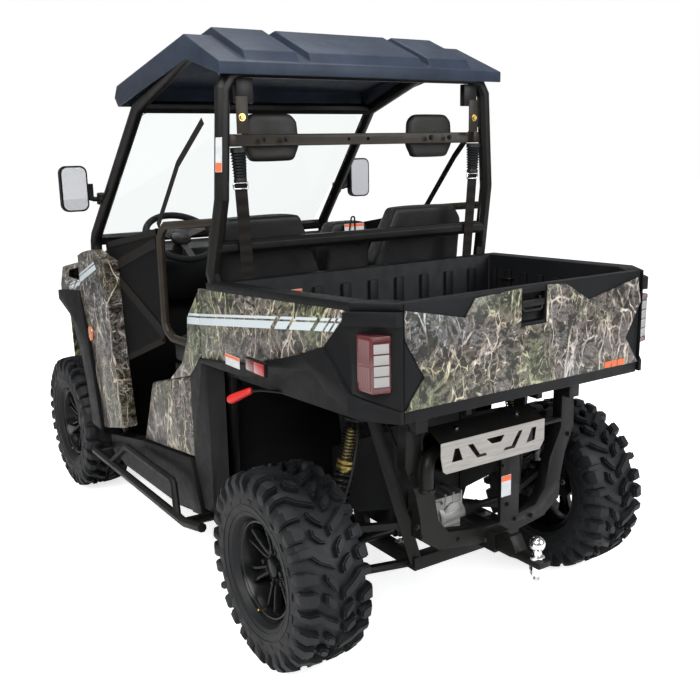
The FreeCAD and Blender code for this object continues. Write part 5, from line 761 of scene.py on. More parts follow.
def make_labels():
    """The noted labels, as one piece of plates and one of bands on each body."""
    for body in sorted({entry[0] for entry in LABELS}):
        white, orange = bmesh.new(), bmesh.new()
        for owner, centre, along, up, width, height, band in LABELS:
            if owner == body:
                turn = Matrix((along, up, along.cross(up))).transposed()
                verts = bmesh.ops.create_cube(white, size=1.0)["verts"]
                moved_in(white, verts, centre, turn, (width, height, LABEL_THICKNESS))
                shift = up * (height * (1 - BAND_SHARE) / 2 - 0.001) * band
                verts = bmesh.ops.create_cube(orange, size=1.0)["verts"]
                moved_in(orange, verts, centre + shift, turn,
                         (width - 0.002, height * BAND_SHARE, BAND_THICKNESS))
        settle("label_plates_" + body, white, "label_white", 20.0, body=body)
        settle("label_bands_" + body, orange, "label_orange", 20.0, body=body)
    LABELS.clear()


# Wheels

# Lines across the tyre as (share of the half width, share of the radius), from the middle outwards
SIDEWALL_LINE = ((0.945, 0.620), (0.88, 0.560), (0.74, 0.520))
CARCASS_LINE = ((0.0, 0.925), (0.40, 0.922), (0.70, 0.910), (0.84, 0.886), (0.925, 0.832), (0.955, 0.770),
                (0.965, 0.690)) + SIDEWALL_LINE
CROWN_LINE = ((0.0, 1.0), (0.40, 0.998), (0.72, 0.988), (0.88, 0.972), (0.985, 0.900), (0.998, 0.810),
              (0.978, 0.700)) + SIDEWALL_LINE
LINE_SHARES = (0.0, 0.40, 0.70, 0.85, 1.0, 1.14, 1.32, 1.5, 1.7, 2.0)
# Outlines of the lugs of one half pitch as (place on the line, place around in pitches); the last
# two stand on the sidewall
LUG_OUTLINES = (
    ((0.015, 0.00), (0.43, 0.15), (0.60, 0.28), (1.10, 0.29), (1.16, 0.34), (1.10, 0.43), (0.57, 0.44),
     (0.35, 0.31), (0.015, 0.165)),
    ((0.56, 0.585), (0.66, 0.53), (1.04, 0.54), (1.12, 0.60), (1.12, 0.72), (1.02, 0.79), (0.68, 0.78),
     (0.55, 0.72)),
    ((0.13, 0.41), (0.28, 0.44), (0.44, 0.555), (0.42, 0.70), (0.26, 0.65), (0.12, 0.55)),
    ((0.50, 0.87), (0.70, 0.875), (1.10, 0.87), (1.20, 0.93), (1.20, 1.03), (1.06, 1.10), (0.78, 1.10),
     (0.52, 1.02)),
    ((0.06, 0.66), (0.22, 0.75), (0.36, 0.88), (0.34, 0.985), (0.20, 0.93), (0.06, 0.83)),
    ((1.24, 0.02), (1.38, 0.08), (1.38, 0.16), (1.24, 0.22)),
    ((1.24, 0.52), (1.40, 0.56), (1.40, 0.64), (1.24, 0.72)),
)
LUG_STEP = 0.024
LUG_SHOULDER = 0.74
# Raised rings of the sidewall: place on the line, half width, height
WALL_RINGS = ((1.36, 0.003, 0.0022), (1.56, 0.0025, 0.0018))


def on_line(line, share):
    """Place on one of the tyre's lines at a share along it."""
    last = len(LINE_SHARES) - 1
    index = next((index for index in range(1, last) if share <= LINE_SHARES[index]), last)
    part = (share - LINE_SHARES[index - 1]) / (LINE_SHARES[index] - LINE_SHARES[index - 1])
    return Vector(line[index - 1]).lerp(Vector(line[index]), part)


def lug(outline, pitch, half):
    """One lug laid flat: X across in metres, Y around in metres, Z from 0 to 1 for its height."""
    bm = bmesh.new()
    face = bm.faces.new([bm.verts.new((share * half, around * pitch, 0.0)) for share, around in outline])
    made = bmesh.ops.extrude_face_region(bm, geom=[face])["geom"]
    top = verts_of(made)
    middle = sum((vert.co for vert in top), Vector()) / len(top)
    bmesh.ops.scale(bm, verts=top, vec=(0.93, 0.91, 1.0), space=Matrix.Translation(-middle))
    bmesh.ops.translate(bm, verts=top, vec=(0, 0, LUG_SHOULDER))
    caps = faces_of(made)
    bmesh.ops.inset_region(bm, faces=caps, thickness=0.0042, depth=0.0, use_even_offset=True)
    raised = bmesh.ops.extrude_face_region(bm, geom=caps)["geom"]
    bmesh.ops.delete(bm, geom=caps, context="FACES_ONLY")
    bmesh.ops.translate(bm, verts=verts_of(raised), vec=(0, 0, 1 - LUG_SHOULDER))
    bmesh.ops.delete(bm, geom=[face], context="FACES_ONLY")
    length = max(around for _, around in outline) * pitch
    start = min(around for _, around in outline) * pitch
    while start + LUG_STEP < length:
        start += LUG_STEP
        bmesh.ops.bisect_plane(bm, geom=everything(bm), plane_co=(0, start, 0), plane_no=(0, 1, 0))
    for share in LINE_SHARES[1:6]:
        bmesh.ops.bisect_plane(bm, geom=everything(bm), plane_co=(share * half, 0, 0), plane_no=(1, 0, 0))
    return bm


def settle_on_wheel(name, wheel, bm, material, smooth, **marks):
    """Mirrors a piece on the right side, moves it to the wheel's centre and settles it."""
    if "right" in wheel:
        flipped(bm)
    low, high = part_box("tyre_" + wheel)
    bmesh.ops.translate(bm, verts=bm.verts, vec=(low + high) / 2)
    settle(name + wheel, bm, material, smooth, body="wheel_" + wheel, **marks)


def tyre(name, settings):
    """One tyre: the carcass with its rings, and the lugs of one pitch repeated around."""
    low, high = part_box("tyre_" + name)
    radius = (high.z - low.z) / 2
    half = (high.y - low.y) / 2
    outer = [(share * half, height * radius) for share, height in CARCASS_LINE]
    y, height = outer[-1]
    right = outer + [(y - 0.012, height - 0.004), (y - 0.03, height + 0.012)]
    bm = spun([(-y, height) for y, height in reversed(right)] + right[1:], settings.steps)
    for ring_share, width, rise in WALL_RINGS:
        spot = on_line(CARCASS_LINE, ring_share)
        y, height = spot.x * half, spot.y * radius
        ring = [(y - 0.002, height - width), (y + rise, height - width * 0.5),
                (y + rise, height + width * 0.5), (y - 0.002, height + width)]
        for side in SIDES:
            add_mesh(bm, spun([(y * side, height) for y, height in ring], settings.steps))
    lugs = bmesh.new()
    for outline in LUG_OUTLINES:
        add_mesh(lugs, lug(outline, FULL_TURN * radius / settings.pitches, half))
    for vert in lugs.verts:
        share, angle = vert.co.x / half, vert.co.y / radius
        foot, tip = on_line(CARCASS_LINE, share), on_line(CROWN_LINE, share)
        spot = foot.lerp(tip, vert.co.z) if vert.co.z > 0 else foot * 0.992
        height = spot.y * radius
        vert.co = (height * math.sin(angle), spot.x * half, height * math.cos(angle))
    outward(lugs)
    bmesh.ops.rotate(lugs, verts=mirrored(lugs), cent=(0, 0, 0),
                     matrix=Matrix.Rotation(math.pi / settings.pitches, 3, (0, 1, 0)))
    repeat_around(lugs, settings.pitches)
    add_mesh(bm, lugs)
    settle_on_wheel("tyre_tread_", name, bm, "tyre_rubber", 30.0, nodes=["tyre_" + name])


# A rib of a spoke, from the hub to the lip: (radius, place across its pair, half width, depth of its crest)
RIB_LINE = ((0.034, 0.009, 0.008, -0.020), (0.062, 0.011, 0.0085, -0.012), (0.105, 0.016, 0.0085, -0.004),
            (0.138, 0.023, 0.0095, 0.002), (0.156, 0.030, 0.0115, -0.002))
RIB_DEPTH = 0.024
# The rim's barrel: sign of the half width with a shift in Y, and a shift from the rim's radius
BARREL_LINE = ((1, 0.0, 0.002), (1, 0.004, -0.001), (1, -0.003, -0.008), (1, -0.014, -0.010),
               (1, -0.03, -0.014), (1, -0.06, -0.026), (0, 0.0, -0.030), (-1, 0.03, -0.016),
               (-1, 0.004, -0.003), (-1, 0.0, 0.002), (-1, -0.003, -0.004), (-1, 0.03, -0.022),
               (0, 0.0, -0.036), (1, -0.062, -0.032), (1, -0.034, -0.021), (1, -0.012, -0.017),
               (1, -0.004, -0.012))
HUB_LINE = ((0.0, -0.055), (0.066, -0.055), (0.070, -0.030), (0.064, -0.021), (0.044, -0.019),
            (0.038, -0.024), (0.034, -0.024), (0.031, -0.008), (0.026, -0.004), (0.0, -0.003))
RIM_WIDTH_SHARE = 0.72


def spoke_rib(bm, side, face_y):
    """One of the two ribs of a spoke, narrow at its crest."""
    rings, edges = [], []
    for height, place, wide, crest in RIB_LINE:
        ring = []
        for across, depth in ((-1, -RIB_DEPTH), (-0.55, 0.0), (0.55, 0.0), (1, -RIB_DEPTH)):
            ring.append(bm.verts.new((place * side + wide * across, face_y + crest + depth, height)))
        rings.append(ring)
        edges.append([bm.edges.new((ring[index - 1], ring[index])) for index in range(4)])
    for first, second in zip(edges, edges[1:]):
        bmesh.ops.bridge_loops(bm, edges=first + second)
    for ring in (rings[0], rings[-1]):
        bm.faces.new(ring)


def rim(name, settings):
    """One rim with its hub, spokes and barrel, its nuts and its valve."""
    low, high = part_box("tyre_" + name)
    half = (high.y - low.y) / 2 * RIM_WIDTH_SHARE
    radius = settings.radius
    bm = spun([(sign * half + shift, radius + rise) for sign, shift, rise in BARREL_LINE], 96)
    face_y = half - 0.022
    lathe(bm, HUB_LINE, (0, face_y, 0), (0, 1, 0), 48)
    spokes = bmesh.new()
    for side in SIDES:
        spoke_rib(spokes, side, face_y)
    web = box(spokes, (-0.020, face_y - 0.034, 0.040), (0.020, face_y - 0.024, radius - 0.022))
    for vert in web:
        if vert.co.z < 0.06:
            vert.co.x *= 0.5
    bmesh.ops.recalc_face_normals(spokes, faces=spokes.faces)
    soften(spokes, 0.0018, 2, 30.0, 2.0)
    repeat_around(spokes, settings.spoke_pairs)
    add_mesh(bm, spokes)
    settle_on_wheel("rim_disc_", name, bm, "rim_black", 38.0, nodes=["rim_" + name])
    nuts = bmesh.new()
    circle = settings.bolt_circle
    rod(nuts, (0, face_y - 0.026, circle), (0, face_y - 0.006, circle), 0.0095, 6, 0.0085)
    repeat_around(nuts, 4)
    settle_on_wheel("wheel_nuts_", name, nuts, "frame_black", 30.0)
    valve = bmesh.new()
    start = Vector((0.02, half - 0.012, -radius + 0.018))
    rod(valve, start, start + Vector((-0.002, 0.026, 0.006)), 0.0042, 10, 0.0036)
    settle_on_wheel("tyre_valve_", name, valve, "gold_zinc", 40.0, slot="frame_black")


# Cab: headrests, belts, side nets, mirrors, steering wheel

BAR_X = -0.5450
BAR_REAR_X = -0.5600
NET_LINE = ((0.0, 0.30), (0.88, 0.0), (1.0, 0.84), (0.0, 1.0))
NET_Y = 0.627
NET_THICKNESS = 0.0012
STRAP_THICKNESS = 0.0016
STRAP_CORNER = (0.470, 0.6300, 1.120)
MIRROR_INNER_Y = 0.668
MIRROR_REAR_X = 0.5560
WHEEL_CENTRE = Vector((0.400, 0.330, 1.240))
WHEEL_TILT = math.radians(55)
WHEEL_RADIUS = 0.150


def make_headrest_bar():
    """The flat bar with its bolts and the bright bolts at its ends."""
    dress("headrest_bar", "bronze_tube", 0.002)
    bolts, ends = bmesh.new(), bmesh.new()
    for y in (0.408, 0.325, -0.302, -0.391):
        bolt(bolts, (BAR_X, y, 1.636), (-1, 0, 0), 0.0095)
    for side in SIDES:
        for z in (1.628, 1.646):
            bolt(ends, (BAR_X, side * 0.552, z), (-1, 0, 0), 0.0065)
    settle("headrest_bolts", bolts, "frame_black", 30.0)
    settle("headrest_bar_end_bolts", ends, "bright_chrome", 30.0, slot="bare_steel")


def make_belts(webbing_width):
    """Reel, bracket with a gold bolt, folded sleeve, guide and webbing, once on each side."""
    reels, brackets, bolts, sleeves, guides, straps = (bmesh.new() for _ in range(6))
    for side in SIDES:
        box(reels, (-0.558, side * 0.452, 1.752), (-0.532, side * 0.516, 1.832))
        box(brackets, (BAR_REAR_X, side * 0.476, 1.655), (-0.5565, side * 0.520, 1.775))
        bolt(bolts, (BAR_REAR_X, side * 0.500, 1.708), (-1, 0, 0), 0.012)
        boot(sleeves, (BAR_X, side * 0.512, 1.612), (BAR_X, side * 0.508, 1.500), 0.027, 0.022, 9)
        corners = ((0.482, 1.497), (0.534, 1.497), (0.534, 1.478), (0.482, 1.478))
        tube(guides, rounded([(BAR_X, side * y, z) for y, z in corners], 0.007), 0.0034, closed=True)
        run = ((BAR_X, 0.508, 1.612), (BAR_X, 0.508, 1.490), (-0.540, 0.497, 1.30), (-0.534, 0.487, 1.12),
               (-0.528, 0.482, 1.00))
        ribbon(straps, [(x, side * y, z) for x, y, z in run], (0.0, webbing_width, 0.0), 0.0014)
    for bm in (reels, brackets):
        soften(bm, 0.003)
    settle("belt_reels", reels, "frame_black", 30.0, ["seat_belts"], slot="webbing")
    settle("belt_brackets", brackets, "bronze_tube", 30.0, ["seat_belts"], slot="webbing")
    settle("belt_bolts", bolts, "gold_zinc", 30.0)
    settle("belt_sleeves", sleeves, "tyre_rubber", 50.0)
    settle("belt_guides", guides, "bright_chrome", 50.0, slot="bare_steel")
    settle("belt_webbing", outward(straps), "webbing", 50.0)


def make_nets(strap_width):
    """Each side net as a stretched sheet with a hem, diagonal straps and a strap up to the cage."""
    low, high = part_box("side_nets")
    width, height = high.x - low.x, high.z - low.z
    spots = [(low.x + u * width, low.z + v * height) for u, v in NET_LINE]
    hem_lines = list(zip(spots, spots[1:] + spots[:1]))
    for side, name in ((1, "left"), (-1, "right")):
        sheet, hems = bmesh.new(), bmesh.new()
        plate(sheet, [(x, side * NET_Y, z) for x, z in spots[::side]], NET_THICKNESS)
        piece = settle("side_net_" + name, outward(sheet), "netting", 30.0, ["side_nets"])
        for start, end in hem_lines:
            way = Vector((end[0] - start[0], 0.0, end[1] - start[1])).normalized()
            across = Vector((-way.z, 0.0, way.x))
            line = [Vector((x, side * (NET_Y + NET_THICKNESS), z)) + across * 0.010 for x, z in (start, end)]
            ribbon(hems, line, across * 0.024, STRAP_THICKNESS)
        settle("side_net_hem_" + name, outward(hems), "webbing", 40.0)
    straps, uppers = bmesh.new(), bmesh.new()
    ribbon(straps, [STRAP_CORNER, (-0.026, 0.6300, 0.950), (-0.090, 0.6300, 0.925)],
           (0.013, 0.0, -strap_width * 0.9), STRAP_THICKNESS)
    ribbon(straps, [STRAP_CORNER, (-0.060, 0.6300, 1.270)], (0.011, 0.0, strap_width * 0.8),
           STRAP_THICKNESS)
    ribbon(uppers, [(-0.475, 0.600, 1.700), (-0.300, 0.622, 1.560), (-0.095, 0.6275, 1.335)],
           (0.018, 0.0, 0.020), STRAP_THICKNESS)
    for name, bm in (("side_net_diagonals", straps), ("side_net_uppers", uppers)):
        mirrored(bm)
        settle(name, outward(bm), "webbing", 40.0)


def make_mirrors():
    """Each mirror as a rounded housing with a glass towards the driver, an arm and a clamp."""
    houses, glasses, arms = bmesh.new(), bmesh.new(), bmesh.new()
    low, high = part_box("mirrors")
    middle_z, half_height = (low.z + high.z) / 2, (high.z - low.z) / 2
    half_width = (high.y - MIRROR_INNER_Y) / 2
    for side in SIDES:
        own = bmesh.new()
        box(own, (MIRROR_REAR_X, side * MIRROR_INNER_Y, low.z), (high.x, side * high.y, high.z))
        bevel(own, [edge for edge in own.edges if abs((edge.verts[0].co - edge.verts[1].co).x) > 0.01],
              0.030, 6)
        bevel(own, [edge for edge in own.edges if all(vert.co.x > high.x - 0.001 for vert in edge.verts)],
              0.022, 4)
        add_mesh(houses, own)
        outline = []
        for turn in range(4):
            y = side * (MIRROR_INNER_Y + half_width) + (1 if turn in (0, 3) else -1) * (half_width - 0.032)
            z = middle_z + (1 if turn < 2 else -1) * (half_height - 0.032)
            for step in range(6):
                angle = math.radians(90 * turn + 18 * step)
                outline.append((MIRROR_REAR_X - 0.0005, y + 0.025 * math.cos(angle),
                                z + 0.025 * math.sin(angle)))
        plate(glasses, outline[::-1], 0.0016)
        tube(arms, rounded([(0.584, side * 0.612, 1.4095), (0.584, side * 0.645, 1.4095),
                            (0.584, side * 0.690, 1.440)], 0.015), 0.0105, 12)
        box(arms, (0.576, side * 0.640, 1.405), (0.594, side * 0.672, 1.475))
        rod(arms, (0.588, side * 0.602, 1.388), (0.580, side * 0.602, 1.432), 0.0225, 24)
        bolt(arms, (0.570, side * 0.612, 1.400), (-1, 0, 0), 0.008)
    bmesh.ops.recalc_face_normals(glasses, faces=glasses.faces)
    settle("mirror_housings", outward(houses), "black_plastic", 35.0, ["mirrors"])
    settle("mirror_glasses", glasses, "mirror_glass", 30.0, ["mirrors"])
    settle("mirror_arms", arms, "frame_black", 40.0, ["mirrors"])


def make_steering_wheel():
    """A thick rim, three spokes and a dished centre."""
    way = Vector((math.cos(WHEEL_TILT), 0.0, -math.sin(WHEEL_TILT)))
    side_way = Vector((0.0, 1.0, 0.0))
    up = way.cross(side_way)
    ring, spokes = bmesh.new(), bmesh.new()
    angles = [FULL_TURN * step / 72 for step in range(72)]
    tube(ring, [WHEEL_CENTRE + (side_way * math.cos(angle) + up * math.sin(angle)) * WHEEL_RADIUS
                for angle in angles], 0.0145, 14, closed=True)
    for degrees in (20, 160, 270):
        angle = math.radians(degrees)
        out = side_way * math.cos(angle) + up * math.sin(angle)
        ribbon(spokes, [WHEEL_CENTRE + way * 0.012 + out * 0.02, WHEEL_CENTRE + way * 0.006 + out * 0.08,
                        WHEEL_CENTRE + out * (WHEEL_RADIUS - 0.002)], way.cross(out) * 0.030, 0.006)
    lathe(spokes, [(0.0, -0.014), (0.030, -0.013), (0.043, -0.006), (0.046, 0.004), (0.040, 0.016),
                   (0.024, 0.020), (0.0, 0.020)], WHEEL_CENTRE, way, 32)
    for name, bm, material, smooth in (("rim", ring, "soft_black", 60.0),
                                       ("spokes", outward(spokes), "frame_black", 35.0)):
        settle("steering_wheel_" + name, bm, material, smooth, ["steering_wheel"], "steering_wheel",
               "black_plastic")


def make_cab_trim():
    """Seat latch, the lever's knob, two knobs of the dashboard and two blank labels."""
    latch, knobs = bmesh.new(), bmesh.new()
    tube(latch, rounded([(-0.4475, 0.016, 1.275), (-0.4500, 0.004, 1.352), (-0.4500, -0.010, 1.352),
                         (-0.4475, -0.014, 1.275)], 0.007, 5), 0.0032)
    tube(latch, [(-0.4480, -0.012, 1.280), (-0.4520, -0.022, 1.262), (-0.4490, -0.030, 1.245)], 0.0032,
         smooth=True)
    lathe(knobs, [(0.0, 0.0), (0.011, 0.0), (0.011, 0.01), (0.006, 0.014), (0.006, 0.07), (0.012, 0.076),
                  (0.019, 0.09), (0.019, 0.104), (0.012, 0.114), (0.0, 0.117)], (0.470, 0.150, 1.150),
          (-0.5, 0.0, 0.87))
    for y in (0.020, -0.060):
        lathe(knobs, [(0.0, 0.0), (0.017, 0.0), (0.017, 0.012), (0.014, 0.016), (0.0, 0.016)],
              (0.4310, y, 1.080), (-1, 0, 0))
    settle("seat_latch", latch, "frame_black", 50.0)
    settle("cab_knobs", knobs, "black_plastic", 40.0)
    label("chassis", (-0.5610, 0.5902, 1.590), (-0.77, -0.64, 0), (0, -0.061, 1), 0.023, 0.110, -1)
    label("chassis", (-0.4475, -0.010, 1.306), (0, -1, 0), (0, 0, 1), 0.088, 0.040)


class MakeCab(bpy.types.Operator):
    """Make the headrest bar's bolts, belts, side nets, mirrors, steering wheel and knobs"""

    bl_idname = "utv.make_cab"
    bl_label = "Cab"

    def execute(self, context):
        width = context.scene.utv_fabric.webbing_width
        make_headrest_bar()
        make_belts(width)
        make_nets(width)
        make_mirrors()
        make_steering_wheel()
        make_cab_trim()
        return {"FINISHED"}


# Seats: cushions puffed by a cloth simulation between seams that are held

VOXEL = 0.008
PUFF_FRAMES = 20
PUFF_CAP = 0.007
SEAM_EDGE = 0.050
BACK_LEAN = 0.055
PADDED_NODES = {"cushions": "seat_cushions", "backs": "seat_backs", "rests": "headrests"}


def loose_parts(node):
    """The separate solids of a node, each as its own bmesh, in the order of their first verts."""
    whole = node_copy(node)
    whole.verts.index_update()
    seen = set()
    parts = []
    for seed in whole.verts:
        if seed.index in seen:
            continue
        found, waiting = {seed.index}, [seed]
        while waiting:
            for edge in waiting.pop().link_edges:
                for vert in edge.verts:
                    if vert.index not in found:
                        found.add(vert.index)
                        waiting.append(vert)
        seen |= found
        part = whole.copy()
        bmesh.ops.delete(part, geom=[vert for vert in part.verts if vert.index not in found],
                         context="VERTS")
        parts.append(part)
    whole.free()
    return parts


def remeshed(bm):
    """A holder object with the shape as an even voxel mesh."""
    mesh = bpy.data.meshes.new("padding")
    bm.to_mesh(mesh)
    bm.free()
    holder = placed("padding", mesh)
    remesh = holder.modifiers.new("even", "REMESH")
    remesh.mode = "VOXEL"
    remesh.voxel_size = VOXEL
    even = bpy.data.meshes.new_from_object(holder.evaluated_get(bpy.context.evaluated_depsgraph_get()))
    holder.modifiers.clear()
    holder.data = even
    bpy.data.meshes.remove(mesh)
    return holder


def hold_seams(holder, seams, keep):
    """Pins the vertices on the seam planes and where keep says so; seams are (axis, place) pairs."""
    held = holder.vertex_groups.new(name="held")
    for vert in holder.data.vertices:
        on_seam = any(abs(vert.co[axis] - place) < VOXEL * 0.55 for axis, place in seams)
        if on_seam or keep(vert.co):
            held.add([vert.index], 1.0, "REPLACE")


def add_cloth(holder):
    """A light cloth, blown up from inside and fixed where it is held."""
    cloth = holder.modifiers.new("puff", "CLOTH")
    settings = cloth.settings
    settings.quality = 4
    settings.mass = 0.2
    settings.tension_stiffness = settings.compression_stiffness = 12
    settings.shear_stiffness = 6
    settings.bending_stiffness = 0.6
    settings.use_pressure = True
    settings.uniform_pressure_force = 4.0
    settings.vertex_group_mass = "held"
    settings.effector_weights.gravity = 0.0
    cloth.collision_settings.use_collision = False
    cloth.point_cache.frame_end = PUFF_FRAMES


def puff(holders):
    """Runs the cloth of every holder together and keeps each vertex within the cap."""
    scene = bpy.context.scene
    for holder in holders:
        add_cloth(holder)
    for step in range(1, PUFF_FRAMES + 1):
        scene.frame_set(step)
    graph = bpy.context.evaluated_depsgraph_get()
    for holder in holders:
        moved = []
        for before, after in zip(holder.data.vertices, holder.evaluated_get(graph).data.vertices):
            step = after.co - before.co
            if step.length > PUFF_CAP:
                step *= PUFF_CAP / step.length
            moved.append(before.co + step)
        for vert, place in zip(holder.data.vertices, moved):
            vert.co = place
        holder.modifiers.clear()
    scene.frame_set(1)


def shrunk(bm, amount):
    """Moves each vertex inwards by the amount at most, and gives back the corners of before."""
    low = Vector([min(vert.co[axis] for vert in bm.verts) for axis in range(3)])
    high = Vector([max(vert.co[axis] for vert in bm.verts) for axis in range(3)])
    middle, half = (low + high) / 2, (high - low) / 2
    for vert in bm.verts:
        for axis in range(3):
            vert.co[axis] = middle[axis] + (vert.co[axis] - middle[axis]) * (1 - amount / half[axis])
    return low, high


def hold_padding(kind, holder, low, high):
    """Holds the seams of a cushion or back, and the side that rests on its base."""
    seams = [(1, low.y + SEAM_EDGE), (1, high.y - SEAM_EDGE)]
    if kind == "cushions":
        seams += [(0, low.x + (high.x - low.x) * (step + 0.8) / 3.8) for step in range(3)]
        hold_seams(holder, seams, lambda place: place.z < low.z + 0.02)
    elif kind == "backs":
        seams += [(2, low.z + (high.z - low.z) * (step + 0.8) / 4.6) for step in range(4)]
        lean = BACK_LEAN / (high.z - low.z)
        hold_seams(holder, seams, lambda place: place.x - low.x - (high.z - place.z) * lean < 0.030)
    else:
        hold_seams(holder, [], lambda place: place.x < low.x + 0.012)


class MakeSeats(bpy.types.Operator):
    """Make the seat cushions, seat backs and headrests as padded covers"""

    bl_idname = "utv.make_seats"
    bl_label = "Seats"

    def execute(self, context):
        made = []
        for kind, node in PADDED_NODES.items():
            for index, part in enumerate(loose_parts(node)):
                low, high = shrunk(part, 0.003)
                soften(part, 0.014, 3, 30.0, 2.2)
                holder = remeshed(part)
                hold_padding(kind, holder, low, high)
                made.append((kind, index, holder))
        puff([holder for _, _, holder in made])
        for kind, index, holder in made:
            self.cover(kind, index, holder)
        return {"FINISHED"}

    @staticmethod
    def cover(kind, index, holder):
        """Settles the shape of a holder as a padded piece."""
        bm = bmesh.new()
        bm.from_mesh(holder.data)
        bpy.data.objects.remove(holder)
        material = "rest_cover" if kind == "rests" else "seat_cover"
        piece = settle(f"padded_{kind}_{index}", bm, material, 75.0, [PADDED_NODES[kind]])
        smooth = piece.modifiers.new("smooth", "SUBSURF")
        smooth.levels = smooth.render_levels = 1


# Trim: lamps, reflectors, the release handle, ribs of the bed, labels

# The lamp's corner at floor height: its front end, the ridge between its facets, its rear end
CORNER_FIRST = Vector((-1.3038, 0.5672, 0.0))
CORNER_RIDGE = Vector((-1.3642, 0.5607, 0.0))
CORNER_LAST = Vector((-1.3793, 0.5083, 0.0))
REFLECTOR_SPOT = Vector((-0.902, 0.6660, 0.961))
BED_FLOOR_Z = 0.877
BED_TOP_Z = 1.128
HOOK_Z = 1.095


def facet_plate(bm, ends, margins, low, high, thickness, inset):
    """A raised plate on a lamp's facet, upright between two ends, with a margin at each."""
    way = (ends[1] - ends[0]).normalized()
    start, end = ends[0] + way * margins[0], ends[1] - way * margins[1]
    floor, top = Vector((0, 0, low)), Vector((0, 0, high))
    plate(bm, [start + floor, end + floor, end + top, start + top], thickness, inset)


def make_tail_lamps():
    """Red lamps in the bed's corners, with four clear windows on the rear facet."""
    dress("tail_lamps", "lamp_red", 0.003)
    windows, facets = bmesh.new(), bmesh.new()
    rear, side = (CORNER_RIDGE, CORNER_LAST), (CORNER_FIRST, CORNER_RIDGE)
    for row in range(4):
        low = 0.976 + row * 0.0305
        facet_plate(windows, rear, (0.006, 0.005), low, low + 0.0265, 0.0016, 0.004)
    for low, high in ((0.9575, 0.972), (1.101, 1.1145)):
        facet_plate(facets, rear, (0.002, 0.002), low, high, 0.0012, 0.002)
    for low in (0.964, 1.038):
        facet_plate(facets, side, (0.008, 0.006), low, low + 0.066, 0.0014, 0.004)
    for bm in (windows, facets):
        bmesh.ops.recalc_face_normals(bm, faces=bm.faces)
        mirrored(bm)
    settle("tail_lamp_windows", windows, "lamp_clear", 30.0, body="bed")
    settle("tail_lamp_facets", facets, "lamp_red", 30.0, body="bed")


def make_reflectors():
    """A red reflector on each side of the bed and an amber one on each front fender."""
    for name, material, low, high in (
            ("side_reflectors", "reflector_red", (-0.058, -0.004, -0.018), (-0.001, 0.008, 0.018)),
            ("side_reflectors_dark", "lamp_red", (0.001, -0.004, -0.018), (0.056, 0.006, 0.018)),
            ("side_reflector_frames", "black_plastic", (-0.062, -0.008, -0.022), (0.060, 0.0035, 0.022))):
        bm = bmesh.new()
        box(bm, REFLECTOR_SPOT + Vector(low), REFLECTOR_SPOT + Vector(high))
        soften(bm, 0.002)
        mirrored(bm)
        settle(name, bm, material, 30.0, body="bed")
    amber = bmesh.new()
    lathe(amber, [(0.0, 0.0), (0.024, 0.0), (0.027, 0.003), (0.024, 0.009), (0.012, 0.011), (0.0, 0.0115)],
          (0, 0, 0), (0, 1, 0), 32)
    moved_in(amber, amber.verts, (0.604, 0.690, 0.826), None, (1.0, 1.0, 1.35))
    mirrored(amber)
    settle("fender_reflectors", amber, "reflector_amber", 40.0)


def make_lever():
    """The red handle that lets the bed tip, on its rod below the bed."""
    rods, grip = bmesh.new(), bmesh.new()
    start, end = Vector((-0.765, 0.612, 0.850)), Vector((-0.702, 0.650, 0.814))
    tube(rods, [(-0.98, 0.545, 0.868), (-0.90, 0.565, 0.862), (-0.82, 0.592, 0.858), start, end], 0.0048,
         smooth=True)
    lathe(grip, [(0.0, 0.0), (0.008, 0.001), (0.0115, 0.008), (0.0125, 0.030), (0.0145, 0.060),
                 (0.0155, 0.085), (0.013, 0.098), (0.006, 0.104), (0.0, 0.105)], start, end - start)
    settle("bed_release_rod", rods, "frame_black", 50.0, body="bed")
    settle("bed_release_grip", grip, "grip_red", 50.0, body="bed")


def bed_wall_y(x):
    """Half the bed's inner width, which narrows towards the rear."""
    return 0.5775 + 0.092 * (x + 0.550)


def make_bed_ribs():
    """Upright ribs and tie hooks inside the bed, and ribs along its floor."""
    bm, hooks = bmesh.new(), bmesh.new()
    for index in range(7):
        x = -0.615 - index * 0.092
        y = bed_wall_y(x) - 0.0005
        for side in SIDES:
            box(bm, (x - 0.017, side * (y - 0.0115), BED_FLOOR_Z), (x + 0.017, side * y, BED_TOP_Z))
    for index in range(9):
        y = -0.480 + index * 0.120
        box(bm, (-0.5885, y - 0.018, BED_FLOOR_Z), (-0.5765, y + 0.018, BED_TOP_Z))
    for index in range(11):
        y = -0.450 + index * 0.090
        box(bm, (-1.300, y - 0.016, BED_FLOOR_Z - 0.0006), (-0.60, y + 0.016, BED_FLOOR_Z + 0.005))
    soften(bm, 0.004, 2, 40.0, 1.5)
    for x in (-0.70, -0.98, -1.20):
        y = bed_wall_y(x) - 0.002
        for side in SIDES:
            line = ((x - 0.03, y), (x - 0.03, y - 0.020), (x + 0.03, y - 0.020), (x + 0.03, y))
            tube(hooks, rounded([(place, side * out, HOOK_Z) for place, out in line], 0.012), 0.004, 8)
    settle("bed_ribs", bm, "black_plastic", 35.0, body="bed")
    settle("bed_tie_hooks", hooks, "frame_black", 50.0, body="bed")


def make_gate_trim():
    """The tailgate's handle and the orange mark."""
    handle, mark = bmesh.new(), bmesh.new()
    box(handle, (-1.3985, -0.046, 1.140), (-1.3845, 0.046, 1.160))
    tube(handle, rounded([(-1.382, -0.040, 1.165), (-1.394, -0.040, 1.128), (-1.394, 0.040, 1.128),
                          (-1.382, 0.040, 1.165)], 0.012), 0.005)
    soften(handle, 0.002)
    for start, end in ((-0.316, -0.345), (-0.350, -0.372), (-0.377, -0.408)):
        box(mark, (-1.4050, end, 0.905), (-1.4035, start, 0.9235))
    settle("gate_handle", handle, "frame_black", 40.0, body="tailgate")
    settle("gate_mark", mark, "label_orange", 30.0, body="tailgate", slot="lamp_red")


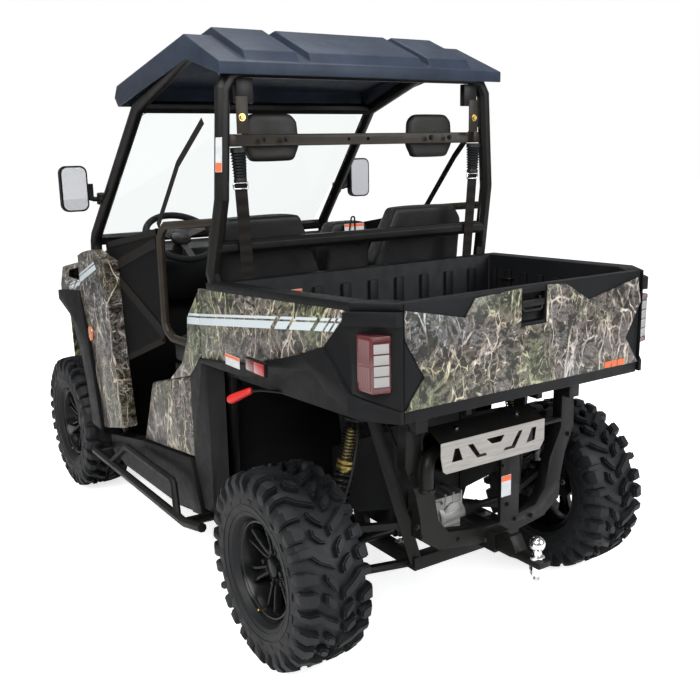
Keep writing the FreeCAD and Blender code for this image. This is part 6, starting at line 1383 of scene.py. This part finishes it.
class MakeTrim(bpy.types.Operator):
    """Make the lamps, reflectors, release handle, ribs of the bed and blank labels"""

    bl_idname = "utv.make_trim"
    bl_label = "Trim"

    def execute(self, context):
        make_tail_lamps()
        make_reflectors()
        make_lever()
        make_bed_ribs()
        make_gate_trim()
        label("bed", (-0.739, 0.6640, 0.948), (-1, 0, 0), (0, 0, 1), 0.100, 0.036)
        label("bed", (-0.5888, 0.345, 1.112), (0, -1, 0), (0, 0, 1), 0.070, 0.032)
        make_labels()
        return {"FINISHED"}


# Rear end: springs, exhaust shield, gear cases, boots and the tow ball

REAR_AXLE_X = -0.9525
FRONT_AXLE_X = 1.0025
AXLE_Z = 0.320
SHOCK_FOOT = (0.430, 0.414)
SHOCK_HEAD = (0.336, 0.768)
SPRING_PLATES = (
    (0.10, ((0.0, 0.0), (0.030, 0.0), (0.036, 0.004), (0.036, 0.010), (0.018, 0.020), (0.0, 0.020))),
    (0.90, ((0.0, 0.0), (0.020, 0.0), (0.034, 0.010), (0.036, 0.018), (0.030, 0.024), (0.0, 0.024))),
)
COLLAR = ((0.0, 0.0), (0.026, 0.0), (0.031, 0.002), (0.031, 0.011), (0.026, 0.013), (0.0, 0.013))


def shock(springs, bodies, collars, axle_x, side):
    """One coil-over shock absorber from the upper arm to the tower."""
    foot, head = (Vector((axle_x, side * y, z)) for y, z in (SHOCK_FOOT, SHOCK_HEAD))
    along = head - foot
    length = along.length
    lathe(bodies, [(0.0, 0.0), (0.016, 0.0), (0.020, 0.012), (0.022, 0.03), (0.022, length * 0.42),
                   (0.018, length * 0.43), (0.018, length * 0.47), (0.0, length * 0.47)], foot, along)
    rod(bodies, foot + along * 0.4, head, 0.0075, 14)
    for share, profile in SPRING_PLATES:
        lathe(bodies, profile, foot + along * share, along)
    for share in (0.495, 0.54):
        lathe(collars, COLLAR, foot + along * share, along)
    rod(collars, foot + along * 0.46, foot + along * 0.86, 0.0185, 24)
    coil(springs, foot, along, (0.135, 0.49), 7, 0.0300, 0.0050)
    coil(springs, foot, along, (0.585, 0.88), 10, 0.0270, 0.0027)


def coil(bm, foot, along, shares, turns, radius, wire, steps=14):
    """A helical spring between two shares of the way along."""
    way = along.normalized()
    across = way.cross(Vector((1, 0, 0))).normalized()
    second = way.cross(across)
    points = []
    for step in range(turns * steps + 1):
        share = shares[0] + (shares[1] - shares[0]) * step / (turns * steps)
        angle = FULL_TURN * step / steps
        points.append(foot + along * share + (across * math.cos(angle) + second * math.sin(angle)) * radius)
    tube(bm, points, wire, 8)


def make_shocks():
    """The four shock absorbers as springs, bodies and collars."""
    meshes = [bmesh.new() for _ in range(3)]
    for axle_x in (REAR_AXLE_X, FRONT_AXLE_X):
        for side in SIDES:
            shock(*meshes, axle_x, side)
    for bm, name, material, smooth in zip(meshes, ("springs", "bodies", "collars"),
                                          ("spring_black", "frame_black", "spring_gold"), (60.0, 40.0, 40.0)):
        settle("shock_" + name, bm, material, smooth, ["shock_absorbers"])


# Outline of the shield and its openings, in shares of its width from the left and of its height
SHIELD_LINES = (
    ((0.02, 0.10), (0.05, 0.0), (0.955, 0.0), (1.0, 0.28), (1.0, 1.0), (0.0, 1.0), (0.0, 0.55)),
    ((0.10, 0.33), (0.20, 0.33), (0.165, 0.74), (0.125, 0.74)),
    ((0.245, 0.76), (0.295, 0.76), (0.36, 0.36), (0.415, 0.36), (0.425, 0.27), (0.335, 0.27)),
    ((0.42, 0.80), (0.595, 0.80), (0.56, 0.60), (0.475, 0.60)),
    ((0.735, 0.80), (0.775, 0.80), (0.70, 0.27), (0.585, 0.27), (0.605, 0.36), (0.665, 0.36)),
    ((0.87, 0.80), (0.915, 0.80), (0.90, 0.36), (0.815, 0.33)),
)
SHIELD_BEND_Z = 0.752
SHIELD_FOLD_X = 0.07


def make_shield():
    """The brushed plate over the muffler, with its top folded forwards and two bolts on the fold. The fold is
    the same steel as the plate, given the black frame finish as painted shade.
    """
    low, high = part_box("exhaust_shield")
    width, height = high.y - low.y, SHIELD_BEND_Z - low.z
    rise = high.z - SHIELD_BEND_Z
    sheet, fold, bolts = bmesh.new(), bmesh.new(), bmesh.new()
    cut_sheet(sheet, [[(u * width, v * height) for u, v in line] for line in SHIELD_LINES], 0.0028)
    turn = Matrix(((0, 0, -1), (-1, 0, 0), (0, 1, 0)))
    moved_in(sheet, sheet.verts, (low.x + 0.0016, high.y, low.z), turn)
    bmesh.ops.recalc_face_normals(sheet, faces=sheet.faces)
    box(fold, (-0.0015, low.y, 0), (0.0015, high.y, math.hypot(SHIELD_FOLD_X, rise)))
    moved_in(fold, fold.verts, (low.x + 0.002, 0, SHIELD_BEND_Z - 0.001),
             Matrix.Rotation(math.atan2(SHIELD_FOLD_X, rise), 3, (0, 1, 0)))
    soften(fold, 0.001, 1)
    for y in (0.194, -0.054):
        bolt(bolts, (low.x + 0.042, y, SHIELD_BEND_Z + 0.021), (-rise, 0, SHIELD_FOLD_X), 0.0075)
    for y in (0.19, -0.04):
        rod(bolts, (low.x + 0.003, y, 0.700), (low.x + 0.07, y, 0.700), 0.008, 12)
    # The fold is black only as painted shade: it is the same bare steel as the plate.
    for name, bm, material in (("plate", sheet, "bare_steel"), ("fold", fold, "frame_black"),
                               ("bolts", bolts, "bright_chrome")):
        settle("exhaust_shield_" + name, bm, material, 30.0, ["exhaust_shield"], slot="bare_steel")


def make_muffler_pipe():
    """The outlet that leaves the muffler's left end and turns down."""
    bm = bmesh.new()
    end = (-1.277, 0.303, 0.590)
    tube(bm, rounded([(-1.241, 0.225, 0.700), (-1.268, 0.285, 0.700), (-1.277, 0.303, 0.665), end], 0.05, 6),
         0.0205, 20)
    lathe(bm, [(0.0, 0.0), (0.060, 0.0), (0.068, 0.004), (0.068, 0.010), (0.060, 0.012), (0.0, 0.012)],
          (-1.241, 0.228, 0.700), (0, 1, 0), 36)
    lathe(bm, [(0.024, 0.0), (0.026, 0.002), (0.026, 0.010), (0.024, 0.012)], end, (0, 0, 1))
    settle("muffler_outlet", bm, "frame_black", 45.0)


# Round bosses of a gear case about its middle: two ends with X counted outwards, radius, sides
CASE_RODS = (
    ((0, -0.105, -0.03), (0, 0.105, -0.03), 0.044, 36), ((0, -0.082, -0.02), (0, 0.090, -0.02), 0.060, 40),
    ((0, 0.020, -0.02), (0, 0.034, -0.02), 0.071, 40), ((0.055, 0.05, 0.02), (0, 0.05, 0.02), 0.036, 32),
    ((0.055, -0.03, -0.005), (0, -0.03, -0.005), 0.041, 32),
    ((-0.062, 0.0, 0.015), (0, 0.0, 0.015), 0.030, 28),
)
# The box of a gear case and its ribs: two corners about its middle
CASE_BOXES = (
    ((-0.048, -0.070, -0.050), (0.048, 0.078, 0.062)),
    *(((-0.050, y - 0.0035, -0.048), (0.050, y + 0.0035, 0.072))
      for y in (-0.072, -0.036, 0.0, 0.05, 0.086)),
    *(((-0.051, -0.070, z - 0.003), (0.051, 0.078, z + 0.003)) for z in (-0.03, 0.0, 0.03)),
)
CASE_Z = 0.350
COVER_BOLTS = ((0.02, 0.045), (0.08, 0.045), (0.02, -0.01), (0.08, -0.01))
RAIL_LOW_Z = 0.2943
RAIL_TOP_Z = 0.3023


def make_gear_case(name, axle_x, way):
    """A ribbed casting with bearing bosses, a bolted cover and four feet; way is -1 towards the rear."""
    bm = bmesh.new()
    middle = Vector((axle_x, 0.0, CASE_Z))
    for low, high in CASE_BOXES:
        box(bm, middle + Vector(low), middle + Vector(high))
    for start, end, radius, sides in CASE_RODS:
        rod(bm, middle + Vector((start[0] * way, *start[1:])), middle + Vector(end), radius, sides)
    for step in range(8):
        angle = FULL_TURN * step / 8
        spot = Vector((math.cos(angle) * 0.064, 0.020, -0.02 + math.sin(angle) * 0.064))
        bolt(bm, middle + spot, (0, -1, 0), 0.0075)
    for y, z in COVER_BOLTS:
        bolt(bm, middle + Vector((way * 0.0545, y, z)), (way, 0, 0), 0.007)
    for end in SIDES:
        x = axle_x + end * 0.043
        box(bm, (x - 0.012, -0.210, RAIL_LOW_Z), (x + 0.012, 0.210, RAIL_TOP_Z))
        for side in SIDES:
            bolt(bm, (x, side * 0.196, RAIL_TOP_Z), (0, 0, 1), 0.007)
    soften(bm, 0.002, 2, 30.0, 3.0)
    settle(name, bm, "cast_alloy", 35.0, ["gearcases"])


def make_axle():
    """The rear half shafts with their joints and corrugated boots."""
    boots, shafts = bmesh.new(), bmesh.new()
    for side in SIDES:
        for start, end, wide in ((0.105, 0.190, 0.042), (0.512, 0.425, 0.044)):
            boot(boots, (REAR_AXLE_X, side * start, AXLE_Z), (REAR_AXLE_X, side * end, AXLE_Z), wide,
                 0.022, 5)
        for start, end, radius, sides in ((0.18, 0.44, 0.0125, 16), (0.10, 0.118, 0.047, 28),
                                          (0.500, 0.523, 0.048, 28)):
            rod(shafts, (REAR_AXLE_X, side * start, AXLE_Z), (REAR_AXLE_X, side * end, AXLE_Z), radius,
                sides)
    settle("axle_boots", boots, "tyre_rubber", 50.0)
    settle("axle_shafts", shafts, "frame_black", 45.0)


HITCH_X = -1.441
BALL_RADIUS = 0.025
BALL_CENTRE = 0.049
BALL_START = math.radians(34)
PIN_X = -1.235
PIN_Z = 0.353


def make_hitch():
    """The tow ball on its threaded shank, with the nut below the tongue, and the receiver's pin."""
    bm, nut, pin = bmesh.new(), bmesh.new(), bmesh.new()
    shank = [(0.0, 0.0), (0.0085, 0.0), (0.0095, 0.002)]
    for step in range(12):
        height = 0.002 + 0.0155 * step / 12
        shank += [(0.0085, height + 0.0005), (0.0095, height + 0.0011)]
    shank += [(0.0095, 0.018), (0.0175, 0.018), (0.0175, 0.0325), (0.0095, 0.034), (0.0095, 0.054)]
    lathe(bm, shank, (HITCH_X, 0, 0.282), (0, 0, 1), 28)
    ball = [(0.0, 0.0), (0.023, 0.0), (0.0238, 0.002), (0.0238, 0.010), (0.021, 0.013), (0.015, 0.016),
            (0.014, 0.026)]
    for step in range(14):
        angle = -math.pi / 2 + BALL_START + (math.pi - BALL_START) * step / 14
        ball.append((BALL_RADIUS * math.cos(angle), BALL_CENTRE + BALL_RADIUS * math.sin(angle)))
    ball.append((0.0, BALL_CENTRE + BALL_RADIUS))
    lathe(bm, ball, (HITCH_X, 0, 0.3532), (0, 0, 1), 40)
    rod(nut, (HITCH_X, 0, 0.300), (HITCH_X, 0, 0.318), 0.0205, 6)
    rod(nut, (HITCH_X, 0, 0.318), (HITCH_X, 0, 0.333), 0.0235, 24, 0.0220)
    soften(nut, 0.0015, 1)
    rod(pin, (PIN_X, -0.052, PIN_Z), (PIN_X, 0.052, PIN_Z), 0.0075)
    bolt(pin, (PIN_X, 0.036, PIN_Z), (0, 1, 0), 0.012)
    settle("tow_ball", bm, "bright_chrome", 35.0, ["hitch_ball"])
    settle("tow_ball_nut", nut, "bright_chrome", 30.0)
    settle("receiver_pin", pin, "bare_steel", 30.0, slot="frame_black")


def make_guards():
    """Black splash guards beside the engine, fixed to its rear face."""
    bm = bmesh.new()
    line = ((0.150, 0.372), (0.300, 0.400), (0.395, 0.500), (0.395, 0.650), (0.150, 0.660))
    for side in SIDES:
        plate(bm, [(-0.8985, side * y, z) for y, z in line[::-side]], 0.004, 0.012)
    settle("splash_guards", outward(bm), "black_plastic", 30.0)


def make_rear_bolts():
    """Bolts on the rear plates, a bracket, the brake hoses, a wiring loom and a blank label."""
    bolts, bracket, hoses = bmesh.new(), bmesh.new(), bmesh.new()
    for y, z in ((-0.036, 0.590), (-0.060, 0.452), (-0.095, 0.392), (0.335, 0.640), (0.316, 0.470),
                 (0.300, 0.430), (-0.335, 0.640), (-0.316, 0.470), (0.150, 0.385), (-0.170, 0.385)):
        bolt(bolts, (-1.2455, y, z), (-1, 0, 0), 0.0085)
    plate(bracket, [(-1.012, 0.050, 0.368), (-1.012, 0.092, 0.330), (-1.012, 0.100, 0.302),
                    (-1.012, 0.020, 0.302)], 0.004, 0.006)
    for side in SIDES:
        line = ((-0.985, 0.500, 0.395), (-1.02, 0.46, 0.47), (-1.035, 0.42, 0.56), (-1.02, 0.385, 0.66),
                (-0.99, 0.345, 0.740), (-0.93, 0.33, 0.800))
        tube(hoses, [(x, side * y, z) for x, y, z in line], 0.0052, smooth=True)
    tube(hoses, [(-1.22, 0.325, 0.640), (-1.15, 0.335, 0.70), (-1.10, 0.30, 0.775), (-1.00, 0.31, 0.800)],
         0.0045, smooth=True)
    settle("rear_plate_bolts", bolts, "frame_black", 30.0)
    settle("gear_case_bracket", bracket, "bare_steel", 30.0, slot="cast_alloy")
    settle("brake_hoses", hoses, "tyre_rubber", 60.0)
    label("chassis", (-1.2470, -0.050, 0.520), (0, -1, 0), (0, 0, 1), 0.042, 0.072)


class MakeRear(bpy.types.Operator):
    """Make the springs, the exhaust shield, the gear cases, boots, hoses and the tow ball"""

    bl_idname = "utv.make_rear"
    bl_label = "Rear end"

    def execute(self, context):
        make_shocks()
        make_shield()
        make_muffler_pipe()
        make_gear_case("rear_gear_case", REAR_AXLE_X, -1)
        make_gear_case("front_gear_case", FRONT_AXLE_X, 1)
        make_axle()
        make_hitch()
        make_guards()
        make_rear_bolts()
        return {"FINISHED"}


# Finishes, stage and the plain nodes

class MakeFinishes(bpy.types.Operator):
    """Make all finishes"""

    bl_idname = "utv.make_finishes"
    bl_label = "Finishes"

    def execute(self, context):
        make_materials(context.scene.utv_colours)
        return {"FINISHED"}


class MakeStage(bpy.types.Operator):
    """Make the camera, the pale floor, the lamps and the white surroundings"""

    bl_idname = "utv.make_stage"
    bl_label = "Stage"

    def execute(self, context):
        settings = context.scene.utv_stage
        make_camera(settings)
        make_floor(settings)
        make_lamps()
        make_world()
        context.scene.view_settings.view_transform = "Standard"
        return {"FINISHED"}


# Lamps: name, place, size in metres, power in watts, colour
LAMPS = (
    ("key_lamp", (-3.5, 4.5, 5.0), 4.5, 470.0, (1.0, 0.99, 0.97)),
    ("rear_lamp", (-6.0, -2.5, 3.5), 4.0, 300.0, (0.96, 0.98, 1.0)),
    ("top_lamp", (0.5, 0.0, 6.5), 5.0, 300.0, (1.0, 1.0, 1.0)),
)
LAMP_TARGET = Vector((0, 0, 0.8))
WHITE_LIGHT = (1.0, 1.0, 1.0, 1.0)
WORLD_STRENGTH = 0.34


def make_camera(settings):
    """The camera that was fitted to the photograph."""
    data = bpy.data.cameras.new("photograph_camera")
    data.sensor_width = 36.0
    data.lens = settings.lens
    camera = placed("photograph_camera", data)
    forward = Vector((math.cos(settings.pitch) * math.cos(settings.yaw),
                      math.cos(settings.pitch) * math.sin(settings.yaw), math.sin(settings.pitch)))
    level = forward.cross(Vector((0, 0, 1))).normalized()
    above = level.cross(forward)
    right = level * math.cos(settings.roll) + above * math.sin(settings.roll)
    up = above * math.cos(settings.roll) - level * math.sin(settings.roll)
    turn = Matrix((right, up, -forward)).transposed()
    camera.matrix_world = Matrix.Translation(settings.camera_place) @ turn.to_4x4()
    bpy.context.scene.camera = camera


def seen_directly(tree):
    """One where a ray comes from the camera or through clear sheet, else zero."""
    rays = tree.nodes.new("ShaderNodeLightPath").outputs
    sockets = {0: rays["Is Camera Ray"], 1: rays["Is Transmission Ray"]}
    return node_in(tree, "Math", sockets, operation="MAXIMUM").outputs[0]


def make_floor(settings):
    """A wide pale floor that glows where it is seen directly."""
    bm = bmesh.new()
    bmesh.ops.create_grid(bm, x_segments=2, y_segments=2, size=settings.floor_size)
    mesh = bpy.data.meshes.new("floor")
    bm.to_mesh(mesh)
    bm.free()
    finish = Finish("floor_paper")
    mesh.materials.append(finish.done({
        "Base Color": finish.shades(finish.noise(3.0, 4.0), (1.0, 1.0, 1.0), (0.3, 0.84), (0.7, 0.88)),
        "Roughness": 0.9, "Specular IOR Level": 0.0, "Emission Color": WHITE_LIGHT,
        "Emission Strength": finish.math("MULTIPLY", seen_directly(finish.tree), settings.floor_glow)}))
    placed("floor", mesh)


def make_lamps():
    """Three soft round lamps around the vehicle."""
    for name, place, size, power, colour in LAMPS:
        data = bpy.data.lights.new(name, "AREA")
        data.shape = "DISK"
        data.size = size
        data.energy = power
        data.color = colour
        lamp = placed(name, data)
        lamp.location = place
        lamp.rotation_euler = (LAMP_TARGET - Vector(place)).to_track_quat("-Z", "Y").to_euler()


def make_world():
    """Even grey light, which is white where it is seen directly."""
    world = bpy.data.worlds.new("studio")
    world.use_nodes = True
    bpy.context.scene.world = world
    tree = world.node_tree
    plain = filled(tree, tree.nodes["Background"], {"Color": WHITE_LIGHT, "Strength": WORLD_STRENGTH})
    white = node_in(tree, "Background", {"Color": WHITE_LIGHT, "Strength": 1.0})
    sockets = {"Fac": seen_directly(tree), 1: plain.outputs[0], 2: white.outputs[0]}
    choice = node_in(tree, "MixShader", sockets)
    filled(tree, tree.nodes["World Output"], {"Surface": choice.outputs[0]})


# Plain nodes with the finish and the width of their softened edges
DRESSED = (
    ("frame", "frame_black", 0.002), ("sill_frame", "frame_black", 0.002),
    ("rear_uprights", "frame_black", 0.002), ("shock_towers", "frame_black", 0.002),
    ("roof", "roof_slate", 0.004), ("windshield", "clear_sheet", 0.001),
    ("front_side_panels", "camouflage_fender", 0.003), ("fender_flares", "black_plastic", 0.004),
    ("hood", "camouflage", 0.004), ("nose_panel", "black_plastic", 0.003),
    ("headlamps", "lamp_clear", 0.003), ("cab_floor", "black_plastic", 0.002),
    ("dashboard", "black_plastic", 0.004), ("steering_column", "frame_black", 0.002),
    ("seat_base", "black_plastic", 0.004), ("cab_back_panel", "black_plastic", 0.004),
    ("under_seat_boxes", "camouflage", 0.008), ("rear_columns", "camouflage_side", 0.004),
    ("rocker_panels", "black_plastic", 0.004), ("inner_panels", "black_plastic", 0.005),
    ("engine", "engine_black", 0.006), ("suspension_arms", "frame_black", 0.0),
    ("front_half_shafts", "frame_black", 0.0), ("rear_hub_carriers", "frame_black", 0.002),
    ("hitch_drawbar", "frame_black", 0.003), ("cargo_bed", "black_plastic", 0.004),
    ("bed_side_panels", "camouflage_side", 0.003), ("bed_flares", "black_plastic", 0.006),
    ("tailgate", "black_plastic", 0.004), ("tailgate_skin", "camouflage", 0.002),
    ("knuckle_left", "frame_black", 0.002), ("knuckle_right", "frame_black", 0.002),
    ("tie_rods", "frame_black", 0.0), ("muffler", "frame_black", 0.004),
)
# Round tubes with the softening of their long edges
PIPES = (
    ("roll_cage_rear", "cage_black", 0.0058), ("roll_cage_front", "cage_black", 0.0058),
    ("front_guard", "frame_black", 0.0046), ("hip_bars", "bronze_tube", 0.0036),
    ("side_step_bars", "frame_black", 0.0036),
)


class DressPanels(bpy.types.Operator):
    """Give each plain node softened edges and its finish"""

    bl_idname = "utv.dress_panels"
    bl_label = "Panels and frame"

    def execute(self, context):
        for node, material, width in DRESSED:
            dress(node, material, width)
        for node, material, width in PIPES:
            bm = node_copy(node)
            soften(bm, width, 2, 11.0, 1.2)
            settle(node + "_skin", bm, material, 50.0, [node], BODY_OF[node])
        return {"FINISHED"}


class MakeTyres(bpy.types.Operator):
    """Make the four tyres with their tread"""

    bl_idname = "utv.make_tyres"
    bl_label = "Tyres"

    def execute(self, context):
        for name in WHEELS:
            tyre(name, context.scene.utv_tyres)
        return {"FINISHED"}


class MakeRims(bpy.types.Operator):
    """Make the four rims, their nuts and valves"""

    bl_idname = "utv.make_rims"
    bl_label = "Rims"

    def execute(self, context):
        for name in WHEELS:
            rim(name, context.scene.utv_rims)
        return {"FINISHED"}


class VehiclePanel(bpy.types.Panel):
    """Lists the operators and their settings"""

    bl_idname = "VIEW3D_PT_utility_vehicle"
    bl_label = "Utility vehicle"
    bl_space_type = "VIEW_3D"
    bl_region_type = "UI"
    bl_category = "Utility vehicle"

    def draw(self, context):
        for pointer, group in GROUPS.items():
            for name in group.__annotations__:
                self.layout.prop(getattr(context.scene, pointer), name)
        for entry in OPERATORS:
            self.layout.operator(entry.bl_idname)


GROUPS = {"utv_tyres": TyreSettings, "utv_rims": RimSettings, "utv_fabric": FabricSettings,
          "utv_colours": ColourSettings, "utv_stage": StageSettings}
OPERATORS = (MakeStage, MakeFinishes, MakeTyres, MakeRims, DressPanels, MakeCab, MakeSeats, MakeRear,
             MakeTrim)


def register():
    """Registers the classes and the settings."""
    for entry in (*GROUPS.values(), *OPERATORS, VehiclePanel):
        bpy.utils.register_class(entry)
    for pointer, group in GROUPS.items():
        setattr(bpy.types.Scene, pointer, bpy.props.PointerProperty(type=group))


def unregister():
    """Undoes what register did."""
    for pointer in GROUPS:
        delattr(bpy.types.Scene, pointer)
    for entry in (VehiclePanel, *reversed(OPERATORS), *reversed(GROUPS.values())):
        bpy.utils.unregister_class(entry)


def plain(bounds):
    """The bounds as lists of numbers."""
    return [[float(value) for value in corner] for corner in bounds]


def main():
    """Registers the add-on and makes everything."""
    register()
    bpy.ops.utv.make_stage()
    bpy.ops.utv.make_finishes()
    bpy.ops.utv.make_tyres()
    bpy.ops.utv.make_rims()
    bpy.ops.utv.dress_panels()
    bpy.ops.utv.make_cab()
    bpy.ops.utv.make_seats()
    bpy.ops.utv.make_rear()
    bpy.ops.utv.make_trim()


if __name__ == "__main__":
    main()
